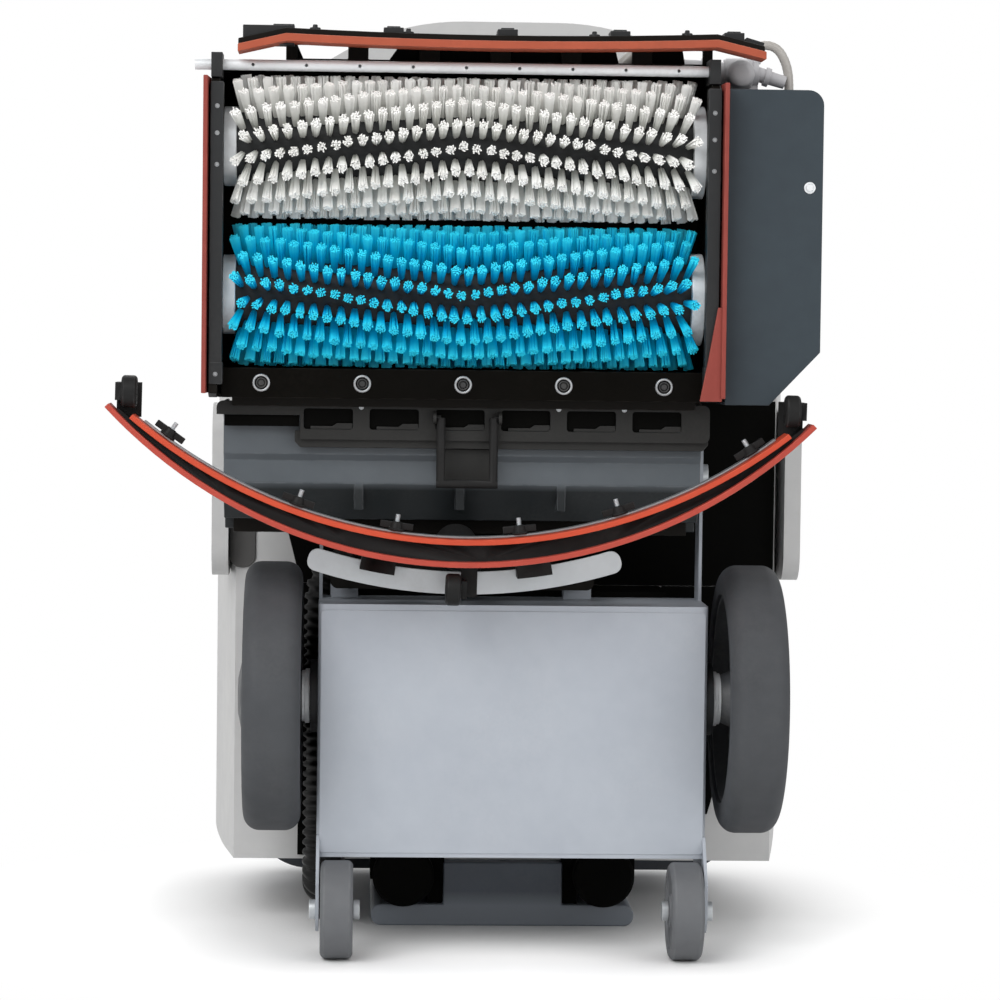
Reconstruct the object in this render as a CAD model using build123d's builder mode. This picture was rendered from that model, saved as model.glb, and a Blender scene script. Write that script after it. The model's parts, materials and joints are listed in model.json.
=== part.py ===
from build123d import *
import os
from math import asin, atan2, cos, degrees, hypot, radians, sin, sqrt, tan

# Floor scrubber dryer with two cylindrical brushes, stood up on its tail for service.
# The machine's own directions: x is across it, y is height above the floor that it scrubs,
# z is forward. Tipped up, its front points up, so z is also height above the floor it stands on.
# All sizes are in millimetres.

# Frame
MACHINE_X = 42.3
GROUND_Y = -312.2

# Fits and gaps
RUNNING = 0.06
GAP = 0.3

# Chassis tray
SHEET = 3.0
BEND_R = 3.0
CHASSIS_HALF = 180.0
GEARCASE_ROOM = 3.0
CHASSIS_DEPTH = 107.0
BELLY_REAR_Z = 92.0
BELLY_FRONT_Z = 326.0
TOP_FLANGE = 40.0
LEG_R = 20.0
RAIL_HEIGHT = 36.0
RAIL_END_Z = 468.0

# Drive wheels and transaxle
WHEEL_R = 125.0
TYRE_WIDTH = 53.0
TYRE_BEAD_R = 97.0
TYRE_SHOULDER = 15.0
AXLE_Z = 237.0
AXLE_TUBE_R = 24.0
AXLE_FLANGE_R = 34.0
AXLE_FLANGE = 7.0
STUB_R = 17.0
STUB_DEPTH = 37.0
HUB_COLLAR_R = 22.0
HUB_COLLAR = 8.0
HUB_CAP_R = 34.0
HUB_CAP = 6.0
GEARCASE_R = 34.0
GEARCASE_HALF = 40.0
DRIVE_MOTOR_R = 38.0
DRIVE_MOTOR_LENGTH = 190.0
DRIVE_MOTOR_RISE = 15.0
DRIVE_MOTOR_AHEAD = 38.0

# Tail rollers
ROLLER_R = 45.0
ROLLER_WIDTH = 30.0
ROLLER_Y = 75.0
ROLLER_SPACER = 1.3
ROLLER_BOLT_R = 5.0
BOLT_HEAD = 6.0

# Solution tank
TANK_HALF = 285.0
TANK_TUCK = 23.0
TANK_REAR_Z = 62.0
TANK_FRONT_Z = 876.0
TYRE_ROOM = 20.0
TANK_DEPTH = 170.0
TANK_WALL = 6.0
TANK_REAR_R = 14.0
TANK_NOSE_R = 240.0
TANK_TOP_R = 16.0
TANK_REAR_WALL = 28.0
KEEL_HALF = 150.0
KEEL_GAP = 4.0
FENDER_THICK = 16.0
FENDER_DROP = 20.0
FENDER_RISE = 60.0
FENDER_Z = (338.0, 505.0)
FENDER_R = 28.0
HATCH_HALF = 200.0
HATCH_REAR_Z = 120.0
HATCH_FRONT_Z = 600.0

# Recovery tank, lid and hinge
RECOVERY_HALF = 250.0
RECOVERY_REAR_Z = 26.0
RECOVERY_FRONT_Z = 730.0
RECOVERY_DEPTH = 160.0
RECOVERY_R = 60.0
RECOVERY_WALL = 5.0
RECOVERY_DRAFT = 8.0
LID_HEIGHT = 24.0
LID_WALL = 4.0
LID_OVERHANG = 6.0
LID_EDGE_R = 14.0
LID_RIB_PITCH = 90.0
HINGE_PIN_R = 5.0
HINGE_R = 11.0
HINGE_REACH = 18.0
HINGE_X = 145.0
KNUCKLE = 30.0
HINGE_EAR = 10.0

# Inner works
BATTERY_WIDTH = 130.0
BATTERY_HEIGHT = 200.0
BATTERY_LENGTH = 205.0
VACUUM_R = 72.0
VACUUM_HEIGHT = 110.0
VACUUM_Z = 620.0

# Tail bumper and drain hoses
BUMPER_HALF = 128.0
BUMPER_BAR = 21.0
BUMPER_DROP = 20.0
BUMPER_END_R = 10.0
BUMPER_PANEL_HALF = 58.0
DRAIN_X = 97.0
DRAIN_R = 28.0
DRAIN_BORE_R = 22.0
DRAIN_CAP_R = 30.0
DRAIN_CAP = 22.0
DRAIN_GROOVE = 2.5

# Suction hose: outside, bore, ribs and route
HOSE_R = 21.0
HOSE_RIB = 3.0
HOSE_BORE_R = 15.5
HOSE_BEND_R = 55.0
HOSE_TIGHT_BEND_R = 32.0
HOSE_RIB_COUNT = 26
HOSE_X = -174.0
HOSE_DROP = 30.0
HOSE_TAIL_Z = 38.0

# Brush deck
DECK_X = -51.0
END_WALL = 8.0
DECK_SHEET = 4.0
DECK_TOP_Y = 148.0
DECK_REAR_Z = 516.0
DECK_BEND = 30.0
DECK_REAR_LOW_Y = 38.0
TUFT_CLEAR = 4.0
END_LOW_Y = 14.0
END_NOTCH_Y = 66.0
END_NOTCH_Z = 14.0
DECK_PIVOT_Z = 445.0
DECK_PIVOT_R = 6.0
DECK_ARM = 6.0
DECK_ARM_BOSS_R = 16.0
DECK_ARM_GAP = 0.5
DECK_ARM_REACH = 120.0
DEBRIS_WINDOW_LOW_Y = 72.0
DEBRIS_WINDOW_HIGH_Y = 112.0

# Brushes
BRUSH_Y = 70.0
BRUSH_R = 66.0
BRUSH_LENGTH = 412.0
BRUSH_END_ROOM = 15.0
FRONT_BRUSH_Z = 743.0
BRUSH_SPACING = 134.0
CORE_R = 33.0
CORE_BORE_R = 27.0
SLEEVE = 1.5
SLEEVE_INSET = 2.0
TUFT_ROWS = 9
TUFTS_PER_ROW = 18
TUFT_R = 4.0
TUFT_TWIST = 34.0
HUB_DISC = 12.0
IDLER_DISC_R = 36.0
DRIVE_DISC_R = 42.0
IDLER_PIN_R = 10.0
BRUSH_SHAFT_R = 12.0

# Brush drive
PULLEY_R = 33.0
PULLEY_WIDTH = 18.0
PULLEY_OUT = 16.0
BELT = 3.0
BELT_WIDTH = 14.0
MOTOR_Y = 190.0
MOTOR_Z = 556.0
MOTOR_R = 40.0
MOTOR_LENGTH = 148.0
MOTOR_SHAFT_R = 8.0
MOTOR_SADDLE = 50.0

# Belt cover
COVER_OUT = 94.0
COVER_GAP = 8.0
COVER_WALL = 3.0
COVER_LOW_Y = 30.0
COVER_MOTOR_ROOM = 8.0
COVER_FRONT_Y = 150.0
COVER_REAR_Z = 514.0
COVER_FRONT_Z = 799.0
COVER_SHOULDER_Z = 640.0
COVER_CLEAR = 4.0
COVER_CORNER_R = 14.0

# Deck trim
SKIRT_RUBBER = 4.0
SKIRT_TOP_Y = 50.0
SKIRT_TIP_Y = 6.0
SKIRT_SPLAY = 2.0
SKIRT_REAR_Z = 520.0
SPRAY_R = 5.0
SPRAY_BORE_R = 3.5
SPRAY_Y = 45.0
SPRAY_Z = 815.0
SPRAY_LEFT = 15.0
SPRAY_PITCH = 48.0
SPRAY_HOLE_R = 1.5
SPRAY_HOLES = 9
SPRAY_BRACKET = 10.0
FRONT_SKIRT_INSET = 24.0
FRONT_SKIRT_OUT = 39.0
FRONT_SKIRT_BEND = 43.0
FRONT_SKIRT_Z = 838.0
FRONT_SKIRT_SAG = 4.0
FRONT_SKIRT_DROP = 10.0
FRONT_BLADE = 7.0
FRONT_BLADE_TIP_Y = 12.0
FRONT_BLADE_TOP_Y = 50.0
CARRIER = 6.0
CARRIER_LOW_Y = 26.0
CARRIER_WEB_Y = 66.0
CARRIER_WEB = 4.0
CARRIER_WINDOW = 46.0
CARRIER_WINDOWS = 6
SKIRT_KNOB_R = 5.0
SKIRT_KNOB = 9.0
SKIRT_KNOB_PITCH = 84.0
STRIP = 4.0
STRIP_DEPTH = 27.0
STRIP_SCREW_PITCH = 91.0
STRIP_SCREWS = 5
SCREW_R = 8.0
SCREW_HEAD_R = 5.0
SCREW_HEAD = 3.0
VALVE_WIDTH = 40.0
VALVE_DEPTH = 40.0
VALVE_HEIGHT = 32.0
VALVE_Y = 110.0
VALVE_COIL_R = 13.0
SUPPLY_R = 4.0
SUPPLY_ARCH = 14.0
SUPPLY_REACH = 26.0

# Debris tray
TRAY_LEFT_INSET = 12.0
TRAY_RIGHT_INSET = 8.0
TRAY_WALL = 3.0
TRAY_TOP_Y = 143.0
TRAY_FLOOR_Y = 78.0
TRAY_STEP = 6.0
TRAY_SLOPE = 22.0
TRAY_STEP_Z = 458.0
TRAY_EDGE_Z = 437.0
TRAY_BACK_Z = 403.0
TRAY_HOOK_Y = 133.0
TRAY_HOOK = 11.0
TRAY_RIB = 8.0
TRAY_RIB_PITCH = 93.0
RIM_Y = 62.0
RIM = 4.0
RIM_LOW_Z = 478.0
RIM_HIGH_Z = 512.5
RIM_OVERHANG = 6.0
RIM_SLOT_WIDTH = 45.0
RIM_SLOT_HEIGHT = 19.0
RIM_SLOT_PITCH = 60.0
RIM_SLOTS = 6
RIM_NOTCH = 76.0
RIM_NOTCH_Z = 500.0
LEDGE_REACH = 8.0
BAIL_HALF = 24.0
BAIL_R = 4.0
BAIL_DROP = 60.0
BAIL_X = 5.0
BAIL_Y = 54.0
BAIL_Z = 499.0
LUG = 3.0
LUG_R = 5.5

# Squeegee
SQUEEGEE_OFFSET = 4.5
SQUEEGEE_SET = 1.1
SQUEEGEE_REAR_Z = 366.0
SQUEEGEE_SWING = 6.0
REAR_BLADE_R = 445.0
REAR_BLADE_OUT = 90.0
FRONT_BLADE_OUT = 68.0
BODY_OUT = 79.0
BODY_MID_DEPTH = 15.0
BODY_END_DEPTH = 3.5
BLADE = 5.0
BLADE_TOP_Y = 35.0
FRONT_LIP_Y = 3.0
REAR_LIP_Y = 0.0
BODY_LOW_Y = 12.0
BODY_TOP_Y = 38.0
BAND = 1.7
BAND_LOW_Y = 20.0
BAND_TOP_Y = 34.0
BAND_INSET = 9.0
SQUEEGEE_KNOB_R = 8.0
SQUEEGEE_KNOB = 12.0
SQUEEGEE_KNOB_Y = 24.0
SQUEEGEE_KNOB_INSET = 44.0
SQUEEGEE_KNOB_X = (56.0, 146.0)
SMALL_ROLLER_R = 14.5
SMALL_ROLLER_WIDTH = 14.0
SMALL_ROLLER_Y = 16.0
SMALL_PIN_R = 4.0
END_ROLLER_INSET = 10.0
END_ROLLER_AHEAD = 18.2
CENTRE_ROLLER_X = -3.0
CENTRE_ROLLER_BEHIND = 20.7
ROLLER_ARM = 5.0
HANGER_ANGLE = 9.0
HANGER_HALF_ANGLE = 2.0
HANGER_TOP_Y = 80.0
HANGER_DEPTH = 14.0
NOZZLE_WIDTH = 70.0
NOZZLE_DEPTH = 12.0
NOZZLE_R = 20.0
NOZZLE_BORE_R = 16.0
NOZZLE_TOP_Y = 76.0
NOZZLE_LEAN = 3.0

# Squeegee lift
RAIL_BEHIND = 18.5
RAIL_WIDTH = 21.0
RAIL_ANGLE = 18.0
RAIL_END_R = 9.0
RAIL_Y = 70.0
RAIL_THICK = 3.0
LIFT_TRAVEL = 20.0
LIFT_ROOM = 6.0
YOKE = 12.0
YOKE_RING_R = 27.0
YOKE_RING_Z = 358.0
YOKE_REAR_Z = 337.0
YOKE_FRONT_Z = 362.0
POST_R = 8.0
POST_X = 110.0
POST_Z = 345.0
BUSH_R = 13.0
BUSH_LENGTH = 24.0
STANDOFF_R = 4.0
BOOT_R = 24.0
BOOT_RIB = 4.0
BOOT_RIBS = 4

# Handle and console
HANDLE_R = 12.0
HANDLE_OUT = 17.0
HANDLE_PIVOT_RISE = 60.0
HANDLE_PIVOT_Z = 110.0
HANDLE_LENGTH = 700.0
HANDLE_LEAN = 30.0
HANDLE_BEND_R = 60.0
HANDLE_BOSS_R = 20.0
HANDLE_PIN_R = 8.0
HANDLE_PIN_HEAD_R = 14.0
GRIP_R = 16.0
GRIP_LENGTH = 110.0
GRIP_X = 145.0
CONSOLE_HALF = 80.0
CONSOLE_LOW = 14.0
CONSOLE_HIGH = 56.0
CONSOLE_DEPTH = 60.0
CONSOLE_R = 10.0
PADDLE_HALF = 68.0
PADDLE = 4.0
PADDLE_LENGTH = 52.0
PADDLE_SLANT = 16.0
PADDLE_PIN_R = 4.0
PADDLE_EAR = 6.0
PADDLE_STAND = 8.0
BUTTON_R = 14.0
BUTTON_STEM_R = 8.0
BUTTON_RISE = 10.0
BUTTON_TRAVEL = 4.0
BUTTON_X = 45.0

# Places worked out from the sizes above
AXLE_Y = WHEEL_R
BELLY_Y = AXLE_Y - GEARCASE_R - GEARCASE_ROOM - SHEET
CHASSIS_TOP_Y = BELLY_Y + CHASSIS_DEPTH
TANK_FLOOR_Y = 2 * WHEEL_R + TYRE_ROOM
TANK_TOP_Y = TANK_FLOOR_Y + TANK_DEPTH
FENDER_Y = (TANK_FLOOR_Y - FENDER_DROP, TANK_FLOOR_Y + FENDER_RISE)
RECOVERY_TOP_Y = TANK_TOP_Y + RECOVERY_DEPTH
BUMPER_LOW_Y = TANK_FLOOR_Y - BUMPER_DROP
HOSE_Y = TANK_FLOOR_Y - HOSE_DROP
DECK_PIVOT_Y = CHASSIS_TOP_Y - RAIL_HEIGHT / 2
YOKE_LOW_Y = CHASSIS_TOP_Y - BUSH_LENGTH - LIFT_ROOM - LIFT_TRAVEL - YOKE
HANDLE_PIVOT_Y = TANK_TOP_Y + HANDLE_PIVOT_RISE
HANDLE_X = RECOVERY_HALF + HANDLE_OUT
COVER_HIGH_Y = MOTOR_Y + MOTOR_R + COVER_MOTOR_ROOM
FLANGE_X = CHASSIS_HALF + AXLE_FLANGE
WHEEL_X = FLANGE_X + HUB_COLLAR + TYRE_WIDTH / 2
ROLLER_Z = ROLLER_R
ROLLER_X = CHASSIS_HALF - SHEET - ROLLER_SPACER - ROLLER_WIDTH / 2
REAR_BRUSH_Z = FRONT_BRUSH_Z - BRUSH_SPACING
DECK_FRONT_Z = FRONT_BRUSH_Z + BRUSH_R + TUFT_CLEAR + DECK_SHEET
DECK_HALF = BRUSH_LENGTH / 2 + BRUSH_END_ROOM + END_WALL
DECK_LEFT_X = DECK_X - DECK_HALF
DECK_RIGHT_X = DECK_X + DECK_HALF
BRUSH_LEFT_X = DECK_X - BRUSH_LENGTH / 2
BRUSH_RIGHT_X = DECK_X + BRUSH_LENGTH / 2
FRONT_SKIRT_LEFT = DECK_LEFT_X + FRONT_SKIRT_INSET
FRONT_SKIRT_RIGHT = DECK_RIGHT_X + FRONT_SKIRT_OUT
COVER_LEFT_X = DECK_RIGHT_X + COVER_GAP
COVER_RIGHT_X = DECK_RIGHT_X + COVER_OUT
PULLEY_X = (DECK_RIGHT_X + PULLEY_OUT, DECK_RIGHT_X + PULLEY_OUT + PULLEY_WIDTH)
BELT_RUN = hypot(MOTOR_Y - BRUSH_Y, MOTOR_Z - FRONT_BRUSH_Z)
BELT_OFFSET = BRUSH_SPACING * (MOTOR_Y - BRUSH_Y) / BELT_RUN
REAR_PULLEY_R = BELT_OFFSET - PULLEY_R - BELT - 2 * GAP
SQUEEGEE_X = DECK_X + SQUEEGEE_OFFSET
SWING_Z = SQUEEGEE_REAR_Z + REAR_BLADE_R
REAR_INNER_R = REAR_BLADE_R - BLADE
BODY_HALF = DECK_HALF + BODY_OUT
BODY_END_Z = SWING_Z - sqrt(REAR_INNER_R**2 - BODY_HALF**2)
BODY_FRONT_Z = SQUEEGEE_REAR_Z + BLADE + BODY_MID_DEPTH
FRONT_BOW = BODY_END_Z + BODY_END_DEPTH - BODY_FRONT_Z
FRONT_BLADE_R = (BODY_HALF**2 + FRONT_BOW**2) / (2 * FRONT_BOW)
FRONT_CENTRE_Z = BODY_FRONT_Z + FRONT_BLADE_R
RAIL_R = REAR_BLADE_R + RAIL_BEHIND
HANGER_INNER_R = REAR_BLADE_R - HANGER_DEPTH
END_ROLLER_X = BODY_HALF - END_ROLLER_INSET
END_ROLLER_Z = BODY_END_Z + END_ROLLER_AHEAD
END_PLATE_Z = END_ROLLER_Z + 2 * SMALL_PIN_R
END_PLATE_IN = 2 * ROLLER_ARM
CENTRE_ROLLER_Z = SQUEEGEE_REAR_Z - CENTRE_ROLLER_BEHIND
NOZZLE_FOOT_Z = BODY_FRONT_Z - BODY_MID_DEPTH / 2
NOZZLE_Z = NOZZLE_FOOT_Z + NOZZLE_LEAN
TRAY_X = (DECK_LEFT_X + TRAY_LEFT_INSET, DECK_RIGHT_X - TRAY_RIGHT_INSET)
HINGE_Y = RECOVERY_TOP_Y + HINGE_R
HINGE_Z = RECOVERY_FRONT_Z + HINGE_REACH
HANDLE_TOP_Y = HANDLE_PIVOT_Y - HANDLE_LEAN
HANDLE_TOP_Z = HANDLE_PIVOT_Z + HANDLE_LENGTH
CONSOLE_Y = (HANDLE_TOP_Y - CONSOLE_LOW, HANDLE_TOP_Y + CONSOLE_HIGH)
CONSOLE_Z = (HANDLE_TOP_Z - CONSOLE_DEPTH / 2, HANDLE_TOP_Z + CONSOLE_DEPTH / 2)
PADDLE_Y = CONSOLE_Y[1] + PADDLE_STAND
PADDLE_Z = CONSOLE_Z[0] + PADDLE_STAND


def at(x, y, z):
    """Point of the machine in the frame."""
    return (MACHINE_X + x, GROUND_Y + y, z)


def plan(y):
    """Plane at height y over the scrubbed floor: x across, y forward, facing that floor."""
    return Plane(origin=at(0, y, 0), x_dir=(1, 0, 0), z_dir=(0, -1, 0))


def side(x):
    """Plane across the machine at x: its own x is height, its y is forward."""
    return Plane(origin=at(x, 0, 0), x_dir=(0, 1, 0), z_dir=(1, 0, 0))


def section(z):
    """Plane at z along the machine: x across, y is height."""
    return Plane(origin=at(0, 0, z), x_dir=(1, 0, 0), z_dir=(0, 0, 1))


def block(x, y, z, mode=Mode.ADD):
    """Box between pairs of places."""
    with Locations(at(sum(x) / 2, sum(y) / 2, sum(z) / 2)):
        Box(abs(x[1] - x[0]), y[1] - y[0], z[1] - z[0], mode=mode)


def rod_x(x, y, z, radius, mode=Mode.ADD):
    """Round bar across the machine."""
    with Locations(at(sum(x) / 2, y, z)):
        Cylinder(radius, abs(x[1] - x[0]), rotation=(0, 90, 0), mode=mode)


def rod_y(x, y, z, radius, mode=Mode.ADD):
    """Round bar along the machine's height."""
    with Locations(at(x, sum(y) / 2, z)):
        Cylinder(radius, y[1] - y[0], rotation=(90, 0, 0), mode=mode)


def rod_z(x, y, z, radius, mode=Mode.ADD):
    """Round bar along the machine."""
    with Locations(at(x, y, sum(z) / 2)):
        Cylinder(radius, z[1] - z[0], mode=mode)


def across(y, z):
    """Axis across the machine."""
    return Axis(at(0, y, z), (1, 0, 0))


def arc_strip(centre_z, inner_r, outer_r, half_angle, low_y, high_y, mode=Mode.ADD):
    """Curved strip about the squeegee's centre line, bowed towards the tail."""
    with BuildSketch(plan(high_y)) as strip:
        with BuildLine():
            centre = (SQUEEGEE_X, centre_z)
            outer = CenterArc(centre, outer_r, -90 - half_angle, 2 * half_angle)
            inner = CenterArc(centre, inner_r, -90 - half_angle, 2 * half_angle)
            Line(outer @ 0, inner @ 0)
            Line(outer @ 1, inner @ 1)
        make_face()
    extrude(strip.sketch, amount=high_y - low_y, mode=mode)


def half_angle(half_width, radius):
    """Half the angle of an arc that is twice the half width across."""
    return degrees(asin(half_width / radius))


def swung(x, z, angle):
    """Place of a squeegee point once the squeegee has swung by an angle."""
    turn = radians(angle)
    reach_x = x - SQUEEGEE_X
    reach_z = z - SWING_Z
    return (
        SQUEEGEE_X + reach_x * cos(turn) + reach_z * sin(turn),
        SWING_Z - reach_x * sin(turn) + reach_z * cos(turn),
    )


def set_swing(piece):
    """A squeegee piece built straight, turned to where the swing stands at rest."""
    turned = piece.part.rotate(Axis(at(SQUEEGEE_X, 0, SWING_Z), (0, 1, 0)), SQUEEGEE_SET)
    with BuildPart() as swung_piece:
        add(turned)
    return swung_piece


def arc_point(centre_z, radius, angle):
    """Place on such an arc, at an angle from its middle."""
    return (SQUEEGEE_X + radius * sin(radians(angle)), centre_z - radius * cos(radians(angle)))


# Chassis: folded tray with legs for the tail rollers and rails for the deck pivots
RAIL_LOW_Y = CHASSIS_TOP_Y - RAIL_HEIGHT
LEG_POINTS = [
    (ROLLER_Y - LEG_R, ROLLER_Z),
    (ROLLER_Y - LEG_R, BELLY_REAR_Z - LEG_R),
    (BELLY_Y, BELLY_REAR_Z + LEG_R),
    (CHASSIS_TOP_Y, BELLY_REAR_Z + LEG_R),
    (CHASSIS_TOP_Y, BELLY_REAR_Z),
    (ROLLER_Y + LEG_R, ROLLER_Z),
]
with BuildPart() as chassis_frame:
    with BuildSketch(section(BELLY_REAR_Z)) as tray_section:
        height = CHASSIS_TOP_Y - BELLY_Y
        with Locations((0, BELLY_Y + height / 2)):
            Rectangle(2 * CHASSIS_HALF, height)
            Rectangle(2 * (CHASSIS_HALF - SHEET), height - 2 * SHEET, mode=Mode.SUBTRACT)
        with Locations((0, CHASSIS_TOP_Y - SHEET / 2)):
            Rectangle(2 * (CHASSIS_HALF - TOP_FLANGE), SHEET, mode=Mode.SUBTRACT)
        fillet(tray_section.vertices().group_by(Axis.Y)[1], BEND_R)
        fillet(tray_section.vertices().group_by(Axis.Y)[0], BEND_R + SHEET)
    extrude(amount=BELLY_FRONT_Z - BELLY_REAR_Z)
    wall_half = CHASSIS_HALF - SHEET
    block((-wall_half, wall_half), (BELLY_Y + SHEET, CHASSIS_TOP_Y), (BELLY_FRONT_Z - SHEET, BELLY_FRONT_Z))
    for plate_x in (-CHASSIS_HALF, CHASSIS_HALF - SHEET):
        with BuildSketch(side(plate_x)):
            Polygon(*LEG_POINTS, align=None)
            with Locations((ROLLER_Y, ROLLER_Z)):
                Circle(LEG_R)
            with Locations((RAIL_LOW_Y + RAIL_HEIGHT / 2, (BELLY_FRONT_Z - SHEET + RAIL_END_Z) / 2)):
                Rectangle(RAIL_HEIGHT, RAIL_END_Z - BELLY_FRONT_Z + SHEET)
        extrude(amount=SHEET)
    for post_side in (-1, 1):
        post_x = SQUEEGEE_X + post_side * POST_X
        bush_y = (CHASSIS_TOP_Y - BUSH_LENGTH, CHASSIS_TOP_Y)
        block((post_x - BUSH_R, post_x + BUSH_R), bush_y, (BELLY_FRONT_Z, POST_Z))
        rod_y(post_x, bush_y, POST_Z, BUSH_R)
        rod_y(post_x, bush_y, POST_Z, POST_R + RUNNING, mode=Mode.SUBTRACT)
    full_width = (-CHASSIS_HALF - SHEET, CHASSIS_HALF + SHEET)
    rod_x(full_width, ROLLER_Y, ROLLER_Z, ROLLER_BOLT_R + RUNNING, mode=Mode.SUBTRACT)
    rod_x(full_width, DECK_PIVOT_Y, DECK_PIVOT_Z, DECK_PIVOT_R + RUNNING, mode=Mode.SUBTRACT)
    rod_x(full_width, AXLE_Y, AXLE_Z, AXLE_TUBE_R + GAP, mode=Mode.SUBTRACT)


# Pivot bolts of the tail rollers, the deck arms and the handle
ARM_INNER_X = CHASSIS_HALF - SHEET - DECK_ARM_GAP - DECK_ARM
HANDLE_INNER_X = HANDLE_X - HANDLE_R
with BuildPart() as pivot_bolts:
    for bolt_side in (-1, 1):
        inner_end = ROLLER_X - ROLLER_WIDTH / 2 - GAP
        spacer_start = ROLLER_X + ROLLER_WIDTH / 2 + GAP
        leg_inner = CHASSIS_HALF - SHEET
        roller_line = (ROLLER_Y, ROLLER_Z)
        head_r = 1.8 * ROLLER_BOLT_R
        rod_x((bolt_side * inner_end, bolt_side * CHASSIS_HALF), *roller_line, ROLLER_BOLT_R)
        rod_x((bolt_side * (inner_end - BOLT_HEAD), bolt_side * inner_end), *roller_line, head_r)
        rod_x((bolt_side * spacer_start, bolt_side * leg_inner), *roller_line, head_r)
        rod_x((bolt_side * CHASSIS_HALF, bolt_side * (CHASSIS_HALF + BOLT_HEAD)), *roller_line, head_r)
        pivot_line = (DECK_PIVOT_Y, DECK_PIVOT_Z)
        pivot_head_r = 1.6 * DECK_PIVOT_R
        pivot_end = ARM_INNER_X - GAP
        rod_x((bolt_side * pivot_end, bolt_side * CHASSIS_HALF), *pivot_line, DECK_PIVOT_R)
        rod_x((bolt_side * (pivot_end - BOLT_HEAD), bolt_side * pivot_end), *pivot_line, pivot_head_r)
        rod_x((bolt_side * CHASSIS_HALF, bolt_side * (CHASSIS_HALF + BOLT_HEAD)), *pivot_line, pivot_head_r)
        handle_line = (HANDLE_PIVOT_Y, HANDLE_PIVOT_Z)
        handle_out = HANDLE_X + HANDLE_R + GAP
        handle_in = HANDLE_INNER_X - GAP
        rod_x((bolt_side * handle_in, bolt_side * handle_out), *handle_line, HANDLE_PIN_R)
        rod_x((bolt_side * handle_out, bolt_side * (handle_out + BOLT_HEAD)), *handle_line, HANDLE_PIN_HEAD_R)


# Transaxle: gearcase, motor and axle tubes that end in flanges outside the chassis
with BuildPart() as transaxle:
    rod_x((-FLANGE_X, FLANGE_X), AXLE_Y, AXLE_Z, AXLE_TUBE_R)
    rod_x((-GEARCASE_HALF, GEARCASE_HALF), AXLE_Y, AXLE_Z, GEARCASE_R)
    motor_x = (GEARCASE_HALF - DRIVE_MOTOR_LENGTH, GEARCASE_HALF)
    rod_x(motor_x, AXLE_Y + DRIVE_MOTOR_RISE, AXLE_Z + DRIVE_MOTOR_AHEAD, DRIVE_MOTOR_R)
    for end in (-1, 1):
        rod_x((end * CHASSIS_HALF, end * FLANGE_X), AXLE_Y, AXLE_Z, AXLE_FLANGE_R)
        stub_end = FLANGE_X - STUB_DEPTH
        rod_x((end * stub_end, end * FLANGE_X), AXLE_Y, AXLE_Z, STUB_R + RUNNING, mode=Mode.SUBTRACT)


def make_tyre(hand):
    """Solid rubber tyre with rounded shoulders, hand is -1 on the left and 1 on the right."""
    half = TYRE_WIDTH / 2
    with BuildPart() as tyre:
        with BuildSketch(section(AXLE_Z)):
            with BuildLine():
                left = hand * WHEEL_X - half
                right = hand * WHEEL_X + half
                bead = AXLE_Y + TYRE_BEAD_R
                crown = AXLE_Y + WHEEL_R
                outline = Polyline((left, crown), (left, bead), (right, bead), (right, crown), close=True)
            face = make_face()
            fillet(face.vertices().group_by(Axis.Y)[-1], TYRE_SHOULDER)
        revolve(axis=across(AXLE_Y, AXLE_Z))
    return tyre


def make_hub(hand):
    """Dished rim with its stub shaft inwards and a hub cap outwards."""
    half = TYRE_WIDTH / 2
    rim = TYRE_BEAD_R
    dish = HUB_COLLAR
    cap = half + HUB_CAP
    outline = [
        (-half - HUB_COLLAR - STUB_DEPTH + GAP, 0),
        (-half - HUB_COLLAR - STUB_DEPTH + GAP, STUB_R),
        (-half - HUB_COLLAR + GAP, STUB_R),
        (-half - HUB_COLLAR + GAP, HUB_COLLAR_R),
        (-half, HUB_COLLAR_R),
        (-dish, HUB_COLLAR_R + dish),
        (-dish, rim - dish),
        (SHEET - half, rim - SHEET),
        (SHEET - half, rim - RUNNING),
        (half - SHEET, rim - RUNNING),
        (half - SHEET, rim - SHEET),
        (dish / 2, rim - dish),
        (dish / 2, HUB_CAP_R + dish),
        (half - SHEET, HUB_CAP_R),
        (cap - SHEET, HUB_CAP_R - SHEET),
        (cap, HUB_CAP_R / 2),
        (cap, 0),
    ]
    with BuildPart() as hub:
        with BuildSketch(section(AXLE_Z)):
            Polygon(*[(hand * (WHEEL_X + w), AXLE_Y + r) for w, r in outline], align=None)
        revolve(axis=across(AXLE_Y, AXLE_Z))
    return hub


def make_tail_roller(hand):
    """Solid roller with a dished face on each side."""
    with BuildPart() as roller:
        span = (hand * ROLLER_X - ROLLER_WIDTH / 2, hand * ROLLER_X + ROLLER_WIDTH / 2)
        rod_x(span, ROLLER_Y, ROLLER_Z, ROLLER_R)
        chamfer(roller.edges().filter_by(GeomType.CIRCLE), LEG_R / 6)
        for face_x, inward in ((span[0], 1), (span[1], -1)):
            with BuildSketch(side(face_x)):
                with Locations((ROLLER_Y, ROLLER_Z)):
                    Circle(ROLLER_R - LEG_R / 2)
                    Circle(3 * ROLLER_BOLT_R, mode=Mode.SUBTRACT)
            extrude(amount=inward * SHEET, mode=Mode.SUBTRACT)
        rod_x(span, ROLLER_Y, ROLLER_Z, ROLLER_BOLT_R + RUNNING, mode=Mode.SUBTRACT)
    return roller


wheel_tyre_left = make_tyre(-1)
wheel_tyre_right = make_tyre(1)
wheel_hub_left = make_hub(-1)
wheel_hub_right = make_hub(1)
tail_roller_left = make_tail_roller(-1)
tail_roller_right = make_tail_roller(1)


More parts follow.
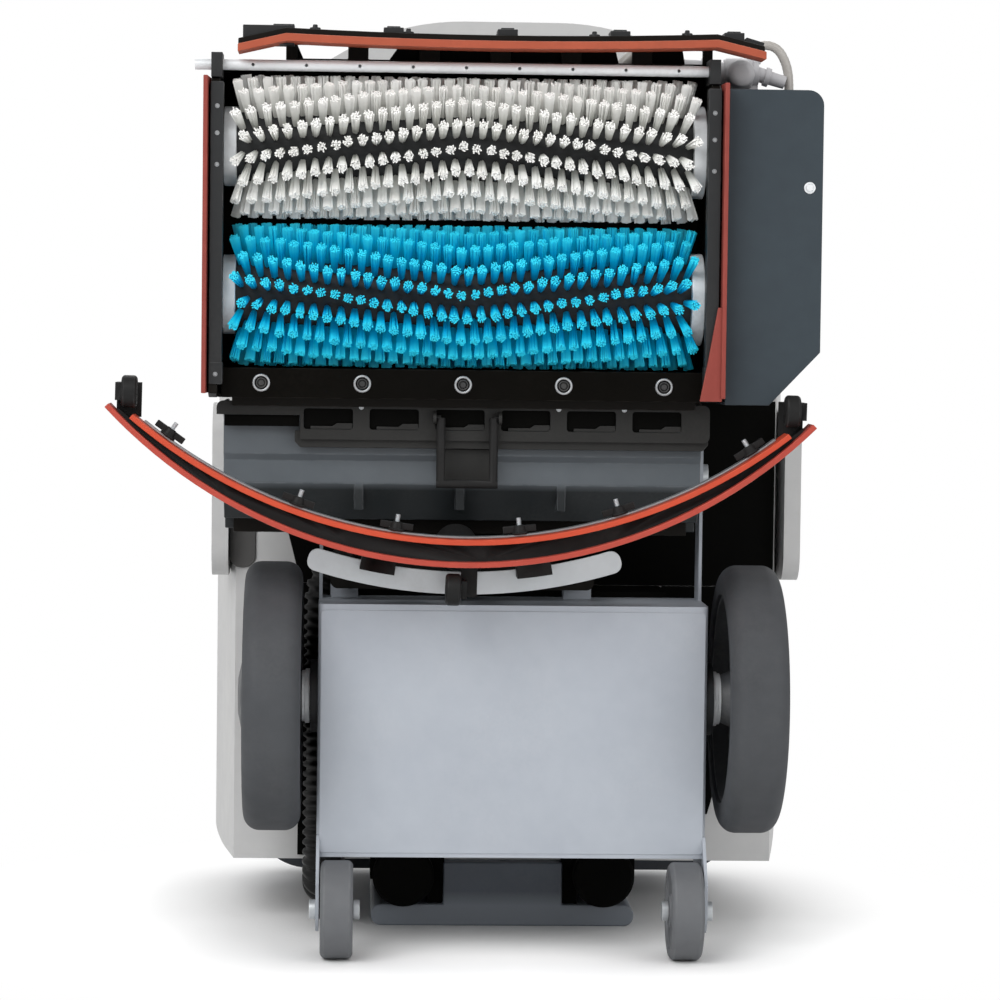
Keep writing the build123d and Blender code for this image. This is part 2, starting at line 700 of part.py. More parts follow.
# Solution tank: hollow moulded body, narrower at its floor, with a fender ahead of each wheel,
# a keel in the chassis and a battery hatch
TANK_LENGTH = TANK_FRONT_Z - TANK_REAR_Z
FLOOR_HALF = TANK_HALF - TANK_TUCK
TANK_MID_Z = (TANK_FRONT_Z + TANK_REAR_Z) / 2
KEEL_Z = (BELLY_REAR_Z, BELLY_FRONT_Z + KEEL_GAP)
KEEL_MID_Z = sum(KEEL_Z) / 2
KEEL_LENGTH = KEEL_Z[1] - KEEL_Z[0]
with BuildPart() as solution_tank:
    with BuildSketch(plan(TANK_TOP_Y)) as tank_outline:
        with Locations((0, TANK_MID_Z)):
            Rectangle(2 * TANK_HALF, TANK_LENGTH)
        fillet(tank_outline.vertices().group_by(Axis.Y)[0], TANK_REAR_R)
        fillet(tank_outline.vertices().group_by(Axis.Y)[-1], TANK_NOSE_R)
    extrude(amount=TANK_TOP_Y - TANK_FLOOR_Y)
    fillet(solution_tank.faces().sort_by(Axis.Y)[-1].edges(), TANK_TOP_R)
    block((-KEEL_HALF, KEEL_HALF), (CHASSIS_TOP_Y, TANK_FLOOR_Y), KEEL_Z)
    for tank_side in (-1, 1):
        with BuildSketch(section(TANK_REAR_Z)):
            with BuildLine():
                Polyline(
                    (tank_side * TANK_HALF, TANK_TOP_Y - TANK_TOP_R),
                    (tank_side * FLOOR_HALF, TANK_FLOOR_Y),
                    (tank_side * TANK_HALF, TANK_FLOOR_Y),
                    close=True,
                )
            make_face()
        extrude(amount=TANK_LENGTH, mode=Mode.SUBTRACT)
    for fender_x in (-TANK_HALF, TANK_HALF - FENDER_THICK):
        with BuildSketch(side(fender_x)) as fender_outline:
            with Locations((sum(FENDER_Y) / 2, sum(FENDER_Z) / 2)):
                Rectangle(FENDER_Y[1] - FENDER_Y[0], FENDER_Z[1] - FENDER_Z[0])
            fillet(fender_outline.vertices(), FENDER_R)
        extrude(amount=FENDER_THICK)
    for inside_y, inside_half in (
        (TANK_TOP_Y - TANK_WALL, TANK_HALF - TANK_WALL),
        (TANK_FLOOR_Y + TANK_WALL, FLOOR_HALF - TANK_WALL),
    ):
        with BuildSketch(plan(inside_y)) as tank_inside:
            inside_rear = TANK_REAR_Z + TANK_REAR_WALL
            inside_front = TANK_FRONT_Z - TANK_WALL
            with Locations((0, (inside_rear + inside_front) / 2)):
                Rectangle(2 * inside_half, inside_front - inside_rear)
            fillet(tank_inside.vertices().group_by(Axis.Y)[-1], TANK_NOSE_R - TANK_WALL)
    loft(ruled=True, mode=Mode.SUBTRACT)
    with BuildSketch(plan(TANK_FLOOR_Y + TANK_WALL)):
        with Locations((0, KEEL_MID_Z)):
            Rectangle(2 * (KEEL_HALF - TANK_WALL), KEEL_LENGTH - 2 * TANK_WALL)
    extrude(amount=TANK_FLOOR_Y - CHASSIS_TOP_Y, mode=Mode.SUBTRACT)
    hatch_y = (TANK_TOP_Y - 2 * TANK_WALL, TANK_TOP_Y + TANK_WALL)
    block((-HATCH_HALF, HATCH_HALF), hatch_y, (HATCH_REAR_Z, HATCH_FRONT_Z), mode=Mode.SUBTRACT)
    for groove_x in (-DRAIN_X, DRAIN_X):
        groove_z = BUMPER_BAR + DRAIN_R
        rod_y(groove_x, (TANK_FLOOR_Y, TANK_TOP_Y), groove_z, DRAIN_R + DRAIN_GROOVE, mode=Mode.SUBTRACT)


# Batteries: a pair standing in the keel, with their terminals
BATTERY_LOW_Y = CHASSIS_TOP_Y + TANK_WALL
BATTERY_Z = (KEEL_MID_Z - BATTERY_LENGTH / 2, KEEL_MID_Z + BATTERY_LENGTH / 2)
with BuildPart() as batteries:
    for battery_side in (-1, 1):
        inner_x = battery_side * TANK_WALL
        outer_x = battery_side * (TANK_WALL + BATTERY_WIDTH)
        battery_top = BATTERY_LOW_Y + BATTERY_HEIGHT
        block((inner_x, outer_x), (BATTERY_LOW_Y, battery_top), BATTERY_Z)
        for terminal_z in (BATTERY_Z[0] + BATTERY_WIDTH / 4, BATTERY_Z[1] - BATTERY_WIDTH / 4):
            rod_y((inner_x + outer_x) / 2, (battery_top, battery_top + 2 * BEND_R), terminal_z, 3 * BEND_R)


# Recovery tank: drafted open shell with hinge ears at its front and bosses for the handle
RECOVERY_LENGTH = RECOVERY_FRONT_Z - RECOVERY_REAR_Z
RECOVERY_MID_Z = (RECOVERY_FRONT_Z + RECOVERY_REAR_Z) / 2
with BuildPart() as recovery_tank:
    for level, draft in ((TANK_TOP_Y, 0), (RECOVERY_TOP_Y, RECOVERY_DRAFT)):
        with BuildSketch(plan(level)):
            with Locations((0, RECOVERY_MID_Z)):
                RectangleRounded(2 * (RECOVERY_HALF - draft), RECOVERY_LENGTH - 2 * draft, RECOVERY_R - draft / 2)
    loft(ruled=True)
    for level, draft in ((TANK_TOP_Y + RECOVERY_WALL, 0), (RECOVERY_TOP_Y, RECOVERY_DRAFT)):
        with BuildSketch(plan(level)):
            inset = draft + RECOVERY_WALL
            with Locations((0, RECOVERY_MID_Z)):
                RectangleRounded(2 * (RECOVERY_HALF - inset), RECOVERY_LENGTH - 2 * inset, RECOVERY_R - inset)
    loft(ruled=True, mode=Mode.SUBTRACT)
    for ear_side in (-1, 1):
        for ear_offset in (-1, 1):
            ear_near = HINGE_X + ear_offset * KNUCKLE / 2
            ear_far = ear_near + ear_offset * HINGE_EAR
            ear_x = sorted((ear_side * ear_near, ear_side * ear_far))
            ear_root = RECOVERY_FRONT_Z - RECOVERY_DRAFT - GAP
            block(ear_x, (HINGE_Y - 3 * HINGE_R, HINGE_Y), (ear_root, HINGE_Z + HINGE_R))
            rod_x(ear_x, HINGE_Y, HINGE_Z, HINGE_R)
        boss_x = (ear_side * (RECOVERY_HALF - RECOVERY_DRAFT / 2), ear_side * (HANDLE_INNER_X - GAP))
        rod_x(boss_x, HANDLE_PIVOT_Y, HANDLE_PIVOT_Z, HANDLE_BOSS_R)
    rod_x((-RECOVERY_HALF, RECOVERY_HALF), HINGE_Y, HINGE_Z, HINGE_PIN_R, mode=Mode.SUBTRACT)


# Lid of the recovery tank: ribbed cover with two hinge knuckles
LID_LOW_Y = RECOVERY_TOP_Y + GAP
LID_HIGH_Y = LID_LOW_Y + LID_HEIGHT
LID_HALF = RECOVERY_HALF - RECOVERY_DRAFT + LID_OVERHANG
LID_LENGTH = RECOVERY_LENGTH - 2 * RECOVERY_DRAFT + LID_OVERHANG - 2 * GAP
LID_MID_Z = RECOVERY_MID_Z - LID_OVERHANG / 2 - GAP
with BuildPart() as tank_lid:
    with BuildSketch(plan(LID_LOW_Y)):
        with Locations((0, LID_MID_Z)):
            RectangleRounded(2 * LID_HALF, LID_LENGTH, RECOVERY_R)
    extrude(amount=-LID_HEIGHT)
    fillet(tank_lid.faces().sort_by(Axis.Y)[-1].edges(), LID_EDGE_R)
    with BuildSketch(plan(LID_LOW_Y)):
        with Locations((0, LID_MID_Z)):
            inner_r = RECOVERY_R - 2 * LID_WALL
            RectangleRounded(2 * LID_HALF - 4 * LID_WALL, LID_LENGTH - 4 * LID_WALL, inner_r)
            with GridLocations(LID_RIB_PITCH, 0, 3, 1):
                Rectangle(LID_WALL, LID_LENGTH - 4 * LID_WALL, mode=Mode.SUBTRACT)
    extrude(amount=LID_WALL - LID_HEIGHT, mode=Mode.SUBTRACT)
    for knuckle_side in (-1, 1):
        knuckle_mid = knuckle_side * HINGE_X
        knuckle_half = KNUCKLE / 2 - GAP
        knuckle_x = (knuckle_mid - knuckle_half, knuckle_mid + knuckle_half)
        lid_front = LID_MID_Z + LID_LENGTH / 2
        block(knuckle_x, (LID_LOW_Y + HINGE_R / 2, LID_LOW_Y + 1.5 * HINGE_R), (lid_front - LID_EDGE_R, HINGE_Z))
        rod_x(knuckle_x, HINGE_Y, HINGE_Z, HINGE_R - GAP)
        rod_x(knuckle_x, HINGE_Y, HINGE_Z, HINGE_PIN_R + RUNNING, mode=Mode.SUBTRACT)

with BuildPart() as hinge_pin:
    pin_reach = HINGE_X + KNUCKLE / 2 + HINGE_EAR
    rod_x((-pin_reach, pin_reach), HINGE_Y, HINGE_Z, HINGE_PIN_R)


# Vacuum motor standing on the floor of the recovery tank
with BuildPart() as vacuum_motor:
    motor_low = TANK_TOP_Y + RECOVERY_WALL
    rod_y(0, (motor_low, motor_low + VACUUM_HEIGHT), VACUUM_Z, VACUUM_R)
    rod_y(0, (motor_low + VACUUM_HEIGHT, motor_low + VACUUM_HEIGHT + HINGE_REACH), VACUUM_Z, VACUUM_R / 2)


# Tail bumper: a foot bar that the tipped machine stands on, joined to the tank by a panel
with BuildPart() as tail_bumper:
    with BuildSketch(plan(TANK_TOP_Y)):
        with Locations((0, BUMPER_BAR / 2)):
            RectangleRounded(2 * BUMPER_HALF, BUMPER_BAR, BUMPER_END_R)
        with Locations((0, (BUMPER_BAR / 2 + TANK_REAR_Z) / 2)):
            Rectangle(2 * BUMPER_PANEL_HALF, TANK_REAR_Z - BUMPER_BAR / 2)
    extrude(amount=TANK_TOP_Y - BUMPER_LOW_Y)


# Drain hoses in their grooves behind the tank, each closed by a cap
with BuildPart() as drain_hoses:
    for drain_side in (-1, 1):
        drain_x = drain_side * DRAIN_X
        drain_z = BUMPER_BAR + DRAIN_R + DRAIN_CAP_R - DRAIN_R + GAP
        rod_y(drain_x, (BUMPER_LOW_Y, TANK_TOP_Y), drain_z, DRAIN_R)
        bore_y = (BUMPER_LOW_Y + DRAIN_CAP, TANK_TOP_Y)
        rod_y(drain_x, bore_y, drain_z, DRAIN_BORE_R, mode=Mode.SUBTRACT)
        rod_y(drain_x, (BUMPER_LOW_Y - DRAIN_CAP, BUMPER_LOW_Y), drain_z, DRAIN_CAP_R)


def hose_planes(route, count):
    """Evenly spaced planes square to a route, with an x axis that never twists."""
    x_axis = Vector(1, 0, 0)
    planes = []
    for step in range(count):
        place = step / (count - 1)
        along = route % place
        x_axis = (x_axis - along * x_axis.dot(along)).normalized()
        planes.append(Plane(origin=route @ place, x_dir=x_axis, z_dir=along))
    return planes


# Suction hose: from the squeegee yoke, over the left rail, past the wheel and up the tail
HOSE_START_Y = YOKE_LOW_Y + YOKE + GAP
HOSE_ROUTE = [
    at(SQUEEGEE_X, HOSE_START_Y, YOKE_RING_Z),
    at(SQUEEGEE_X, HOSE_Y, YOKE_RING_Z),
    at(HOSE_X, HOSE_Y, YOKE_RING_Z),
    at(HOSE_X, HOSE_Y, HOSE_TAIL_Z),
    at(HOSE_X, TANK_TOP_Y, HOSE_TAIL_Z),
]
with BuildLine() as hose_line:
    FilletPolyline(*HOSE_ROUTE, radius=[HOSE_BEND_R, HOSE_TIGHT_BEND_R, HOSE_TIGHT_BEND_R])
HOSE_WIRE = hose_line.wires()[0]
HOSE_END = 2 * HOSE_R
RIB_SHARE = (HOSE_WIRE.length - 2 * HOSE_END) / HOSE_WIRE.length / HOSE_RIB_COUNT
RIB_SHAPE = ((0.0, 0.0), (0.2, 1.0), (0.55, 1.0), (0.75, 0.0))
with BuildPart() as suction_hose:
    hose_stations = [(0.0, 0.0)]
    for rib in range(HOSE_RIB_COUNT):
        for place, rise in RIB_SHAPE:
            hose_stations.append((HOSE_END / HOSE_WIRE.length + (rib + place) * RIB_SHARE, rise))
    hose_stations.append((1.0, 0.0))
    hose_x = Vector(1, 0, 0)
    for place, rise in hose_stations:
        along = HOSE_WIRE % place
        hose_x = (hose_x - along * hose_x.dot(along)).normalized()
        with BuildSketch(Plane(origin=HOSE_WIRE @ place, x_dir=hose_x, z_dir=along)):
            Circle(HOSE_R - HOSE_RIB + rise * HOSE_RIB)
    loft(ruled=True)
    for plane in hose_planes(HOSE_WIRE, HOSE_RIB_COUNT):
        with BuildSketch(plane):
            Circle(HOSE_BORE_R)
    loft(ruled=True, mode=Mode.SUBTRACT)


def end_outline():
    """Outline of a deck end wall in height and length, notched for the spray bar."""
    front = DECK_FRONT_Z
    return [
        (END_LOW_Y, DECK_REAR_Z + DECK_SHEET),
        (END_LOW_Y, front - 1.5 * END_NOTCH_Z),
        (END_LOW_Y + 1.5 * END_NOTCH_Z, front - END_NOTCH_Z),
        (END_NOTCH_Y, front - END_NOTCH_Z),
        (END_NOTCH_Y, front),
        (DECK_TOP_Y - DECK_BEND, front),
        (DECK_TOP_Y, front - DECK_BEND),
        (DECK_TOP_Y, DECK_REAR_Z + DECK_BEND),
        (DECK_TOP_Y - DECK_BEND, DECK_REAR_Z),
        (END_LOW_Y + END_NOTCH_Z, DECK_REAR_Z),
    ]


def hood_outline(inset):
    """Outline of the folded hood over the brushes, or of the room inside it."""
    slope = inset * tan(radians(22.5))
    top = DECK_TOP_Y - inset
    rear = DECK_REAR_Z + inset
    front = DECK_FRONT_Z - inset
    below = DECK_BEND if inset else 0
    return [
        (DECK_REAR_LOW_Y - below, rear),
        (DECK_TOP_Y - DECK_BEND - slope, rear),
        (top, DECK_REAR_Z + DECK_BEND + slope),
        (top, DECK_FRONT_Z - DECK_BEND - slope),
        (DECK_TOP_Y - DECK_BEND - slope, front),
        (END_NOTCH_Y - below, front),
        (END_NOTCH_Y - below, front - DECK_SHEET),
        (DECK_REAR_LOW_Y - below, rear + DECK_SHEET),
    ]


# Deck housing: folded hood, right end wall, tray hood with its hook, and the lift arms
HOOD_X = (DECK_LEFT_X + END_WALL, DECK_RIGHT_X)
TRAY_HOOD_X = (TRAY_X[0] + TRAY_RIB, TRAY_X[1] - TRAY_RIB)
HOOK_BACK_Z = TRAY_BACK_Z - TRAY_HOOK
ARM_OUTLINE = [
    (DECK_PIVOT_Y - DECK_ARM_BOSS_R, DECK_PIVOT_Z),
    (DECK_TOP_Y, DECK_PIVOT_Z + 2 * DECK_ARM_BOSS_R),
    (DECK_TOP_Y, DECK_REAR_Z + DECK_ARM_REACH),
    (DECK_TOP_Y + DECK_ARM_BOSS_R, DECK_REAR_Z + DECK_ARM_REACH),
    (DECK_PIVOT_Y + DECK_ARM_BOSS_R, DECK_PIVOT_Z + DECK_ARM_BOSS_R),
    (DECK_PIVOT_Y + DECK_ARM_BOSS_R, DECK_PIVOT_Z),
]
with BuildPart() as deck_housing:
    with BuildSketch(side(HOOD_X[0])):
        Polygon(*hood_outline(0), align=None)
        Polygon(*hood_outline(DECK_SHEET), align=None, mode=Mode.SUBTRACT)
    extrude(amount=HOOD_X[1] - HOOD_X[0])
    with BuildSketch(side(DECK_RIGHT_X - END_WALL)):
        Polygon(*end_outline(), align=None)
    extrude(amount=END_WALL)
    window_x = (BRUSH_LEFT_X + TRAY_RIB, BRUSH_RIGHT_X - TRAY_RIB)
    window_y = (DEBRIS_WINDOW_LOW_Y, DEBRIS_WINDOW_HIGH_Y)
    window_z = (DECK_REAR_Z - DECK_SHEET, DECK_REAR_Z + 2 * DECK_SHEET)
    block(window_x, window_y, window_z, mode=Mode.SUBTRACT)
    hood_y = (DECK_TOP_Y - DECK_SHEET, DECK_TOP_Y)
    block(TRAY_HOOD_X, hood_y, (HOOK_BACK_Z - TRAY_WALL, DECK_REAR_Z + DECK_BEND))
    hook_y = (TRAY_HOOK_Y - TRAY_WALL, DECK_TOP_Y)
    block(TRAY_HOOD_X, hook_y, (HOOK_BACK_Z - TRAY_WALL, HOOK_BACK_Z))
    hook_lip_y = (TRAY_HOOK_Y - TRAY_WALL, TRAY_HOOK_Y)
    block(TRAY_HOOD_X, hook_lip_y, (HOOK_BACK_Z - TRAY_WALL, TRAY_BACK_Z - 2 * GAP))
    ledge_y = (RIM_Y - GAP - RIM, RIM_Y - GAP)
    block(TRAY_HOOD_X, ledge_y, (DECK_REAR_Z - LEDGE_REACH, DECK_REAR_Z))
    for arm_side in (-1, 1):
        arm_x = sorted((arm_side * ARM_INNER_X, arm_side * (ARM_INNER_X + DECK_ARM)))
        with BuildSketch(side(arm_x[0])):
            Polygon(*ARM_OUTLINE, align=None)
            with Locations((DECK_PIVOT_Y, DECK_PIVOT_Z)):
                Circle(DECK_ARM_BOSS_R)
                Circle(DECK_PIVOT_R + RUNNING, mode=Mode.SUBTRACT)
        extrude(amount=DECK_ARM)
    for shaft_z in (FRONT_BRUSH_Z, REAR_BRUSH_Z):
        wall_x = (DECK_RIGHT_X - END_WALL, DECK_RIGHT_X)
        rod_x(wall_x, BRUSH_Y, shaft_z, BRUSH_SHAFT_R + RUNNING, mode=Mode.SUBTRACT)


# Bearing plate: the removable left end wall with the pins that the brushes turn on
PLATE_X = (DECK_LEFT_X, DECK_LEFT_X + END_WALL)
with BuildPart() as bearing_plate:
    with BuildSketch(side(PLATE_X[0])):
        Polygon(*end_outline(), align=None)
    extrude(amount=END_WALL)
    for pin_z in (FRONT_BRUSH_Z, REAR_BRUSH_Z):
        rod_x((PLATE_X[1], BRUSH_LEFT_X - GAP), BRUSH_Y, pin_z, IDLER_PIN_R)


def make_brush_core(brush_z):
    """Brush tube."""
    with BuildPart() as core:
        core_x = (BRUSH_LEFT_X, BRUSH_RIGHT_X)
        rod_x(core_x, BRUSH_Y, brush_z, CORE_R)
        rod_x(core_x, BRUSH_Y, brush_z, CORE_BORE_R, mode=Mode.SUBTRACT)
    return core


def make_brush_hubs(brush_z, pulley_r):
    """Idler disc on the left, drive disc with its shaft and belt pulley on the right."""
    with BuildPart() as hubs:
        idler_x = (BRUSH_LEFT_X - HUB_DISC, BRUSH_LEFT_X)
        rod_x(idler_x, BRUSH_Y, brush_z, IDLER_DISC_R)
        rod_x(idler_x, BRUSH_Y, brush_z, IDLER_PIN_R + RUNNING, mode=Mode.SUBTRACT)
        rod_x((BRUSH_RIGHT_X, BRUSH_RIGHT_X + HUB_DISC), BRUSH_Y, brush_z, DRIVE_DISC_R)
        rod_x((BRUSH_RIGHT_X + HUB_DISC, PULLEY_X[1]), BRUSH_Y, brush_z, BRUSH_SHAFT_R)
        rod_x(PULLEY_X, BRUSH_Y, brush_z, pulley_r)
    return hubs


def make_bristles(brush_z, lean):
    """Tufts in rows that run in a chevron round the brush, standing in a thin sleeve."""
    sleeve_r = CORE_R + RUNNING
    half = BRUSH_LENGTH / 2 - SLEEVE_INSET
    pitch = 2 * (half - TUFT_R - SLEEVE_INSET) / (TUFTS_PER_ROW - 1)
    tuft_planes = []
    for row in range(TUFT_ROWS):
        for tuft in range(TUFTS_PER_ROW):
            offset = (tuft - (TUFTS_PER_ROW - 1) / 2) * pitch
            turn = radians(360 * row / TUFT_ROWS + lean * TUFT_TWIST * abs(offset) / half)
            radial = Vector(0, cos(turn), sin(turn))
            foot = Vector(*at(DECK_X + offset, BRUSH_Y, brush_z)) + radial * (sleeve_r + SLEEVE / 2)
            tuft_planes.append(Plane(origin=foot, x_dir=(1, 0, 0), z_dir=radial))
    with BuildPart() as bristles:
        sleeve_x = (DECK_X - half, DECK_X + half)
        rod_x(sleeve_x, BRUSH_Y, brush_z, sleeve_r + SLEEVE)
        rod_x(sleeve_x, BRUSH_Y, brush_z, sleeve_r, mode=Mode.SUBTRACT)
        with BuildSketch(*tuft_planes) as feet:
            RegularPolygon(TUFT_R, 3)
        extrude(feet.sketch, amount=BRUSH_R - sleeve_r - SLEEVE / 2, clean=False)
    return bristles


front_brush_core = make_brush_core(FRONT_BRUSH_Z)
rear_brush_core = make_brush_core(REAR_BRUSH_Z)
front_brush_hubs = make_brush_hubs(FRONT_BRUSH_Z, PULLEY_R)
rear_brush_hubs = make_brush_hubs(REAR_BRUSH_Z, REAR_PULLEY_R)
front_brush_bristles = make_bristles(FRONT_BRUSH_Z, 1)
rear_brush_bristles = make_bristles(REAR_BRUSH_Z, -1)


# Brush motor on the hood, its pulley, and the belt: the rear brush runs on the belt's back
MOTOR_X = (ARM_INNER_X - GAP - MOTOR_LENGTH, ARM_INNER_X - GAP)
with BuildPart() as brush_motor:
    rod_x(MOTOR_X, MOTOR_Y, MOTOR_Z, MOTOR_R)
    chamfer(brush_motor.edges().filter_by(GeomType.CIRCLE), MOTOR_SHAFT_R)
    saddle_x = (MOTOR_X[0] + MOTOR_R / 2, MOTOR_X[1] - MOTOR_R / 2)
    saddle_z = (MOTOR_Z - MOTOR_SADDLE / 2, MOTOR_Z + MOTOR_SADDLE / 2)
    block(saddle_x, (DECK_TOP_Y, MOTOR_Y - MOTOR_R / 2), saddle_z)
    bore_x = (MOTOR_X[1] - MOTOR_R, MOTOR_X[1])
    rod_x(bore_x, MOTOR_Y, MOTOR_Z, MOTOR_SHAFT_R + RUNNING, mode=Mode.SUBTRACT)

with BuildPart() as motor_pulley:
    rod_x((bore_x[0] + GAP, PULLEY_X[1]), MOTOR_Y, MOTOR_Z, MOTOR_SHAFT_R)
    rod_x(PULLEY_X, MOTOR_Y, MOTOR_Z, PULLEY_R)

with BuildPart() as drive_belt:
    belt_low_x = sum(PULLEY_X) / 2 - BELT_WIDTH / 2
    belt_turn = degrees(atan2(MOTOR_Z - FRONT_BRUSH_Z, MOTOR_Y - BRUSH_Y))
    with BuildSketch(side(belt_low_x)):
        with Locations(((MOTOR_Y + BRUSH_Y) / 2, (MOTOR_Z + FRONT_BRUSH_Z) / 2)):
            inner_height = 2 * (PULLEY_R + GAP)
            SlotCenterToCenter(BELT_RUN, inner_height + 2 * BELT, rotation=belt_turn)
            SlotCenterToCenter(BELT_RUN, inner_height, rotation=belt_turn, mode=Mode.SUBTRACT)
    extrude(amount=BELT_WIDTH)


# The belt cover's rear corner is cut along the path of the squeegee's right end plate
PLATE_CORNER = (SQUEEGEE_X + END_ROLLER_X - END_PLATE_IN, END_PLATE_Z)
CUT_LOW = swung(*PLATE_CORNER, SQUEEGEE_SWING / 2)
CUT_HIGH = swung(*PLATE_CORNER, -SQUEEGEE_SWING)
CUT_SLOPE = (CUT_HIGH[1] - CUT_LOW[1]) / (CUT_HIGH[0] - CUT_LOW[0])


def cover_form(inset, open_by):
    """Outside of the belt cover, or the room inside it, which runs out of its open left side."""
    cut_level = CUT_LOW[1] + (COVER_CLEAR + inset) * sqrt(1 + CUT_SLOPE**2)
    left = COVER_LEFT_X - open_by
    right = COVER_RIGHT_X - inset
    rear = COVER_REAR_Z + inset
    front = COVER_FRONT_Z - inset
    low = COVER_LOW_Y + inset
    high = COVER_HIGH_Y - inset
    with BuildPart() as form:
        with BuildSketch(plan(high)) as cover_plan:
            Polygon(
                (left, rear),
                (CUT_LOW[0] + (rear - cut_level) / CUT_SLOPE, rear),
                (right, cut_level + CUT_SLOPE * (right - CUT_LOW[0])),
                (right, front),
                (left, front),
                align=None,
            )
            front_corner = cover_plan.vertices().group_by(Axis.X)[-1].sort_by(Axis.Y)[-1]
            fillet(front_corner, COVER_CORNER_R - inset)
        extrude(amount=high - low)
        with BuildSketch(side(left)) as cover_side:
            Polygon(
                (low, rear),
                (high, rear),
                (high, COVER_SHOULDER_Z),
                (COVER_FRONT_Y, front),
                (low, front),
                align=None,
            )
        extrude(amount=right - left, mode=Mode.INTERSECT)
    return form


cover_outside = cover_form(0, 0)
cover_room = cover_form(COVER_WALL, COVER_WALL)
with BuildPart() as belt_cover:
    add(cover_outside.part)
    add(cover_room.part, mode=Mode.SUBTRACT)
    # Rims on the open side reach the deck's end wall
    flange_x = (DECK_RIGHT_X, COVER_LEFT_X)
    block(flange_x, (DECK_TOP_Y - DECK_BEND, DECK_TOP_Y - DECK_SHEET), (COVER_REAR_Z, COVER_REAR_Z + COVER_WALL))
    block(flange_x, (DECK_TOP_Y - DECK_BEND, COVER_FRONT_Y), (COVER_FRONT_Z - COVER_WALL, COVER_FRONT_Z))


def make_side_skirt(wall_x, hand):
    """Rubber side skirt that hangs on an end wall and splays outwards."""
    with BuildPart() as skirt:
        with BuildSketch(section(SKIRT_REAR_Z)):
            Polygon(
                (wall_x, SKIRT_TOP_Y),
                (wall_x + hand * SKIRT_RUBBER, SKIRT_TOP_Y),
                (wall_x + hand * (SKIRT_RUBBER + SKIRT_SPLAY), SKIRT_TIP_Y),
                (wall_x + hand * SKIRT_SPLAY, SKIRT_TIP_Y),
                align=None,
            )
        extrude(amount=DECK_FRONT_Z - END_NOTCH_Z - SKIRT_REAR_Z)
    return skirt


side_skirt_left = make_side_skirt(DECK_LEFT_X, -1)
side_skirt_right = make_side_skirt(DECK_RIGHT_X, 1)


# Spray bar with its jets, and the two brackets in the notches of the end walls
SPRAY_X = (DECK_LEFT_X - SPRAY_LEFT, DECK_RIGHT_X - SPRAY_BRACKET / 2)
BRACKET_Y = (2 * SPRAY_Y - END_NOTCH_Y + SPRAY_R, END_NOTCH_Y)
BRACKET_Z = (DECK_FRONT_Z - END_NOTCH_Z, SPRAY_Z + 2 * SPRAY_R)
with BuildPart() as spray_bar:
    rod_x(SPRAY_X, SPRAY_Y, SPRAY_Z, SPRAY_R)
    rod_x((SPRAY_X[0] + SPRAY_R, SPRAY_X[1]), SPRAY_Y, SPRAY_Z, SPRAY_BORE_R, mode=Mode.SUBTRACT)
    for jet in range(SPRAY_HOLES):
        jet_x = DECK_X + (jet - (SPRAY_HOLES - 1) / 2) * SPRAY_PITCH
        rod_y(jet_x, (SPRAY_Y - 2 * SPRAY_R, SPRAY_Y), SPRAY_Z, SPRAY_HOLE_R, mode=Mode.SUBTRACT)

with BuildPart() as spray_bar_brackets:
    for bracket_x in ((DECK_LEFT_X, DECK_LEFT_X + SPRAY_BRACKET), (DECK_RIGHT_X - SPRAY_BRACKET, DECK_RIGHT_X)):
        block(bracket_x, BRACKET_Y, BRACKET_Z)
    rod_x((DECK_LEFT_X, SPRAY_X[1] + GAP), SPRAY_Y, SPRAY_Z, SPRAY_R + RUNNING, mode=Mode.SUBTRACT)


def front_skirt_strip(low_z, high_z, low_y, high_y):
    """Strip along the front skirt: slack in the middle, with both ends bent back."""
    with BuildSketch(plan(high_y)) as strip:
        with BuildLine():
            for level in (low_z, high_z):
                left_bend = (FRONT_SKIRT_LEFT + FRONT_SKIRT_BEND, level)
                right_bend = (FRONT_SKIRT_RIGHT - FRONT_SKIRT_BEND, level)
                middle = ((FRONT_SKIRT_LEFT + FRONT_SKIRT_RIGHT) / 2, level - FRONT_SKIRT_SAG)
                Line((FRONT_SKIRT_LEFT, level - FRONT_SKIRT_DROP), left_bend)
                ThreePointArc(left_bend, middle, right_bend)
                Line(right_bend, (FRONT_SKIRT_RIGHT, level - FRONT_SKIRT_DROP))
            for end_x in (FRONT_SKIRT_LEFT, FRONT_SKIRT_RIGHT):
                Line((end_x, low_z - FRONT_SKIRT_DROP), (end_x, high_z - FRONT_SKIRT_DROP))
        make_face()
    extrude(strip.sketch, amount=high_y - low_y)


# Front skirt: carrier with a windowed web, rubber blade and the knobs that clamp it
BLADE_HIGH_Z = FRONT_SKIRT_Z + FRONT_BLADE / 2
FRONT_SKIRT_MID_X = (FRONT_SKIRT_LEFT + FRONT_SKIRT_RIGHT) / 2
WEB_HALF = (FRONT_SKIRT_RIGHT - FRONT_SKIRT_LEFT) / 2 - FRONT_SKIRT_BEND
with BuildPart() as front_skirt_blade:
    front_skirt_strip(BLADE_HIGH_Z - FRONT_BLADE, BLADE_HIGH_Z, FRONT_BLADE_TIP_Y, FRONT_BLADE_TOP_Y)

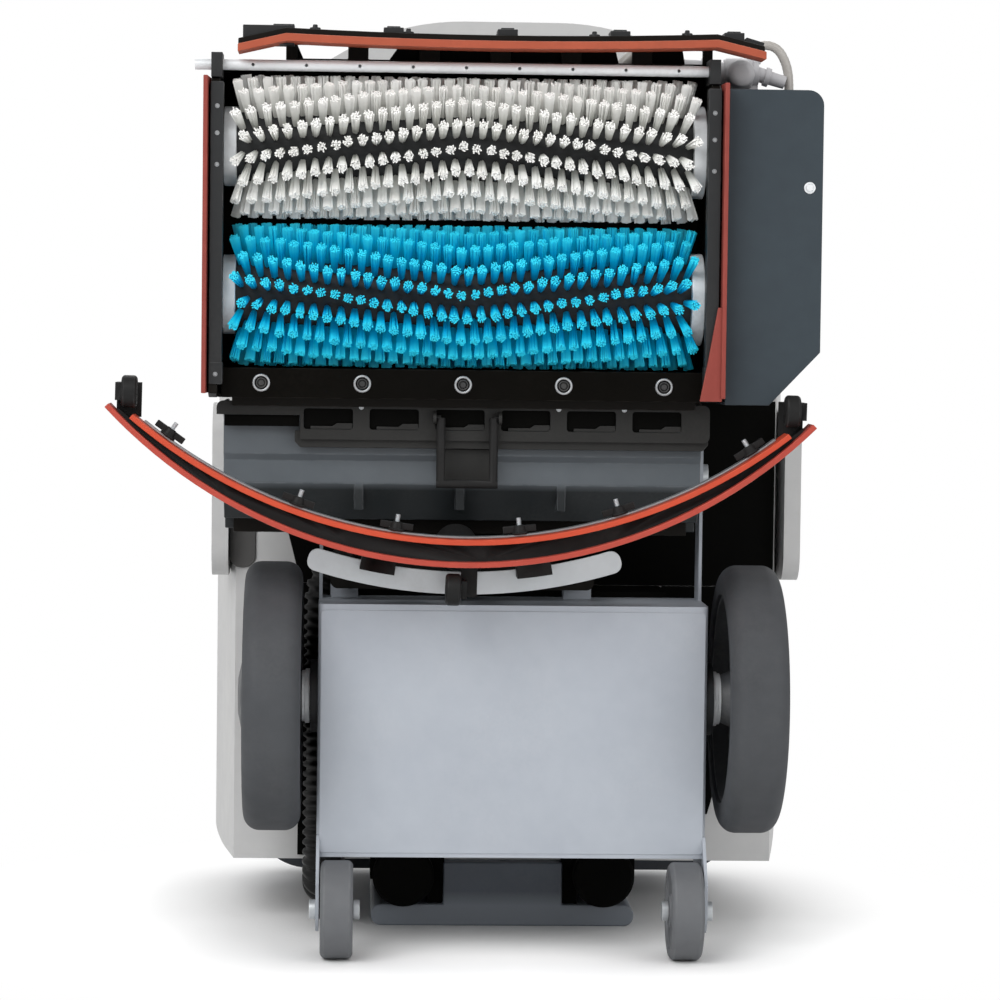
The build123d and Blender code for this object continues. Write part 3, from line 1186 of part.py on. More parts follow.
with BuildPart() as front_skirt_carrier:
    front_skirt_strip(BLADE_HIGH_Z, BLADE_HIGH_Z + CARRIER, CARRIER_LOW_Y, CARRIER_WEB_Y + CARRIER_WEB)
    with BuildSketch(plan(CARRIER_WEB_Y + CARRIER_WEB)):
        web_z = (DECK_FRONT_Z, BLADE_HIGH_Z)
        with Locations((FRONT_SKIRT_MID_X, sum(web_z) / 2)):
            Rectangle(2 * WEB_HALF, web_z[1] - web_z[0])
            window_pitch = 2 * WEB_HALF / CARRIER_WINDOWS
            with GridLocations(window_pitch, 0, CARRIER_WINDOWS, 1):
                Rectangle(CARRIER_WINDOW, (web_z[1] - web_z[0]) / 2, mode=Mode.SUBTRACT)
    extrude(amount=CARRIER_WEB)

with BuildPart() as skirt_knobs:
    knob_y = (CARRIER_LOW_Y + CARRIER_WEB_Y) / 2
    knob_foot = BLADE_HIGH_Z + CARRIER
    sweep_r = (WEB_HALF**2 + FRONT_SKIRT_SAG**2) / (2 * FRONT_SKIRT_SAG)
    for knob in range(-2, 3):
        offset = abs(knob) * SKIRT_KNOB_PITCH + SKIRT_KNOB_R
        foot_z = knob_foot - FRONT_SKIRT_SAG + sweep_r - sqrt(sweep_r**2 - offset**2)
        knob_x = FRONT_SKIRT_MID_X + knob * SKIRT_KNOB_PITCH
        rod_z(knob_x, knob_y, (foot_z, foot_z + SKIRT_KNOB), SKIRT_KNOB_R)


# Rear seal strip under the hood's rear wall, its screws and the screw of the belt cover
STRIP_Z = (DECK_REAR_Z, DECK_REAR_Z + STRIP_DEPTH)
STRIP_Y = (DECK_REAR_LOW_Y - STRIP, DECK_REAR_LOW_Y)
with BuildPart() as rear_seal_strip:
    block((BRUSH_LEFT_X - HUB_DISC, BRUSH_RIGHT_X + HUB_DISC), STRIP_Y, STRIP_Z)

with BuildPart() as deck_screws:
    screw_z = sum(STRIP_Z) / 2
    cover_screw_z = COVER_REAR_Z + 0.7 * (COVER_FRONT_Z - COVER_REAR_Z)
    places = [
        (DECK_X + (screw - (STRIP_SCREWS - 1) / 2) * STRIP_SCREW_PITCH, STRIP_Y[0], screw_z)
        for screw in range(STRIP_SCREWS)
    ]
    places.append((COVER_RIGHT_X - COVER_CORNER_R, COVER_LOW_Y, cover_screw_z))
    for screw_x, seat_y, seat_z in places:
        rod_y(screw_x, (seat_y - SCREW_HEAD / 2, seat_y), seat_z, SCREW_R)
        rod_y(screw_x, (seat_y - SCREW_HEAD / 2 - SCREW_HEAD, seat_y - SCREW_HEAD / 2), seat_z, SCREW_HEAD_R)


# Solution valve on the front of the belt cover, and the supply hose that arches over beside it
VALVE_X = (COVER_LEFT_X, COVER_LEFT_X + VALVE_WIDTH)
VALVE_Z = (COVER_FRONT_Z, COVER_FRONT_Z + VALVE_HEIGHT)
with BuildPart() as solution_valve:
    block(VALVE_X, (VALVE_Y - VALVE_DEPTH / 2, VALVE_Y + VALVE_DEPTH / 2), VALVE_Z)
    chamfer(solution_valve.edges().filter_by(Axis.Z), SUPPLY_R)
    valve_low = VALVE_Y - VALVE_DEPTH / 2
    rod_y(sum(VALVE_X) / 2, (valve_low - VALVE_COIL_R, valve_low), sum(VALVE_Z) / 2, VALVE_COIL_R)

with BuildPart() as solution_hose:
    start_x = VALVE_X[1] - 2 * SUPPLY_R
    with BuildLine() as supply_route:
        FilletPolyline(
            at(start_x, VALVE_Y, VALVE_Z[1]),
            at(start_x, VALVE_Y, VALVE_Z[1] + SUPPLY_ARCH),
            at(start_x + SUPPLY_REACH, VALVE_Y, VALVE_Z[1] + SUPPLY_ARCH),
            at(start_x + SUPPLY_REACH, VALVE_Y, COVER_FRONT_Z),
            radius=SUPPLY_ARCH - SUPPLY_R / 2,
        )
    with BuildSketch(Plane(origin=supply_route.line @ 0, z_dir=supply_route.line % 0)):
        Circle(SUPPLY_R)
    sweep()


# Debris tray: stepped pan with a hooked back edge and ribs under its slope
PAN_OUTLINE = [
    (RIM_Y + RIM, RIM_HIGH_Z),
    (RIM_Y + RIM, RIM_NOTCH_Z),
    (TRAY_FLOOR_Y, RIM_NOTCH_Z - TRAY_STEP),
    (TRAY_FLOOR_Y, TRAY_STEP_Z + TRAY_STEP),
    (TRAY_FLOOR_Y + TRAY_STEP, TRAY_STEP_Z),
    (TRAY_FLOOR_Y + TRAY_STEP, TRAY_EDGE_Z),
    (TRAY_FLOOR_Y + TRAY_STEP + TRAY_SLOPE, TRAY_BACK_Z),
    (TRAY_TOP_Y, TRAY_BACK_Z),
    (TRAY_TOP_Y, RIM_HIGH_Z),
]
PAN_ROOM = [
    (RIM_Y + RIM + TRAY_WALL, RIM_HIGH_Z + TRAY_WALL),
    (RIM_Y + RIM + TRAY_WALL, RIM_NOTCH_Z + TRAY_WALL / 2),
    (TRAY_FLOOR_Y + TRAY_WALL, RIM_NOTCH_Z - TRAY_STEP + TRAY_WALL / 2),
    (TRAY_FLOOR_Y + TRAY_WALL, TRAY_STEP_Z + TRAY_STEP + TRAY_WALL / 2),
    (TRAY_FLOOR_Y + TRAY_STEP + TRAY_WALL, TRAY_STEP_Z + TRAY_WALL / 2),
    (TRAY_FLOOR_Y + TRAY_STEP + TRAY_WALL, TRAY_EDGE_Z + TRAY_WALL / 2),
    (TRAY_FLOOR_Y + TRAY_STEP + TRAY_SLOPE + TRAY_WALL / 2, TRAY_BACK_Z + TRAY_WALL),
    (TRAY_TOP_Y + TRAY_WALL, TRAY_BACK_Z + TRAY_WALL),
    (TRAY_TOP_Y + TRAY_WALL, RIM_HIGH_Z + TRAY_WALL),
]
with BuildPart() as debris_tray:
    with BuildSketch(side(TRAY_X[0])):
        Polygon(*PAN_OUTLINE, align=None)
    extrude(amount=TRAY_X[1] - TRAY_X[0])
    with BuildSketch(side(TRAY_X[0] + TRAY_WALL)):
        Polygon(*PAN_ROOM, align=None)
    extrude(amount=TRAY_X[1] - TRAY_X[0] - 2 * TRAY_WALL, mode=Mode.SUBTRACT)
    flange_y = (TRAY_HOOK_Y + GAP, TRAY_HOOK_Y + GAP + TRAY_WALL)
    block(TRAY_X, flange_y, (HOOK_BACK_Z + GAP, TRAY_BACK_Z))
    for rib_step in (-1, 0, 1):
        rib_x = DECK_X + rib_step * TRAY_RIB_PITCH
        rib_half = TRAY_RIB / 2
        rib_rise = 3 * TRAY_RIB * TRAY_SLOPE / (TRAY_EDGE_Z - TRAY_BACK_Z)
        with BuildSketch(side(rib_x - rib_half)):
            Polygon(
                (TRAY_FLOOR_Y + TRAY_STEP, TRAY_EDGE_Z),
                (TRAY_FLOOR_Y + TRAY_STEP, TRAY_EDGE_Z - 3 * TRAY_RIB),
                (TRAY_FLOOR_Y + TRAY_STEP + rib_rise, TRAY_EDGE_Z - 3 * TRAY_RIB),
                align=None,
            )
        extrude(amount=TRAY_RIB)


# Slotted rim on the tray's front edge, with the lugs of the bail
RIM_X = (TRAY_X[0] - RIM_OVERHANG, TRAY_X[1] + RIM_OVERHANG)
BAIL_MID_X = DECK_X + BAIL_X
BAIL_PIN_X = BAIL_HALF + BAIL_R + GAP
with BuildPart() as tray_rim:
    with BuildSketch(plan(RIM_Y + RIM)):
        with Locations((sum(RIM_X) / 2, (RIM_LOW_Z + RIM_HIGH_Z) / 2)):
            RectangleRounded(RIM_X[1] - RIM_X[0], RIM_HIGH_Z - RIM_LOW_Z, TRAY_STEP)
        notch_z = (RIM_LOW_Z, RIM_NOTCH_Z)
        with Locations((RIM_X[0] + RIM_NOTCH / 2, sum(notch_z) / 2)):
            Rectangle(RIM_NOTCH, notch_z[1] - notch_z[0], mode=Mode.SUBTRACT)
        slot_first = RIM_X[0] + RIM_NOTCH + LUG + RIM_SLOT_WIDTH / 2
        for slot in range(RIM_SLOTS):
            slot_z = RIM_LOW_Z + (RIM_HIGH_Z - RIM_LOW_Z) / 2 + LUG / 2
            with Locations((slot_first + slot * RIM_SLOT_PITCH, slot_z)):
                RectangleRounded(RIM_SLOT_WIDTH, RIM_SLOT_HEIGHT, LUG, mode=Mode.SUBTRACT)
    extrude(amount=RIM)
    for lug_side in (-1, 1):
        lug_x = sorted((BAIL_MID_X + lug_side * BAIL_PIN_X, BAIL_MID_X + lug_side * (BAIL_PIN_X + LUG)))
        block(lug_x, (BAIL_Y, RIM_Y), (BAIL_Z - LUG_R, BAIL_Z + LUG_R))
        rod_x(lug_x, BAIL_Y, BAIL_Z, LUG_R)
        rod_x(lug_x, BAIL_Y, BAIL_Z, BAIL_R - LUG / 2 + RUNNING, mode=Mode.SUBTRACT)

with BuildPart() as tray_bail:
    bail_low = BAIL_Z - BAIL_DROP
    for bail_side in (-1, 1):
        leg_x = BAIL_MID_X + bail_side * BAIL_HALF
        rod_z(leg_x, BAIL_Y, (bail_low, BAIL_Z), BAIL_R)
        pin_x = sorted((leg_x, BAIL_MID_X + bail_side * (BAIL_PIN_X + LUG)))
        rod_x(pin_x, BAIL_Y, BAIL_Z, BAIL_R - LUG / 2)
    rod_x((BAIL_MID_X - BAIL_HALF - BAIL_R, BAIL_MID_X + BAIL_HALF + BAIL_R), BAIL_Y, bail_low, BAIL_R)


# Squeegee: crescent body between two curved blades, hung on the rail, with three rollers
BODY_ANGLE = half_angle(BODY_HALF, REAR_INNER_R)
BODY_FRONT_ANGLE = half_angle(BODY_HALF, FRONT_BLADE_R)
REAR_BLADE_ANGLE = half_angle(DECK_HALF + REAR_BLADE_OUT, REAR_BLADE_R)
FRONT_BLADE_ANGLE = half_angle(DECK_HALF + FRONT_BLADE_OUT, FRONT_BLADE_R)
BAND_ANGLE = half_angle(DECK_HALF + FRONT_BLADE_OUT - BAND_INSET, FRONT_BLADE_R)
RAIL_INNER_R = RAIL_R - RAIL_WIDTH / 2
with BuildPart() as squeegee_body:
    with BuildSketch(plan(BODY_TOP_Y)):
        with BuildLine():
            rear_ends = [arc_point(SWING_Z, REAR_INNER_R, turn) for turn in (-BODY_ANGLE, 0, BODY_ANGLE)]
            front_turns = (BODY_FRONT_ANGLE, 0, -BODY_FRONT_ANGLE)
            front_ends = [arc_point(FRONT_CENTRE_Z, FRONT_BLADE_R, turn) for turn in front_turns]
            ThreePointArc(*rear_ends)
            Line(rear_ends[2], front_ends[0])
            ThreePointArc(*front_ends)
            Line(front_ends[2], rear_ends[0])
        make_face()
    extrude(amount=BODY_TOP_Y - BODY_LOW_Y)
    # Hangers that hook the front edge of the rail
    for hanger_side in (-1, 1):
        turn = hanger_side * HANGER_ANGLE
        with BuildSketch(plan(HANGER_TOP_Y)):
            with BuildLine():
                centre = (SQUEEGEE_X, SWING_Z)
                first = -90 + turn - HANGER_HALF_ANGLE
                outer = CenterArc(centre, RAIL_R - SMALL_PIN_R, first, 2 * HANGER_HALF_ANGLE)
                inner = CenterArc(centre, HANGER_INNER_R, first, 2 * HANGER_HALF_ANGLE)
                Line(outer @ 0, inner @ 0)
                Line(outer @ 1, inner @ 1)
            make_face()
        extrude(amount=HANGER_TOP_Y - BODY_TOP_Y)
    slot_y = (RAIL_Y - GAP, RAIL_Y + RAIL_THICK + GAP)
    arc_strip(SWING_Z, RAIL_INNER_R - GAP, RAIL_R + RAIL_WIDTH, RAIL_ANGLE, *slot_y, mode=Mode.SUBTRACT)
    # Suction nozzle
    with BuildSketch(plan(BODY_TOP_Y)):
        with Locations((SQUEEGEE_X, NOZZLE_FOOT_Z)):
            Rectangle(NOZZLE_WIDTH, NOZZLE_DEPTH)
    with BuildSketch(plan(NOZZLE_TOP_Y)):
        with Locations((SQUEEGEE_X, NOZZLE_Z)):
            Circle(NOZZLE_R)
    loft()
    rod_y(SQUEEGEE_X, (BODY_TOP_Y + BLADE, NOZZLE_TOP_Y), NOZZLE_Z, NOZZLE_BORE_R / 3, mode=Mode.SUBTRACT)
    rod_y(SQUEEGEE_X, (NOZZLE_TOP_Y - BLADE, NOZZLE_TOP_Y), NOZZLE_Z, NOZZLE_BORE_R, mode=Mode.SUBTRACT)
    # Plates over the blade ends, with the arms and pins of the end rollers
    plate_y = (BLADE_TOP_Y + GAP, BLADE_TOP_Y + ROLLER_ARM)
    plate_rear_z = BODY_END_Z - ROLLER_ARM
    arm_z = (END_ROLLER_Z - 2 * SMALL_PIN_R, END_PLATE_Z)
    for end_side in (-1, 1):
        wheel_x = SQUEEGEE_X + end_side * END_ROLLER_X
        face_x = wheel_x + end_side * (SMALL_ROLLER_WIDTH / 2 + GAP)
        arm_x = sorted((face_x, face_x + end_side * ROLLER_ARM))
        plate_x = sorted((wheel_x - end_side * END_PLATE_IN, face_x + end_side * ROLLER_ARM))
        block(plate_x, plate_y, (plate_rear_z, arm_z[1]))
        block(arm_x, (SMALL_ROLLER_Y - 2 * SMALL_PIN_R, plate_y[1]), arm_z)
        pin_x = sorted((face_x, wheel_x - end_side * (SMALL_ROLLER_WIDTH / 2 + GAP)))
        rod_x(pin_x, SMALL_ROLLER_Y, END_ROLLER_Z, SMALL_PIN_R)
    # Bridge over the rear blade, arm and pin of the centre roller
    centre_face = SQUEEGEE_X + CENTRE_ROLLER_X + SMALL_ROLLER_WIDTH / 2 + GAP
    bridge_x = (centre_face, centre_face + 3 * ROLLER_ARM)
    bridge_y = (BODY_TOP_Y, BODY_TOP_Y + ROLLER_ARM)
    bridge_z = (CENTRE_ROLLER_Z - 2 * SMALL_PIN_R, SWING_Z - REAR_INNER_R + BLADE)
    block(bridge_x, bridge_y, bridge_z)
    arm_x = (centre_face, centre_face + ROLLER_ARM)
    block(arm_x, (BODY_LOW_Y, BODY_TOP_Y), (CENTRE_ROLLER_Z - 2 * SMALL_PIN_R, CENTRE_ROLLER_Z + 2 * SMALL_PIN_R))
    rod_x((centre_face - SMALL_ROLLER_WIDTH - 2 * GAP, centre_face), SMALL_ROLLER_Y, CENTRE_ROLLER_Z, SMALL_PIN_R)

with BuildPart() as squeegee_rear_blade:
    arc_strip(SWING_Z, REAR_INNER_R, REAR_BLADE_R, REAR_BLADE_ANGLE, REAR_LIP_Y, BLADE_TOP_Y)

with BuildPart() as squeegee_front_blade:
    front_inner = FRONT_BLADE_R - BLADE
    arc_strip(FRONT_CENTRE_Z, front_inner, FRONT_BLADE_R, FRONT_BLADE_ANGLE, FRONT_LIP_Y, BLADE_TOP_Y)

with BuildPart() as squeegee_clamp_band:
    band_r = front_inner - GAP - BAND
    arc_strip(FRONT_CENTRE_Z, band_r, band_r + BAND, BAND_ANGLE, BAND_LOW_Y, BAND_TOP_Y)

with BuildPart() as squeegee_knobs:
    seat_r = sqrt(band_r**2 - SQUEEGEE_KNOB_R**2)
    knob_turns = [half_angle(reach, seat_r) for reach in (*SQUEEGEE_KNOB_X, BODY_HALF - SQUEEGEE_KNOB_INSET)]
    for turn in (*knob_turns, *[-knob_turn for knob_turn in knob_turns]):
        seat_x, seat_z = arc_point(FRONT_CENTRE_Z, seat_r, turn)
        inwards = (-sin(radians(turn)), 0, cos(radians(turn)))
        with BuildSketch(Plane(origin=at(seat_x, SQUEEGEE_KNOB_Y, seat_z), x_dir=(0, 1, 0), z_dir=inwards)):
            Circle(SQUEEGEE_KNOB_R)
        extrude(amount=SQUEEGEE_KNOB)


def make_small_roller(x, z):
    """Bumper roller of the squeegee."""
    with BuildPart() as roller:
        span = (x - SMALL_ROLLER_WIDTH / 2, x + SMALL_ROLLER_WIDTH / 2)
        rod_x(span, SMALL_ROLLER_Y, z, SMALL_ROLLER_R)
        chamfer(roller.edges().filter_by(GeomType.CIRCLE), SMALL_PIN_R / 2)
        rod_x(span, SMALL_ROLLER_Y, z, SMALL_PIN_R + RUNNING, mode=Mode.SUBTRACT)
    return roller


squeegee_roller_left = make_small_roller(SQUEEGEE_X - END_ROLLER_X, END_ROLLER_Z)
squeegee_roller_right = make_small_roller(SQUEEGEE_X + END_ROLLER_X, END_ROLLER_Z)
squeegee_roller_centre = make_small_roller(SQUEEGEE_X + CENTRE_ROLLER_X, CENTRE_ROLLER_Z)


# Swing rail, and the yoke that lifts it on two posts in the chassis bushes
RAIL_Y_SPAN = (RAIL_Y, RAIL_Y + RAIL_THICK)
with BuildPart() as swing_rail:
    arc_strip(SWING_Z, RAIL_INNER_R, RAIL_INNER_R + RAIL_WIDTH, RAIL_ANGLE, *RAIL_Y_SPAN)
    fillet(swing_rail.edges().filter_by(Axis.Y), RAIL_END_R)

YOKE_Y = (YOKE_LOW_Y, YOKE_LOW_Y + YOKE)
YOKE_X = (SQUEEGEE_X - POST_X - BUSH_R, SQUEEGEE_X + POST_X + BUSH_R)
with BuildPart() as lift_yoke:
    with BuildSketch(plan(YOKE_Y[1])):
        with Locations((SQUEEGEE_X, (YOKE_REAR_Z + YOKE_FRONT_Z) / 2)):
            RectangleRounded(YOKE_X[1] - YOKE_X[0], YOKE_FRONT_Z - YOKE_REAR_Z, BUSH_R - 2 * BEND_R)
        with Locations((SQUEEGEE_X, YOKE_RING_Z)):
            Circle(YOKE_RING_R)
            Circle(NOZZLE_BORE_R, mode=Mode.SUBTRACT)
    extrude(amount=YOKE)
    for post_side in (-1, 1):
        post_x = SQUEEGEE_X + post_side * POST_X
        rod_y(post_x, (YOKE_Y[1], CHASSIS_TOP_Y), POST_Z, POST_R)
        standoff_r = RAIL_R + RAIL_WIDTH / 2 - STANDOFF_R - BEND_R
        standoff_z = SWING_Z - sqrt(standoff_r**2 - POST_X**2)
        rod_y(post_x, (RAIL_Y_SPAN[1], YOKE_Y[0]), standoff_z, STANDOFF_R)


# Suction boot: bellows between the squeegee's nozzle and the yoke
BOOT_Y = (NOZZLE_TOP_Y + GAP, YOKE_Y[0])
BOOT_RISE = BOOT_Y[1] - BOOT_Y[0]
BOOT_FOOT = swung(SQUEEGEE_X, NOZZLE_Z, SQUEEGEE_SET)
BOOT_SHIFT = (SQUEEGEE_X - BOOT_FOOT[0], YOKE_RING_Z - BOOT_FOOT[1])
with BuildPart() as suction_boot:
    boot_stations = [(0.0, 0.0)]
    for rib in range(BOOT_RIBS):
        for place, rise in RIB_SHAPE:
            boot_stations.append((0.1 + 0.85 * (rib + place) / BOOT_RIBS, rise))
    boot_stations.append((1.0, 0.0))
    for place, rise in boot_stations:
        with BuildSketch(plan(BOOT_Y[0] + place * BOOT_RISE)):
            with Locations((BOOT_FOOT[0] + place * BOOT_SHIFT[0], BOOT_FOOT[1] + place * BOOT_SHIFT[1])):
                Circle(BOOT_R - BOOT_RIB + rise * BOOT_RIB)
    loft(ruled=True)
    for place in (0.0, 1.0):
        with BuildSketch(plan(BOOT_Y[0] + place * BOOT_RISE)):
            with Locations((BOOT_FOOT[0] + place * BOOT_SHIFT[0], BOOT_FOOT[1] + place * BOOT_SHIFT[1])):
                Circle(NOZZLE_BORE_R)
    loft(ruled=True, mode=Mode.SUBTRACT)


# Folding handle: bent tube with pivot bosses, grips on its crossbar, and the console
HANDLE_ROUTE = [
    at(-HANDLE_X, HANDLE_PIVOT_Y, HANDLE_PIVOT_Z),
    at(-HANDLE_X, HANDLE_TOP_Y, HANDLE_TOP_Z),
    at(HANDLE_X, HANDLE_TOP_Y, HANDLE_TOP_Z),
    at(HANDLE_X, HANDLE_PIVOT_Y, HANDLE_PIVOT_Z),
]
with BuildPart() as handle_frame:
    with BuildLine() as handle_line:
        FilletPolyline(*HANDLE_ROUTE, radius=HANDLE_BEND_R)
    with BuildSketch(Plane(origin=handle_line.line @ 0, z_dir=handle_line.line % 0)):
        Circle(HANDLE_R)
    sweep()
    for boss_side in (-1, 1):
        boss_x = (boss_side * HANDLE_X - HANDLE_R, boss_side * HANDLE_X + HANDLE_R)
        rod_x(boss_x, HANDLE_PIVOT_Y, HANDLE_PIVOT_Z, HANDLE_BOSS_R)
        rod_x(boss_x, HANDLE_PIVOT_Y, HANDLE_PIVOT_Z, HANDLE_PIN_R + RUNNING, mode=Mode.SUBTRACT)

with BuildPart() as handle_grips:
    for grip_side in (-1, 1):
        grip_mid = grip_side * GRIP_X
        grip_x = (grip_mid - GRIP_LENGTH / 2, grip_mid + GRIP_LENGTH / 2)
        rod_x(grip_x, HANDLE_TOP_Y, HANDLE_TOP_Z, GRIP_R)
        rod_x(grip_x, HANDLE_TOP_Y, HANDLE_TOP_Z, HANDLE_R + RUNNING, mode=Mode.SUBTRACT)

PADDLE_PIN_X = PADDLE_HALF + GAP + PADDLE_EAR
with BuildPart() as console:
    block((-CONSOLE_HALF, CONSOLE_HALF), CONSOLE_Y, CONSOLE_Z)
    fillet(console.edges().filter_by(Axis.X), CONSOLE_R)
    rod_x((-CONSOLE_HALF, CONSOLE_HALF), HANDLE_TOP_Y, HANDLE_TOP_Z, HANDLE_R + RUNNING, mode=Mode.SUBTRACT)
    for ear_side in (-1, 1):
        ear_x = sorted((ear_side * (PADDLE_HALF + GAP), ear_side * PADDLE_PIN_X))
        block(ear_x, (CONSOLE_Y[1] - CONSOLE_R, PADDLE_Y), (PADDLE_Z, PADDLE_Z + PADDLE_STAND))
        rod_x(ear_x, PADDLE_Y, PADDLE_Z, PADDLE_STAND)
        rod_x(ear_x, PADDLE_Y, PADDLE_Z, PADDLE_PIN_R + RUNNING, mode=Mode.SUBTRACT)
    button_y = sum(CONSOLE_Y) / 2 + HANDLE_R
    stem_z = (CONSOLE_Z[1] - BUTTON_RISE - BUTTON_TRAVEL, CONSOLE_Z[1])
    rod_z(BUTTON_X, button_y, stem_z, BUTTON_STEM_R + RUNNING, mode=Mode.SUBTRACT)

with BuildPart() as drive_paddle:
    rod_x((-PADDLE_PIN_X, PADDLE_PIN_X), PADDLE_Y, PADDLE_Z, PADDLE_PIN_R)
    with BuildSketch(side(-PADDLE_HALF)):
        Polygon(
            (PADDLE_Y - PADDLE / 2, PADDLE_Z),
            (PADDLE_Y + PADDLE / 2, PADDLE_Z),
            (PADDLE_Y + PADDLE / 2 + PADDLE_SLANT, PADDLE_Z + PADDLE_LENGTH),
            (PADDLE_Y - PADDLE / 2 + PADDLE_SLANT, PADDLE_Z + PADDLE_LENGTH),
            align=None,
        )
    extrude(amount=2 * PADDLE_HALF)

with BuildPart() as stop_button:
    rod_z(BUTTON_X, button_y, (stem_z[0] + BUTTON_TRAVEL + GAP, stem_z[1] + BUTTON_TRAVEL + GAP), BUTTON_STEM_R)
    head_z = (CONSOLE_Z[1] + BUTTON_TRAVEL + GAP, CONSOLE_Z[1] + BUTTON_TRAVEL + GAP + BUTTON_RISE)
    rod_z(BUTTON_X, button_y, head_z, BUTTON_R)
    chamfer(stop_button.edges().filter_by(GeomType.CIRCLE).sort_by(Axis.Z)[-1:], BUTTON_TRAVEL / 2)


PIECES = {
    "chassis_frame": chassis_frame,
    "pivot_bolts": pivot_bolts,
    "transaxle": transaxle,
    "wheel_tyre_left": wheel_tyre_left,
    "wheel_tyre_right": wheel_tyre_right,
    "wheel_hub_left": wheel_hub_left,
    "wheel_hub_right": wheel_hub_right,
    "tail_roller_left": tail_roller_left,
    "tail_roller_right": tail_roller_right,
    "solution_tank": solution_tank,
    "batteries": batteries,
    "recovery_tank": recovery_tank,
    "tank_lid": tank_lid,
    "hinge_pin": hinge_pin,
    "vacuum_motor": vacuum_motor,
    "tail_bumper": tail_bumper,
    "drain_hoses": drain_hoses,
    "suction_hose": suction_hose,
    "deck_housing": deck_housing,
    "bearing_plate": bearing_plate,
    "front_brush_core": front_brush_core,
    "front_brush_hubs": front_brush_hubs,
    "front_brush_bristles": front_brush_bristles,
    "rear_brush_core": rear_brush_core,
    "rear_brush_hubs": rear_brush_hubs,
    "rear_brush_bristles": rear_brush_bristles,
    "brush_motor": brush_motor,
    "motor_pulley": motor_pulley,
    "drive_belt": drive_belt,
    "belt_cover": belt_cover,
    "side_skirt_left": side_skirt_left,
    "side_skirt_right": side_skirt_right,
    "spray_bar": spray_bar,
    "spray_bar_brackets": spray_bar_brackets,
    "front_skirt_blade": front_skirt_blade,
    "front_skirt_carrier": front_skirt_carrier,
    "skirt_knobs": skirt_knobs,
    "rear_seal_strip": rear_seal_strip,
    "deck_screws": deck_screws,
    "solution_valve": solution_valve,
    "solution_hose": solution_hose,
    "debris_tray": debris_tray,
    "tray_rim": tray_rim,
    "tray_bail": tray_bail,
    "squeegee_body": set_swing(squeegee_body),
    "squeegee_rear_blade": set_swing(squeegee_rear_blade),
    "squeegee_front_blade": set_swing(squeegee_front_blade),
    "squeegee_clamp_band": set_swing(squeegee_clamp_band),
    "squeegee_knobs": set_swing(squeegee_knobs),
    "squeegee_roller_left": set_swing(squeegee_roller_left),
    "squeegee_roller_right": set_swing(squeegee_roller_right),
    "squeegee_roller_centre": set_swing(squeegee_roller_centre),
    "swing_rail": swing_rail,
    "lift_yoke": lift_yoke,
    "suction_boot": suction_boot,
    "handle_frame": handle_frame,
    "handle_grips": handle_grips,
    "console": console,
    "drive_paddle": drive_paddle,
    "stop_button": stop_button,
}
os.makedirs("parts", exist_ok=True)
for name, piece in PIECES.items():
    piece.part.label = name
    export_step(piece.part, f"parts/{name}.step")
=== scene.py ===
"""Looks of a floor scrubber dryer that stands on its tail.

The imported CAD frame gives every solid. This script dresses it with rounded and worn edges,
procedural finishes, tufted brushes, ribbed hoses and small hardware, and sets the photograph's
camera and a plain studio light.
"""

from __future__ import annotations

import json
import logging
from collections.abc import Callable, Sequence
from dataclasses import dataclass
from enum import Enum, auto
from math import asin, cos, pi, radians, sin
from typing import ClassVar

import bmesh
import bpy
from bmesh.types import BMesh
from bpy.types import Material, Mesh, Node, NodeSocket, NodeTree, Object
from mathutils import Matrix, Vector

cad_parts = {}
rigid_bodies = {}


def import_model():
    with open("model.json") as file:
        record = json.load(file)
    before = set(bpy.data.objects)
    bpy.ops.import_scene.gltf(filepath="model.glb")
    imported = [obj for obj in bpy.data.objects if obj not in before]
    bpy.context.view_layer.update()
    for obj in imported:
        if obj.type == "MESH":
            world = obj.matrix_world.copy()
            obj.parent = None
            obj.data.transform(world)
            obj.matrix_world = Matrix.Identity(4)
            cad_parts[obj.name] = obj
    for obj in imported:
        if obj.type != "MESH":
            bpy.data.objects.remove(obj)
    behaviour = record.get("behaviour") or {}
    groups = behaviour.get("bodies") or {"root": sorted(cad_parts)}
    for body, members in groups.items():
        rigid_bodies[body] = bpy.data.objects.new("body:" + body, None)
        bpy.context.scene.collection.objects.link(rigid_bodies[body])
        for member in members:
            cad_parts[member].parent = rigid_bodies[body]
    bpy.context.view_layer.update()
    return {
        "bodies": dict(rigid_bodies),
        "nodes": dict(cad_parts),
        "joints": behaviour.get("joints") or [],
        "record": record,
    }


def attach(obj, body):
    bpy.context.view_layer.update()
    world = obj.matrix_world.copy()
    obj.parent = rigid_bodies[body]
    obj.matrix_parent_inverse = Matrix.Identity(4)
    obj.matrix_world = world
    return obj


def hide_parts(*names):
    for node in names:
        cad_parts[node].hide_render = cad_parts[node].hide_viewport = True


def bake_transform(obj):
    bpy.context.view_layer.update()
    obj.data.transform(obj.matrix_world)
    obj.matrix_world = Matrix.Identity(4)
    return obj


LOG = logging.getLogger("scrubber")

# Machine directions as in the CAD source: x across, y height above the scrubbed floor, z forward
MM = 0.001
MACHINE_X = 42.3
GROUND_Y = -312.2
SIDES = (-1, 1)
UP = Vector((0.0, 1.0, 0.0))
AHEAD = Vector((0.0, 0.0, 1.0))
DOWN = (0.0, -1.0, 0.0)

Colour = tuple[int, int, int]
Point = tuple[float, float, float]
Span = tuple[float, float]
Outline = tuple[Span, ...]
Box = tuple[Span, Span, Span]


def at(x: float, y: float, z: float) -> Vector:
    """Point of the machine, given in millimetres, in the frame's metres."""
    return Vector(((MACHINE_X + x) * MM, (GROUND_Y + y) * MM, z * MM))


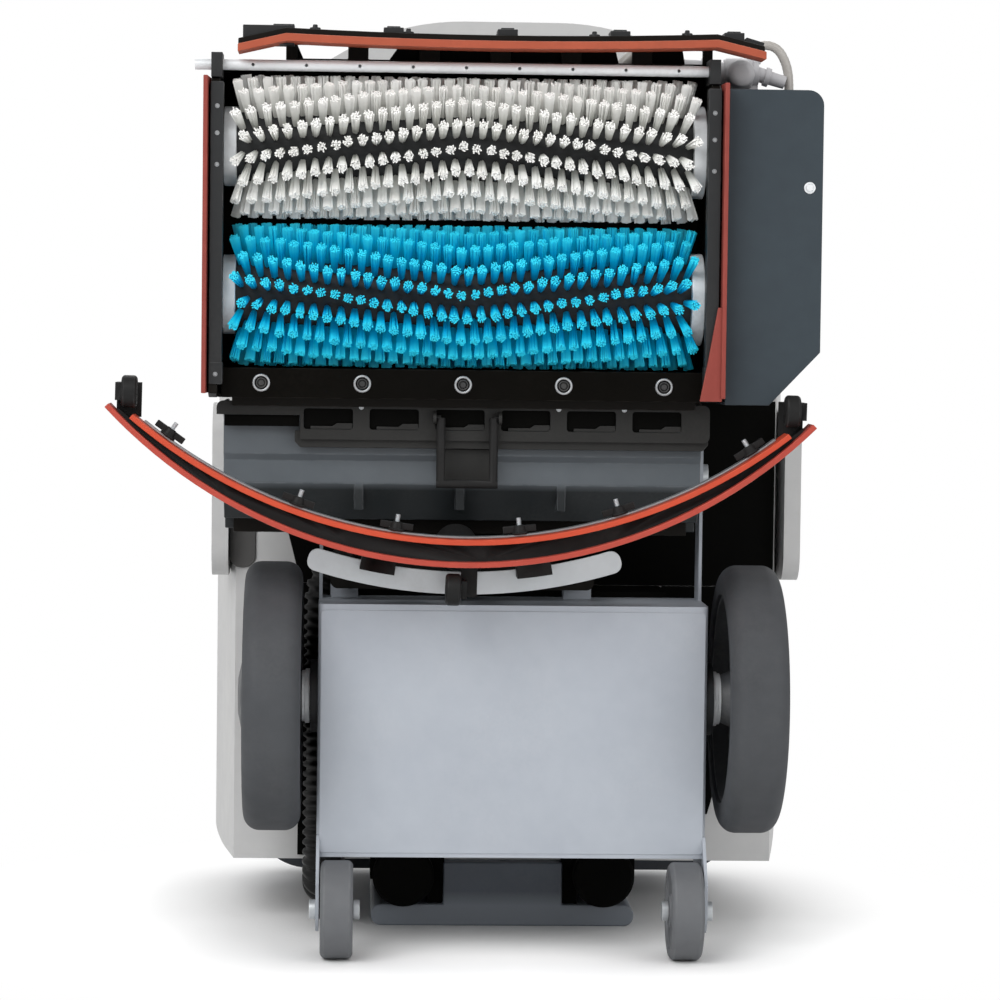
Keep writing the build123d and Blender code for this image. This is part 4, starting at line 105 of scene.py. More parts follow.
def linear(colour: Colour) -> tuple[float, float, float, float]:
    """Display colour, 0 to 255, as the linear colour that a socket takes.

    Args:
        colour: Red, green and blue as seen on a screen.

    Returns:
        Linear red, green, blue and full alpha.
    """
    parts = []
    for part in colour:
        share = part / 255
        parts.append(share / 12.92 if share <= 0.04045 else ((share + 0.055) / 1.055) ** 2.4)
    return (parts[0], parts[1], parts[2], 1.0)


class NodeBench:
    """Adds, sets and links nodes of one tree in few words."""

    def __init__(self, tree: NodeTree) -> None:
        """Start on a shader or geometry tree."""
        self.tree = tree

    def put(self, kind: str, inputs: dict | None = None, **settings: object) -> Node:
        """Add one node.

        Args:
            kind: Blender's type name of the node.
            inputs: Value or feeding socket for each input, by name or index.
            settings: Attributes of the node itself.

        Returns:
            The new node.
        """
        node = self.tree.nodes.new(kind)
        for name, value in settings.items():
            setattr(node, name, value)
        for key, value in (inputs or {}).items():
            self.feed(node.inputs[key], value)
        return node

    def feed(self, socket: NodeSocket, value: object) -> None:
        """Link a socket to another, or set its value.

        Args:
            socket: Input that is fed.
            value: An output socket, or a plain value.
        """
        if isinstance(value, NodeSocket):
            self.tree.links.new(value, socket)
        else:
            socket.default_value = value

    def math(self, work: str, *values: object) -> NodeSocket:
        """Result of one math operation on numbers or sockets."""
        return self.put("ShaderNodeMath", dict(enumerate(values)), operation=work).outputs[0]

    def product(self, first: object, *others: object) -> NodeSocket:
        """Product of several numbers or sockets.

        Args:
            first: The first factor.
            others: What it is multiplied by, in turn.

        Returns:
            Socket of the product.
        """
        for other in others:
            first = self.math("MULTIPLY", first, other)
        return first

    def vector(self, x: object = 0.0, y: object = 0.0, z: object = 0.0) -> NodeSocket:
        """Vector of three numbers or sockets."""
        return self.put("ShaderNodeCombineXYZ", {0: x, 1: y, 2: z}).outputs[0]

    def turn(self, x: object = 0.0, y: object = 0.0, z: object = 0.0) -> NodeSocket:
        """Rotation by three angles, numbers or sockets."""
        return self.put("FunctionNodeEulerToRotation", {0: self.vector(x, y, z)}).outputs[0]

    def noise(self, place: NodeSocket, scale: object, detail: float) -> NodeSocket:
        """Cloudy noise at a place."""
        inputs = {"Vector": place, "Scale": scale, "Detail": detail}
        return self.put("ShaderNodeTexNoise", inputs).outputs[0]

    def share(self, value: NodeSocket, low: float, high: float, **settings: object) -> NodeSocket:
        """How far a value has come from a low to a high one, from 0 to 1."""
        inputs = {"Value": value, "From Min": low, "From Max": high}
        return self.put("ShaderNodeMapRange", inputs, **settings).outputs[0]

    def mix(self, share: NodeSocket, first: object, second: object) -> NodeSocket:
        """Colour between two, by the share of the second."""
        return self.put("ShaderNodeMix", {0: share, 6: first, 7: second}, data_type="RGBA").outputs[2]

    def attribute(self, name: str) -> NodeSocket:
        """Number that the mesh keeps under a name."""
        return self.put("ShaderNodeAttribute", attribute_name=name).outputs["Fac"]

    def group(self, tree: NodeTree, **inputs: object) -> NodeSocket:
        """Result of a shader group that is given some of its inputs."""
        return self.put("ShaderNodeGroup", inputs, node_tree=tree).outputs[0]


class Relief(Enum):
    """Small relief of a finish."""

    GRAIN = auto()
    BRUSHED = auto()
    NONE = auto()


class Groups:
    """Shader node groups that several finishes share."""

    def __init__(self) -> None:
        """Build every group once."""
        self.mottle = self._mottle()
        self.edge_wear = self._edge_wear()
        self.dust = self._dust()
        self.relief = {Relief.GRAIN: self._grain(), Relief.BRUSHED: self._brushed()}

    @staticmethod
    def _start(name: str, result: str, **inputs: float) -> tuple[NodeBench, Node, Node]:
        """Empty group with a place, number inputs and one number as its result.

        Args:
            name: Name of the group.
            result: Name of its output.
            inputs: Default of each number input.

        Returns:
            The bench of its tree, its input node and its output node.
        """
        tree = bpy.data.node_groups.new(name, "ShaderNodeTree")
        tree.interface.new_socket("Vector", in_out="INPUT", socket_type="NodeSocketVector")
        for label, default in inputs.items():
            socket = tree.interface.new_socket(label, in_out="INPUT", socket_type="NodeSocketFloat")
            socket.default_value = default
        tree.interface.new_socket(result, in_out="OUTPUT", socket_type="NodeSocketFloat")
        bench = NodeBench(tree)
        return bench, bench.put("NodeGroupInput"), bench.put("NodeGroupOutput")

    def _mottle(self) -> NodeTree:
        """Slow cloudy variation of a surface, from 0 to 1.

        Returns:
            The group.
        """
        bench, given, out = self._start("Mottle", "Share", Scale=9.0)
        place, scale = given.outputs["Vector"], given.outputs["Scale"]
        broad = bench.noise(place, scale, detail=5.0)
        fine = bench.noise(place, bench.product(scale, 7.0), detail=3.0)
        both = bench.math("MULTIPLY_ADD", fine, 0.4, bench.product(broad, 0.6))
        bench.feed(out.inputs[0], bench.share(both, low=0.3, high=0.7))
        return bench.tree

    def _grain(self) -> NodeTree:
        """Fine moulded or cast grain as a height.

        Returns:
            The group.
        """
        bench, given, out = self._start("Moulded grain", "Height", Scale=900.0)
        place, scale = given.outputs["Vector"], given.outputs["Scale"]
        cells = bench.put("ShaderNodeTexVoronoi", {"Vector": place, "Scale": scale}).outputs[0]
        cloud = bench.noise(place, bench.product(scale, 0.35), detail=2.0)
        bench.feed(out.inputs[0], bench.math("MULTIPLY_ADD", cells, 0.6, bench.product(cloud, 0.8)))
        return bench.tree

    def _edge_wear(self) -> NodeTree:
        """Broken rubbing along edges, from the rounding's own attribute.

        Returns:
            The group.
        """
        bench, given, out = self._start("Edge wear", "Mask", Edge=0.0, Amount=0.5)
        chips = bench.noise(given.outputs["Vector"], 75.0, detail=6.0)
        chipped = bench.share(chips, low=0.42, high=0.62)
        mask = bench.product(given.outputs["Edge"], chipped, given.outputs["Amount"])
        bench.feed(out.inputs[0], mask)
        return bench.tree

    def _dust(self) -> NodeTree:
        """Dried splashes and dust that gather in patches.

        Returns:
            The group.
        """
        bench, given, out = self._start("Dust", "Mask", Scale=14.0, Amount=0.3)
        place, scale = given.outputs["Vector"], given.outputs["Scale"]
        patch = bench.share(bench.noise(place, scale, detail=8.0), low=0.45, high=0.75)
        specks = bench.noise(place, bench.product(scale, 22.0), detail=2.0)
        speck = bench.share(specks, low=0.35, high=0.75)
        bench.feed(out.inputs[0], bench.product(patch, speck, given.outputs["Amount"]))
        return bench.tree

    def _brushed(self) -> NodeTree:
        """Fine drawn lines along x as a height.

        Returns:
            The group.
        """
        bench, given, out = self._start("Brushed lines", "Height", Scale=700.0)
        drawn = {0: given.outputs["Vector"], 1: (0.03, 1.0, 1.0)}
        place = bench.put("ShaderNodeVectorMath", drawn, operation="MULTIPLY").outputs[0]
        bench.feed(out.inputs[0], bench.noise(place, given.outputs["Scale"], detail=3.0))
        return bench.tree


def start_material(name: str) -> tuple[Material, NodeBench, Node, NodeSocket]:
    """New material.

    Args:
        name: Name of the material.

    Returns:
        The material, the bench of its tree, its shader and the place on the surface.
    """
    material = bpy.data.materials.new(name)
    material.use_nodes = True
    bench = NodeBench(material.node_tree)
    place = bench.put("ShaderNodeTexCoord").outputs["Object"]
    return material, bench, material.node_tree.nodes["Principled BSDF"], place


@dataclass(frozen=True)
class Finish:
    """A procedural material: base colours, gloss, relief, worn edges and dust.

    Attributes:
        colour: Main colour on screen.
        tint: Second colour of the slow variation.
        roughness: Gloss of the clean surface.
        metallic: One for bare metal.
        relief: Kind of small relief.
        fineness: Fineness of that relief.
        depth: Its depth in millimetres.
        worn: Colour of rubbed edges.
        wear: How much the edges are rubbed.
        dusty: Colour of dust and dried splashes.
        dust: How much of it there is.
        specular: Strength of the plain reflection.
        band: Second colour and the places along the machine, in millimetres, where it is full and gone; on
            the tray it is painted shade.
    """

    GLOSS_SWING: ClassVar[float] = 0.14
    DUST_DULLING: ClassVar[float] = 0.3
    BUMP_STRENGTH: ClassVar[float] = 0.6

    colour: Colour
    tint: Colour
    roughness: float = 0.5
    metallic: float = 0.0
    relief: Relief = Relief.GRAIN
    fineness: float = 900.0
    depth: float = 0.05
    worn: Colour = (150, 150, 150)
    wear: float = 0.5
    dusty: Colour = (170, 165, 155)
    dust: float = 0.15
    specular: float = 0.5
    band: tuple[Colour, float, float] | None = None

    def make(self, name: str, groups: Groups) -> Material:
        """Build the material.

        Args:
            name: Name of the material.
            groups: Shared shader groups.

        Returns:
            The finished material.
        """
        material, bench, shader, place = start_material(name)
        shader.inputs["Metallic"].default_value = self.metallic
        shader.inputs["Specular IOR Level"].default_value = self.specular
        mottle = bench.group(groups.mottle, Vector=place)
        base = bench.mix(mottle, linear(self.colour), linear(self.tint))
        # A second colour that fades out along the machine; the tray's darker band is painted shade on its
        # lower slope
        if self.band is not None:
            colour, full, gone = self.band
            along = bench.put("ShaderNodeSeparateXYZ", {0: place}).outputs["Z"]
            limits = {"Value": along, "From Min": full * MM, "From Max": gone * MM,
                      "To Min": 1.0, "To Max": 0.0}
            fade = bench.put("ShaderNodeMapRange", limits).outputs[0]
            base = bench.mix(fade, base, linear(colour))
        edge = bench.attribute("wear")
        wear = bench.group(groups.edge_wear, Vector=place, Edge=edge, Amount=self.wear)
        base = bench.mix(wear, base, linear(self.worn))
        dust = bench.group(groups.dust, Vector=place, Amount=self.dust)
        bench.feed(shader.inputs["Base Color"], bench.mix(dust, base, linear(self.dusty)))
        lowest = self.roughness - self.GLOSS_SWING / 2
        gloss = bench.math("MULTIPLY_ADD", mottle, self.GLOSS_SWING, lowest)
        gloss = bench.math("MULTIPLY_ADD", dust, self.DUST_DULLING, gloss)
        bench.feed(shader.inputs["Roughness"], bench.math("MINIMUM", gloss, 1.0))
        if self.relief is not Relief.NONE:
            height = bench.group(groups.relief[self.relief], Vector=place, Scale=self.fineness)
            bump = {"Strength": self.BUMP_STRENGTH, "Distance": self.depth * MM, "Height": height}
            bench.feed(shader.inputs["Normal"], bench.put("ShaderNodeBump", bump).outputs[0])
        return material


@dataclass(frozen=True)
class BristleFinish:
    """Nylon filaments, darker at the foot as painted shade with some dirt, pale at the tips as a painted
    highlight, with some soil.

    Attributes:
        foot: Colour deep in the brush, darkened as painted shade with some dirt.
        middle: Colour of the filaments.
        tip: Colour of the cut tips, lightened as a painted highlight.
        soil: Colour of dirt that some tufts hold.
    """

    ROUGHNESS: ClassVar[float] = 0.5
    SPECULAR: ClassVar[float] = 0.2
    MIDDLE_REACH: ClassVar[float] = 0.6
    SOIL_SCALE: ClassVar[float] = 11.0
    SOIL_AMOUNT: ClassVar[float] = 0.35
    TUFT_SOIL: ClassVar[float] = 0.2

    foot: Colour
    middle: Colour
    tip: Colour
    soil: Colour

    def make(self, name: str, groups: Groups) -> Material:
        """Build the material.

        Args:
            name: Name of the material.
            groups: Shared shader groups.

        Returns:
            The finished material.
        """
        material, bench, shader, place = start_material(name)
        shader.inputs["Roughness"].default_value = self.ROUGHNESS
        shader.inputs["Specular IOR Level"].default_value = self.SPECULAR
        # Colour along each filament: painted shade with some dirt at the foot, painted highlight at the tip
        ramp = bench.put("ShaderNodeValToRGB", {0: bench.attribute("reach")})
        stops = ramp.color_ramp.elements
        stops[0].color = linear(self.foot)
        stops[1].color = linear(self.tip)
        stops.new(self.MIDDLE_REACH).color = linear(self.middle)
        dust = bench.group(groups.dust, Vector=place, Scale=self.SOIL_SCALE, Amount=self.SOIL_AMOUNT)
        soil = bench.math("MULTIPLY_ADD", bench.attribute("shade"), self.TUFT_SOIL, dust)
        bench.feed(shader.inputs["Base Color"], bench.mix(soil, ramp.outputs[0], linear(self.soil)))
        return material


FINISHES: dict[str, Finish | BristleFinish] = {
    "belly_paint": Finish(
        (176, 182, 190), (168, 174, 183), roughness=0.42, fineness=1500.0, depth=0.03,
        worn=(208, 211, 215), wear=0.6, dusty=(205, 205, 203), dust=0.12, specular=0.4),
    "bare_steel": Finish(
        (206, 210, 213), (190, 194, 197), roughness=0.36, metallic=0.55, relief=Relief.BRUSHED,
        fineness=700.0, depth=0.02, worn=(228, 228, 228), dusty=(160, 156, 148)),
    "bright_hub": Finish(
        (236, 239, 241), (222, 225, 228), roughness=0.34, metallic=0.2, fineness=800.0, depth=0.02,
        worn=(236, 236, 236), dusty=(150, 144, 136), dust=0.25),
    "dull_alloy": Finish(
        (176, 178, 180), (150, 152, 154), roughness=0.42, metallic=0.7, fineness=800.0, depth=0.03,
        worn=(214, 214, 214), dusty=(120, 112, 104), dust=0.2),
    "dark_steel": Finish(
        (70, 70, 70), (52, 52, 52), roughness=0.4, metallic=0.6, fineness=800.0, depth=0.03),
    "tyre_rubber": Finish(
        (76, 78, 81), (68, 70, 73), roughness=0.66, fineness=700.0, depth=0.08,
        worn=(96, 97, 99), dusty=(106, 105, 103), dust=0.18, specular=0.2),
    "hub_plastic": Finish((84, 86, 89), (72, 74, 77), depth=0.04),
    "roller_rubber": Finish(
        (106, 108, 111), (97, 99, 102), roughness=0.62, fineness=800.0, depth=0.06,
        worn=(125, 126, 128), wear=0.4, dusty=(132, 131, 128), specular=0.35),
    "body_shell": Finish(
        (206, 206, 205), (198, 198, 198), roughness=0.52, fineness=700.0,
        worn=(222, 222, 222), wear=0.3, dusty=(182, 180, 174), dust=0.1),
    "body_trim": Finish((150, 152, 155), (141, 143, 146), fineness=800.0),
    "tank_shell": Finish(
        (78, 82, 88), (70, 74, 80), fineness=700.0,
        worn=(112, 115, 120), wear=0.3, dusty=(126, 124, 120), dust=0.1, specular=0.3),
    "cover_shell": Finish(
        (57, 66, 72), (51, 59, 65), roughness=0.46, fineness=1100.0, depth=0.04,
        worn=(92, 99, 105), wear=0.35, dusty=(88, 92, 95), dust=0.06, specular=0.2),
    "black_coat": Finish(
        (20, 18, 16), (26, 24, 21), roughness=0.46,
        worn=(72, 71, 70), wear=0.4, dusty=(52, 47, 40), dust=0.16, specular=0.08),
    "strip_coat": Finish(
        (6, 5, 3), (10, 8, 6), roughness=0.42,
        worn=(58, 56, 52), wear=0.35, dusty=(34, 30, 24), dust=0.14, specular=0.05),
    # Matt black of the drain caps; the same black is put in as painted shade under the tank, in the tray's
    # slots, behind the skirt's windows and beside the drains
    "matt_black_and_painted_shade": Finish(
        (9, 9, 8), (13, 13, 12), roughness=0.75, fineness=600.0, depth=0.06,
        worn=(30, 30, 30), wear=0.3, dusty=(28, 26, 23), dust=0.2, specular=0.03),
    "black_moulding": Finish(
        (28, 28, 28), (36, 36, 36), roughness=0.46,
        worn=(80, 80, 80), wear=0.4, dusty=(72, 70, 66), specular=0.13),
    "wall_moulding": Finish(
        (46, 47, 48), (39, 40, 41), roughness=0.46,
        worn=(86, 87, 89), wear=0.4, dusty=(80, 78, 75), specular=0.18),
    "rim_moulding": Finish(
        (45, 45, 44), (39, 39, 38), roughness=0.48,
        worn=(88, 88, 87), wear=0.4, dusty=(74, 72, 68), specular=0.2),
    # Grey that stands for the shade on the wheel well's wall: painted shade
    "well_painted_shade_grey": Finish(
        (92, 91, 90), (84, 83, 82), roughness=0.55,
        worn=(90, 90, 90), wear=0.3, dusty=(90, 88, 84), dust=0.1, specular=0.2),
    "bumper_moulding": Finish(
        (84, 90, 99), (78, 84, 93), roughness=0.48,
        worn=(120, 124, 130), wear=0.4, dusty=(128, 127, 125), dust=0.1, specular=0.4,
        band=((122, 128, 136), 20.0, 34.0)),
    # The tray's darker band on its lower slope is painted shade
    "tray_moulding": Finish(
        (94, 100, 105), (86, 92, 97), roughness=0.46, fineness=800.0,
        worn=(126, 130, 134), wear=0.35, dusty=(104, 102, 98), specular=0.3,
        band=((34, 38, 40), 431.0, 439.0)),
    "skirt_rubber": Finish(
        (146, 66, 58), (130, 58, 50), roughness=0.6, fineness=600.0, depth=0.08,
        worn=(174, 96, 82), dusty=(108, 58, 48), dust=0.25, specular=0.25),
    "blade_rubber": Finish(
        (202, 78, 50), (186, 68, 44), fineness=600.0,
        worn=(222, 116, 88), dusty=(148, 66, 48), dust=0.25, specular=0.25),
    "rear_blade_rubber": Finish(
        (182, 74, 60), (164, 64, 52), roughness=0.52, fineness=600.0,
        worn=(206, 114, 98), dusty=(134, 64, 52), dust=0.25, specular=0.25),
    "front_blade_rubber": Finish(
        (172, 84, 60), (154, 74, 52), roughness=0.54, fineness=600.0, depth=0.06,
        worn=(198, 120, 94), dusty=(120, 68, 52), dust=0.3, specular=0.22),
    "hose_rubber": Finish(
        (20, 20, 20), (28, 28, 28), roughness=0.42,
        worn=(62, 62, 62), wear=0.4, dusty=(62, 60, 56), specular=0.2),
    "clear_hose": Finish((182, 178, 173), (164, 160, 155), roughness=0.25, relief=Relief.NONE),
    "valve_plastic": Finish((202, 201, 203), (184, 183, 186), roughness=0.38, depth=0.04),
    "stop_red": Finish((196, 32, 28), (178, 26, 24), roughness=0.32, fineness=1200.0, depth=0.02),
    "glass_dark": Finish((16, 22, 26), (12, 17, 20), roughness=0.12, relief=Relief.NONE),
    "motor_paint": Finish(
        (40, 41, 43), (32, 33, 35), roughness=0.45, fineness=700.0, depth=0.06,
        worn=(90, 90, 90), wear=0.4, dusty=(70, 68, 64), specular=0.2),
    # Feet darkened as painted shade with some dirt, tips lightened as a painted highlight
    "white_bristle": BristleFinish(
        foot=(190, 191, 186), middle=(252, 253, 250), tip=(255, 255, 253), soil=(226, 224, 216)),
    "blue_bristle": BristleFinish(
        foot=(0, 150, 186), middle=(0, 208, 248), tip=(56, 228, 252), soil=(0, 178, 220)),
}


@dataclass(frozen=True)
class Dress:
    """How one CAD node or new piece is finished.

    Attributes:
        finish: Name of its finish.
        slot: The record's material slot.
        edge: Rounding of its sharp edges in millimetres.
    """

    finish: str
    slot: str
    edge: float = 0.8


class GeometryRecipe:
    """A Geometry Nodes tree with named inputs, run once to make a plain mesh."""

    def __init__(self, name: str, inputs: dict[str, str]) -> None:
        """Start the tree.

        Args:
            name: Name of the tree.
            inputs: Kind of each named input.
        """
        self.tree = bpy.data.node_groups.new(name, "GeometryNodeTree")
        sockets = self.tree.interface
        for label, kind in {"Geometry": "Geometry", **inputs}.items():
            sockets.new_socket(label, in_out="INPUT", socket_type=f"NodeSocket{kind}")
        sockets.new_socket("Geometry", in_out="OUTPUT", socket_type="NodeSocketGeometry")
        self.bench = NodeBench(self.tree)
        self.given = self.bench.put("NodeGroupInput").outputs
        self.out = self.bench.put("NodeGroupOutput")

    def close(self, geometry: NodeSocket) -> None:
        """End the tree: real geometry with the given material.

        Args:
            geometry: Socket of the geometry made so far.
        """
        real = self.bench.put("GeometryNodeRealizeInstances", {0: geometry}).outputs[0]
        paint = {"Geometry": real, "Material": self.given["Material"]}
        self.bench.feed(self.out.inputs[0], self.bench.put("GeometryNodeSetMaterial", paint).outputs[0])

    def run(self, shop: Workshop, name: str, start: bpy.types.ID | None, values: dict[str, object]) -> Object:
        """Make a piece with the tree.

        Args:
            shop: Workshop that holds the scene's work.
            name: Name of the piece.
            start: Mesh or curve that the tree starts from, if any.
            values: Value of each named input.

        Returns:
            The piece as a plain mesh.
        """
        base = bpy.data.objects.new(f"{name}_base", start or bpy.data.meshes.new(f"{name}_base"))
        bpy.context.scene.collection.objects.link(base)
        modifier = base.modifiers.new("Recipe", "NODES")
        modifier.node_group = self.tree
        sockets = {item.name: item.identifier for item in self.tree.interface.items_tree
                   if item.in_out == "INPUT"}
        for label, value in values.items():
            modifier[sockets[label]] = value
        graph = bpy.context.evaluated_depsgraph_get()
        mesh = bpy.data.meshes.new_from_object(base.evaluated_get(graph))
        bpy.data.objects.remove(base)
        return shop.piece(name, mesh)


class TuftRecipe(GeometryRecipe):
    """Brush roller: rows of flared filament tufts that run in a chevron."""

    VARIANTS = 4
    VARIANT_SALT = 20
    GOLDEN_ANGLE = 2.39996
    END_POWER = 7.0
    # How far a tuft strays: along the roller in metres, then round it, in tilt and in its fan in radians
    SHIFT = 0.0004
    TURN_SHAKE = 0.008
    TILT_SHAKE = 0.02
    FAN_TURN = 0.9
    # Shares of the full length of tufts and strands, and of the full splay
    SHORTEST_TUFT = 0.975
    SHORT_STRAND, LONG_STRAND = 0.955, 0.998
    LEAST_FAN, MOST_FAN = 0.55, 1.3

    def __init__(self) -> None:
        """Build the tree."""
        super().__init__("Tufted roller", {
            "Rows": "Int", "Tufts": "Int", "Length": "Float", "Foot radius": "Float", "Tip radius": "Float",
            "Twist": "Float", "End lean": "Float", "Filaments": "Int", "Filament": "Float", "Spread": "Float",
            "Splay": "Float", "Seed": "Int", "Material": "Material"})
        bench, given = self.bench, self.given
        tall = bench.math("SUBTRACT", given["Tip radius"], given["Foot radius"])
        kinds = bench.put("GeometryNodeJoinGeometry")
        for variant in range(self.VARIANTS):
            tuft = bench.put("GeometryNodeGeometryToInstance", {0: self._tuft(variant, tall)})
            bench.feed(kinds.inputs[0], tuft.outputs[0])
        points = bench.put("GeometryNodePoints", {"Count": bench.product(given["Rows"], given["Tufts"])})
        row, share = self._grid()
        turn = self._turn(row, share)
        along = bench.math("MULTIPLY_ADD", self._random(0, -1.0, 1.0), self.SHIFT,
                           bench.product(share, given["Length"]))
        foot_y = bench.product(bench.math("COSINE", turn), given["Foot radius"])
        foot_z = bench.product(bench.math("SINE", turn), given["Foot radius"])
        spots = {"Geometry": points.outputs[0], "Position": bench.vector(along, foot_y, foot_z)}
        placed = bench.put("GeometryNodeSetPosition", spots)
        last = {"Seed": bench.math("ADD", given["Seed"], 6.0), 4: 0, 5: self.VARIANTS - 1}
        pick = bench.put("FunctionNodeRandomValue", last, data_type="INT")
        tufts = bench.put("GeometryNodeInstanceOnPoints", {
            "Points": placed.outputs[0], "Instance": kinds.outputs[0], "Pick Instance": True,
            "Instance Index": pick.outputs[2], "Rotation": self._stance(share, turn),
            "Scale": bench.vector(1.0, 1.0, self._random(5, self.SHORTEST_TUFT, 1.0))})
        shade = {"Geometry": tufts.outputs[0], "Name": "shade", "Value": self._random(7, 0.0, 1.0)}
        shaded = bench.put("GeometryNodeStoreNamedAttribute", shade, data_type="FLOAT", domain="INSTANCE")
        self.close(shaded.outputs[0])

    def _random(self, salt: int, low: float, high: float) -> NodeSocket:
        """Random number, between a low and a high one, of the element at hand."""
        limits = {"Seed": self.bench.math("ADD", self.given["Seed"], float(salt)), 2: low, 3: high}
        return self.bench.put("FunctionNodeRandomValue", limits, data_type="FLOAT").outputs[1]

    def _grid(self) -> tuple[NodeSocket, NodeSocket]:
        """Places of the tufts, each second row half a step aside.

        Returns:
            Number of a tuft's row, and its share of the length from the middle.
        """
        bench, given = self.bench, self.given
        index = bench.put("GeometryNodeInputIndex").outputs[0]
        row = bench.math("FLOOR", bench.math("DIVIDE", bench.math("ADD", index, 0.5), given["Tufts"]))
        column = bench.math("SUBTRACT", index, bench.product(row, given["Tufts"]))
        aside = bench.product(bench.math("MODULO", row, 2.0), 0.5)
        last = bench.math("SUBTRACT", given["Tufts"], 0.5)
        done = bench.math("DIVIDE", bench.math("ADD", column, aside), last)
        return row, bench.math("SUBTRACT", done, 0.5)

    def _turn(self, row: NodeSocket, share: NodeSocket) -> NodeSocket:
        """Angle of a tuft round the roller.

        Args:
            row: Number of its row.
            share: Its share of the length from the middle.

        Returns:
            Socket of the angle.
        """
        bench, given = self.bench, self.given
        lap = bench.product(bench.math("DIVIDE", row, given["Rows"]), 2 * pi)
        chevron = bench.product(bench.math("ABSOLUTE", share), 2.0, given["Twist"])
        shake = self._random(1, -self.TURN_SHAKE, self.TURN_SHAKE)
        return bench.math("ADD", bench.math("ADD", lap, chevron), shake)

    def _stance(self, share: NodeSocket, turn: NodeSocket) -> NodeSocket:
        """Rotation of a tuft: outward, leaning at the ends, and a little askew.

        Args:
            share: Its share of the length from the middle.
            turn: Its angle round the roller.

        Returns:
            Socket of the rotation.
        """
        bench = self.bench
        end = bench.product(share, 2.0)
        bent = bench.math("POWER", bench.math("ABSOLUTE", end), self.END_POWER)
        lean = bench.turn(y=bench.product(end, bent, self.given["End lean"]))
        tilt_x = self._random(2, -self.TILT_SHAKE, self.TILT_SHAKE)
        tilt_y = self._random(3, -self.TILT_SHAKE, self.TILT_SHAKE)
        askew = bench.turn(tilt_x, tilt_y, self._random(4, 0.0, 2 * pi))
        stance = bench.turn(x=bench.math("SUBTRACT", turn, pi / 2))
        for step in (lean, askew):
            both = {0: stance, 1: step}
            stance = bench.put("FunctionNodeRotateRotation", both, rotation_space="LOCAL").outputs[0]
        return stance

    def _tuft(self, variant: int, tall: NodeSocket) -> NodeSocket:
        """One tuft: filaments that fan out from a small round foot.

        Args:
            variant: Number of the tuft's kind.
            tall: Length of the filaments.

        Returns:
            Socket of its geometry.
        """
        bench, given = self.bench, self.given
        salt = self.VARIANT_SALT + 10 * variant
        dots = bench.put("GeometryNodePoints", {"Count": given["Filaments"]})
        index = bench.put("GeometryNodeInputIndex").outputs[0]
        share = bench.math("SQRT", bench.math("DIVIDE", bench.math("ADD", index, 0.5), given["Filaments"]))
        angle = bench.math("MULTIPLY_ADD", index, self.GOLDEN_ANGLE, self._random(salt, 0.0, self.FAN_TURN))
        side_x, side_y = bench.math("COSINE", angle), bench.math("SINE", angle)
        out = bench.product(share, given["Spread"])
        spot = bench.vector(bench.product(side_x, out), bench.product(side_y, out))
        placed = bench.put("GeometryNodeSetPosition", {"Geometry": dots.outputs[0], "Position": spot})
        axis = bench.vector(bench.product(side_y, -1.0), side_x)
        fan = bench.product(share, given["Splay"], self._random(salt + 1, self.LEAST_FAN, self.MOST_FAN))
        lean = bench.put("FunctionNodeAxisAngleToRotation", {0: axis, 1: fan})
        strand = bench.put("GeometryNodeMeshCone", {
            "Vertices": 3, "Side Segments": 1, "Fill Segments": 1, "Radius Top": given["Filament"],
            "Radius Bottom": given["Filament"], "Depth": tall}, fill_type="NGON")
        position = bench.put("GeometryNodeInputPosition").outputs[0]
        height = bench.put("ShaderNodeSeparateXYZ", {0: position}).outputs["Z"]
        reach = {"Geometry": strand.outputs[0], "Name": "reach", "Value": bench.math("DIVIDE", height, tall)}
        reached = bench.put("GeometryNodeStoreNamedAttribute", reach, data_type="FLOAT", domain="POINT")
        length = self._random(salt + 2, self.SHORT_STRAND, self.LONG_STRAND)
        strands = bench.put("GeometryNodeInstanceOnPoints", {
            "Points": placed.outputs[0], "Instance": reached.outputs[0], "Rotation": lean.outputs[0],
            "Scale": bench.vector(1.0, 1.0, length)})
        return bench.put("GeometryNodeRealizeInstances", {0: strands.outputs[0]}).outputs[0]


@dataclass(frozen=True)
class Tube:
    """Sizes of a ribbed tube, in millimetres, and its finish.

    Attributes:
        radius: Radius over the ribs.
        rib: Depth of the ribs.
        pitch: Distance from rib to rib.
        step: Length of one ring of faces.
        sides: Number of sides round the tube.
        finish: Name of its finish.
    """

    radius: float
    rib: float
    pitch: float
    step: float = 1.6
    sides: int = 28
    finish: str = "hose_rubber"


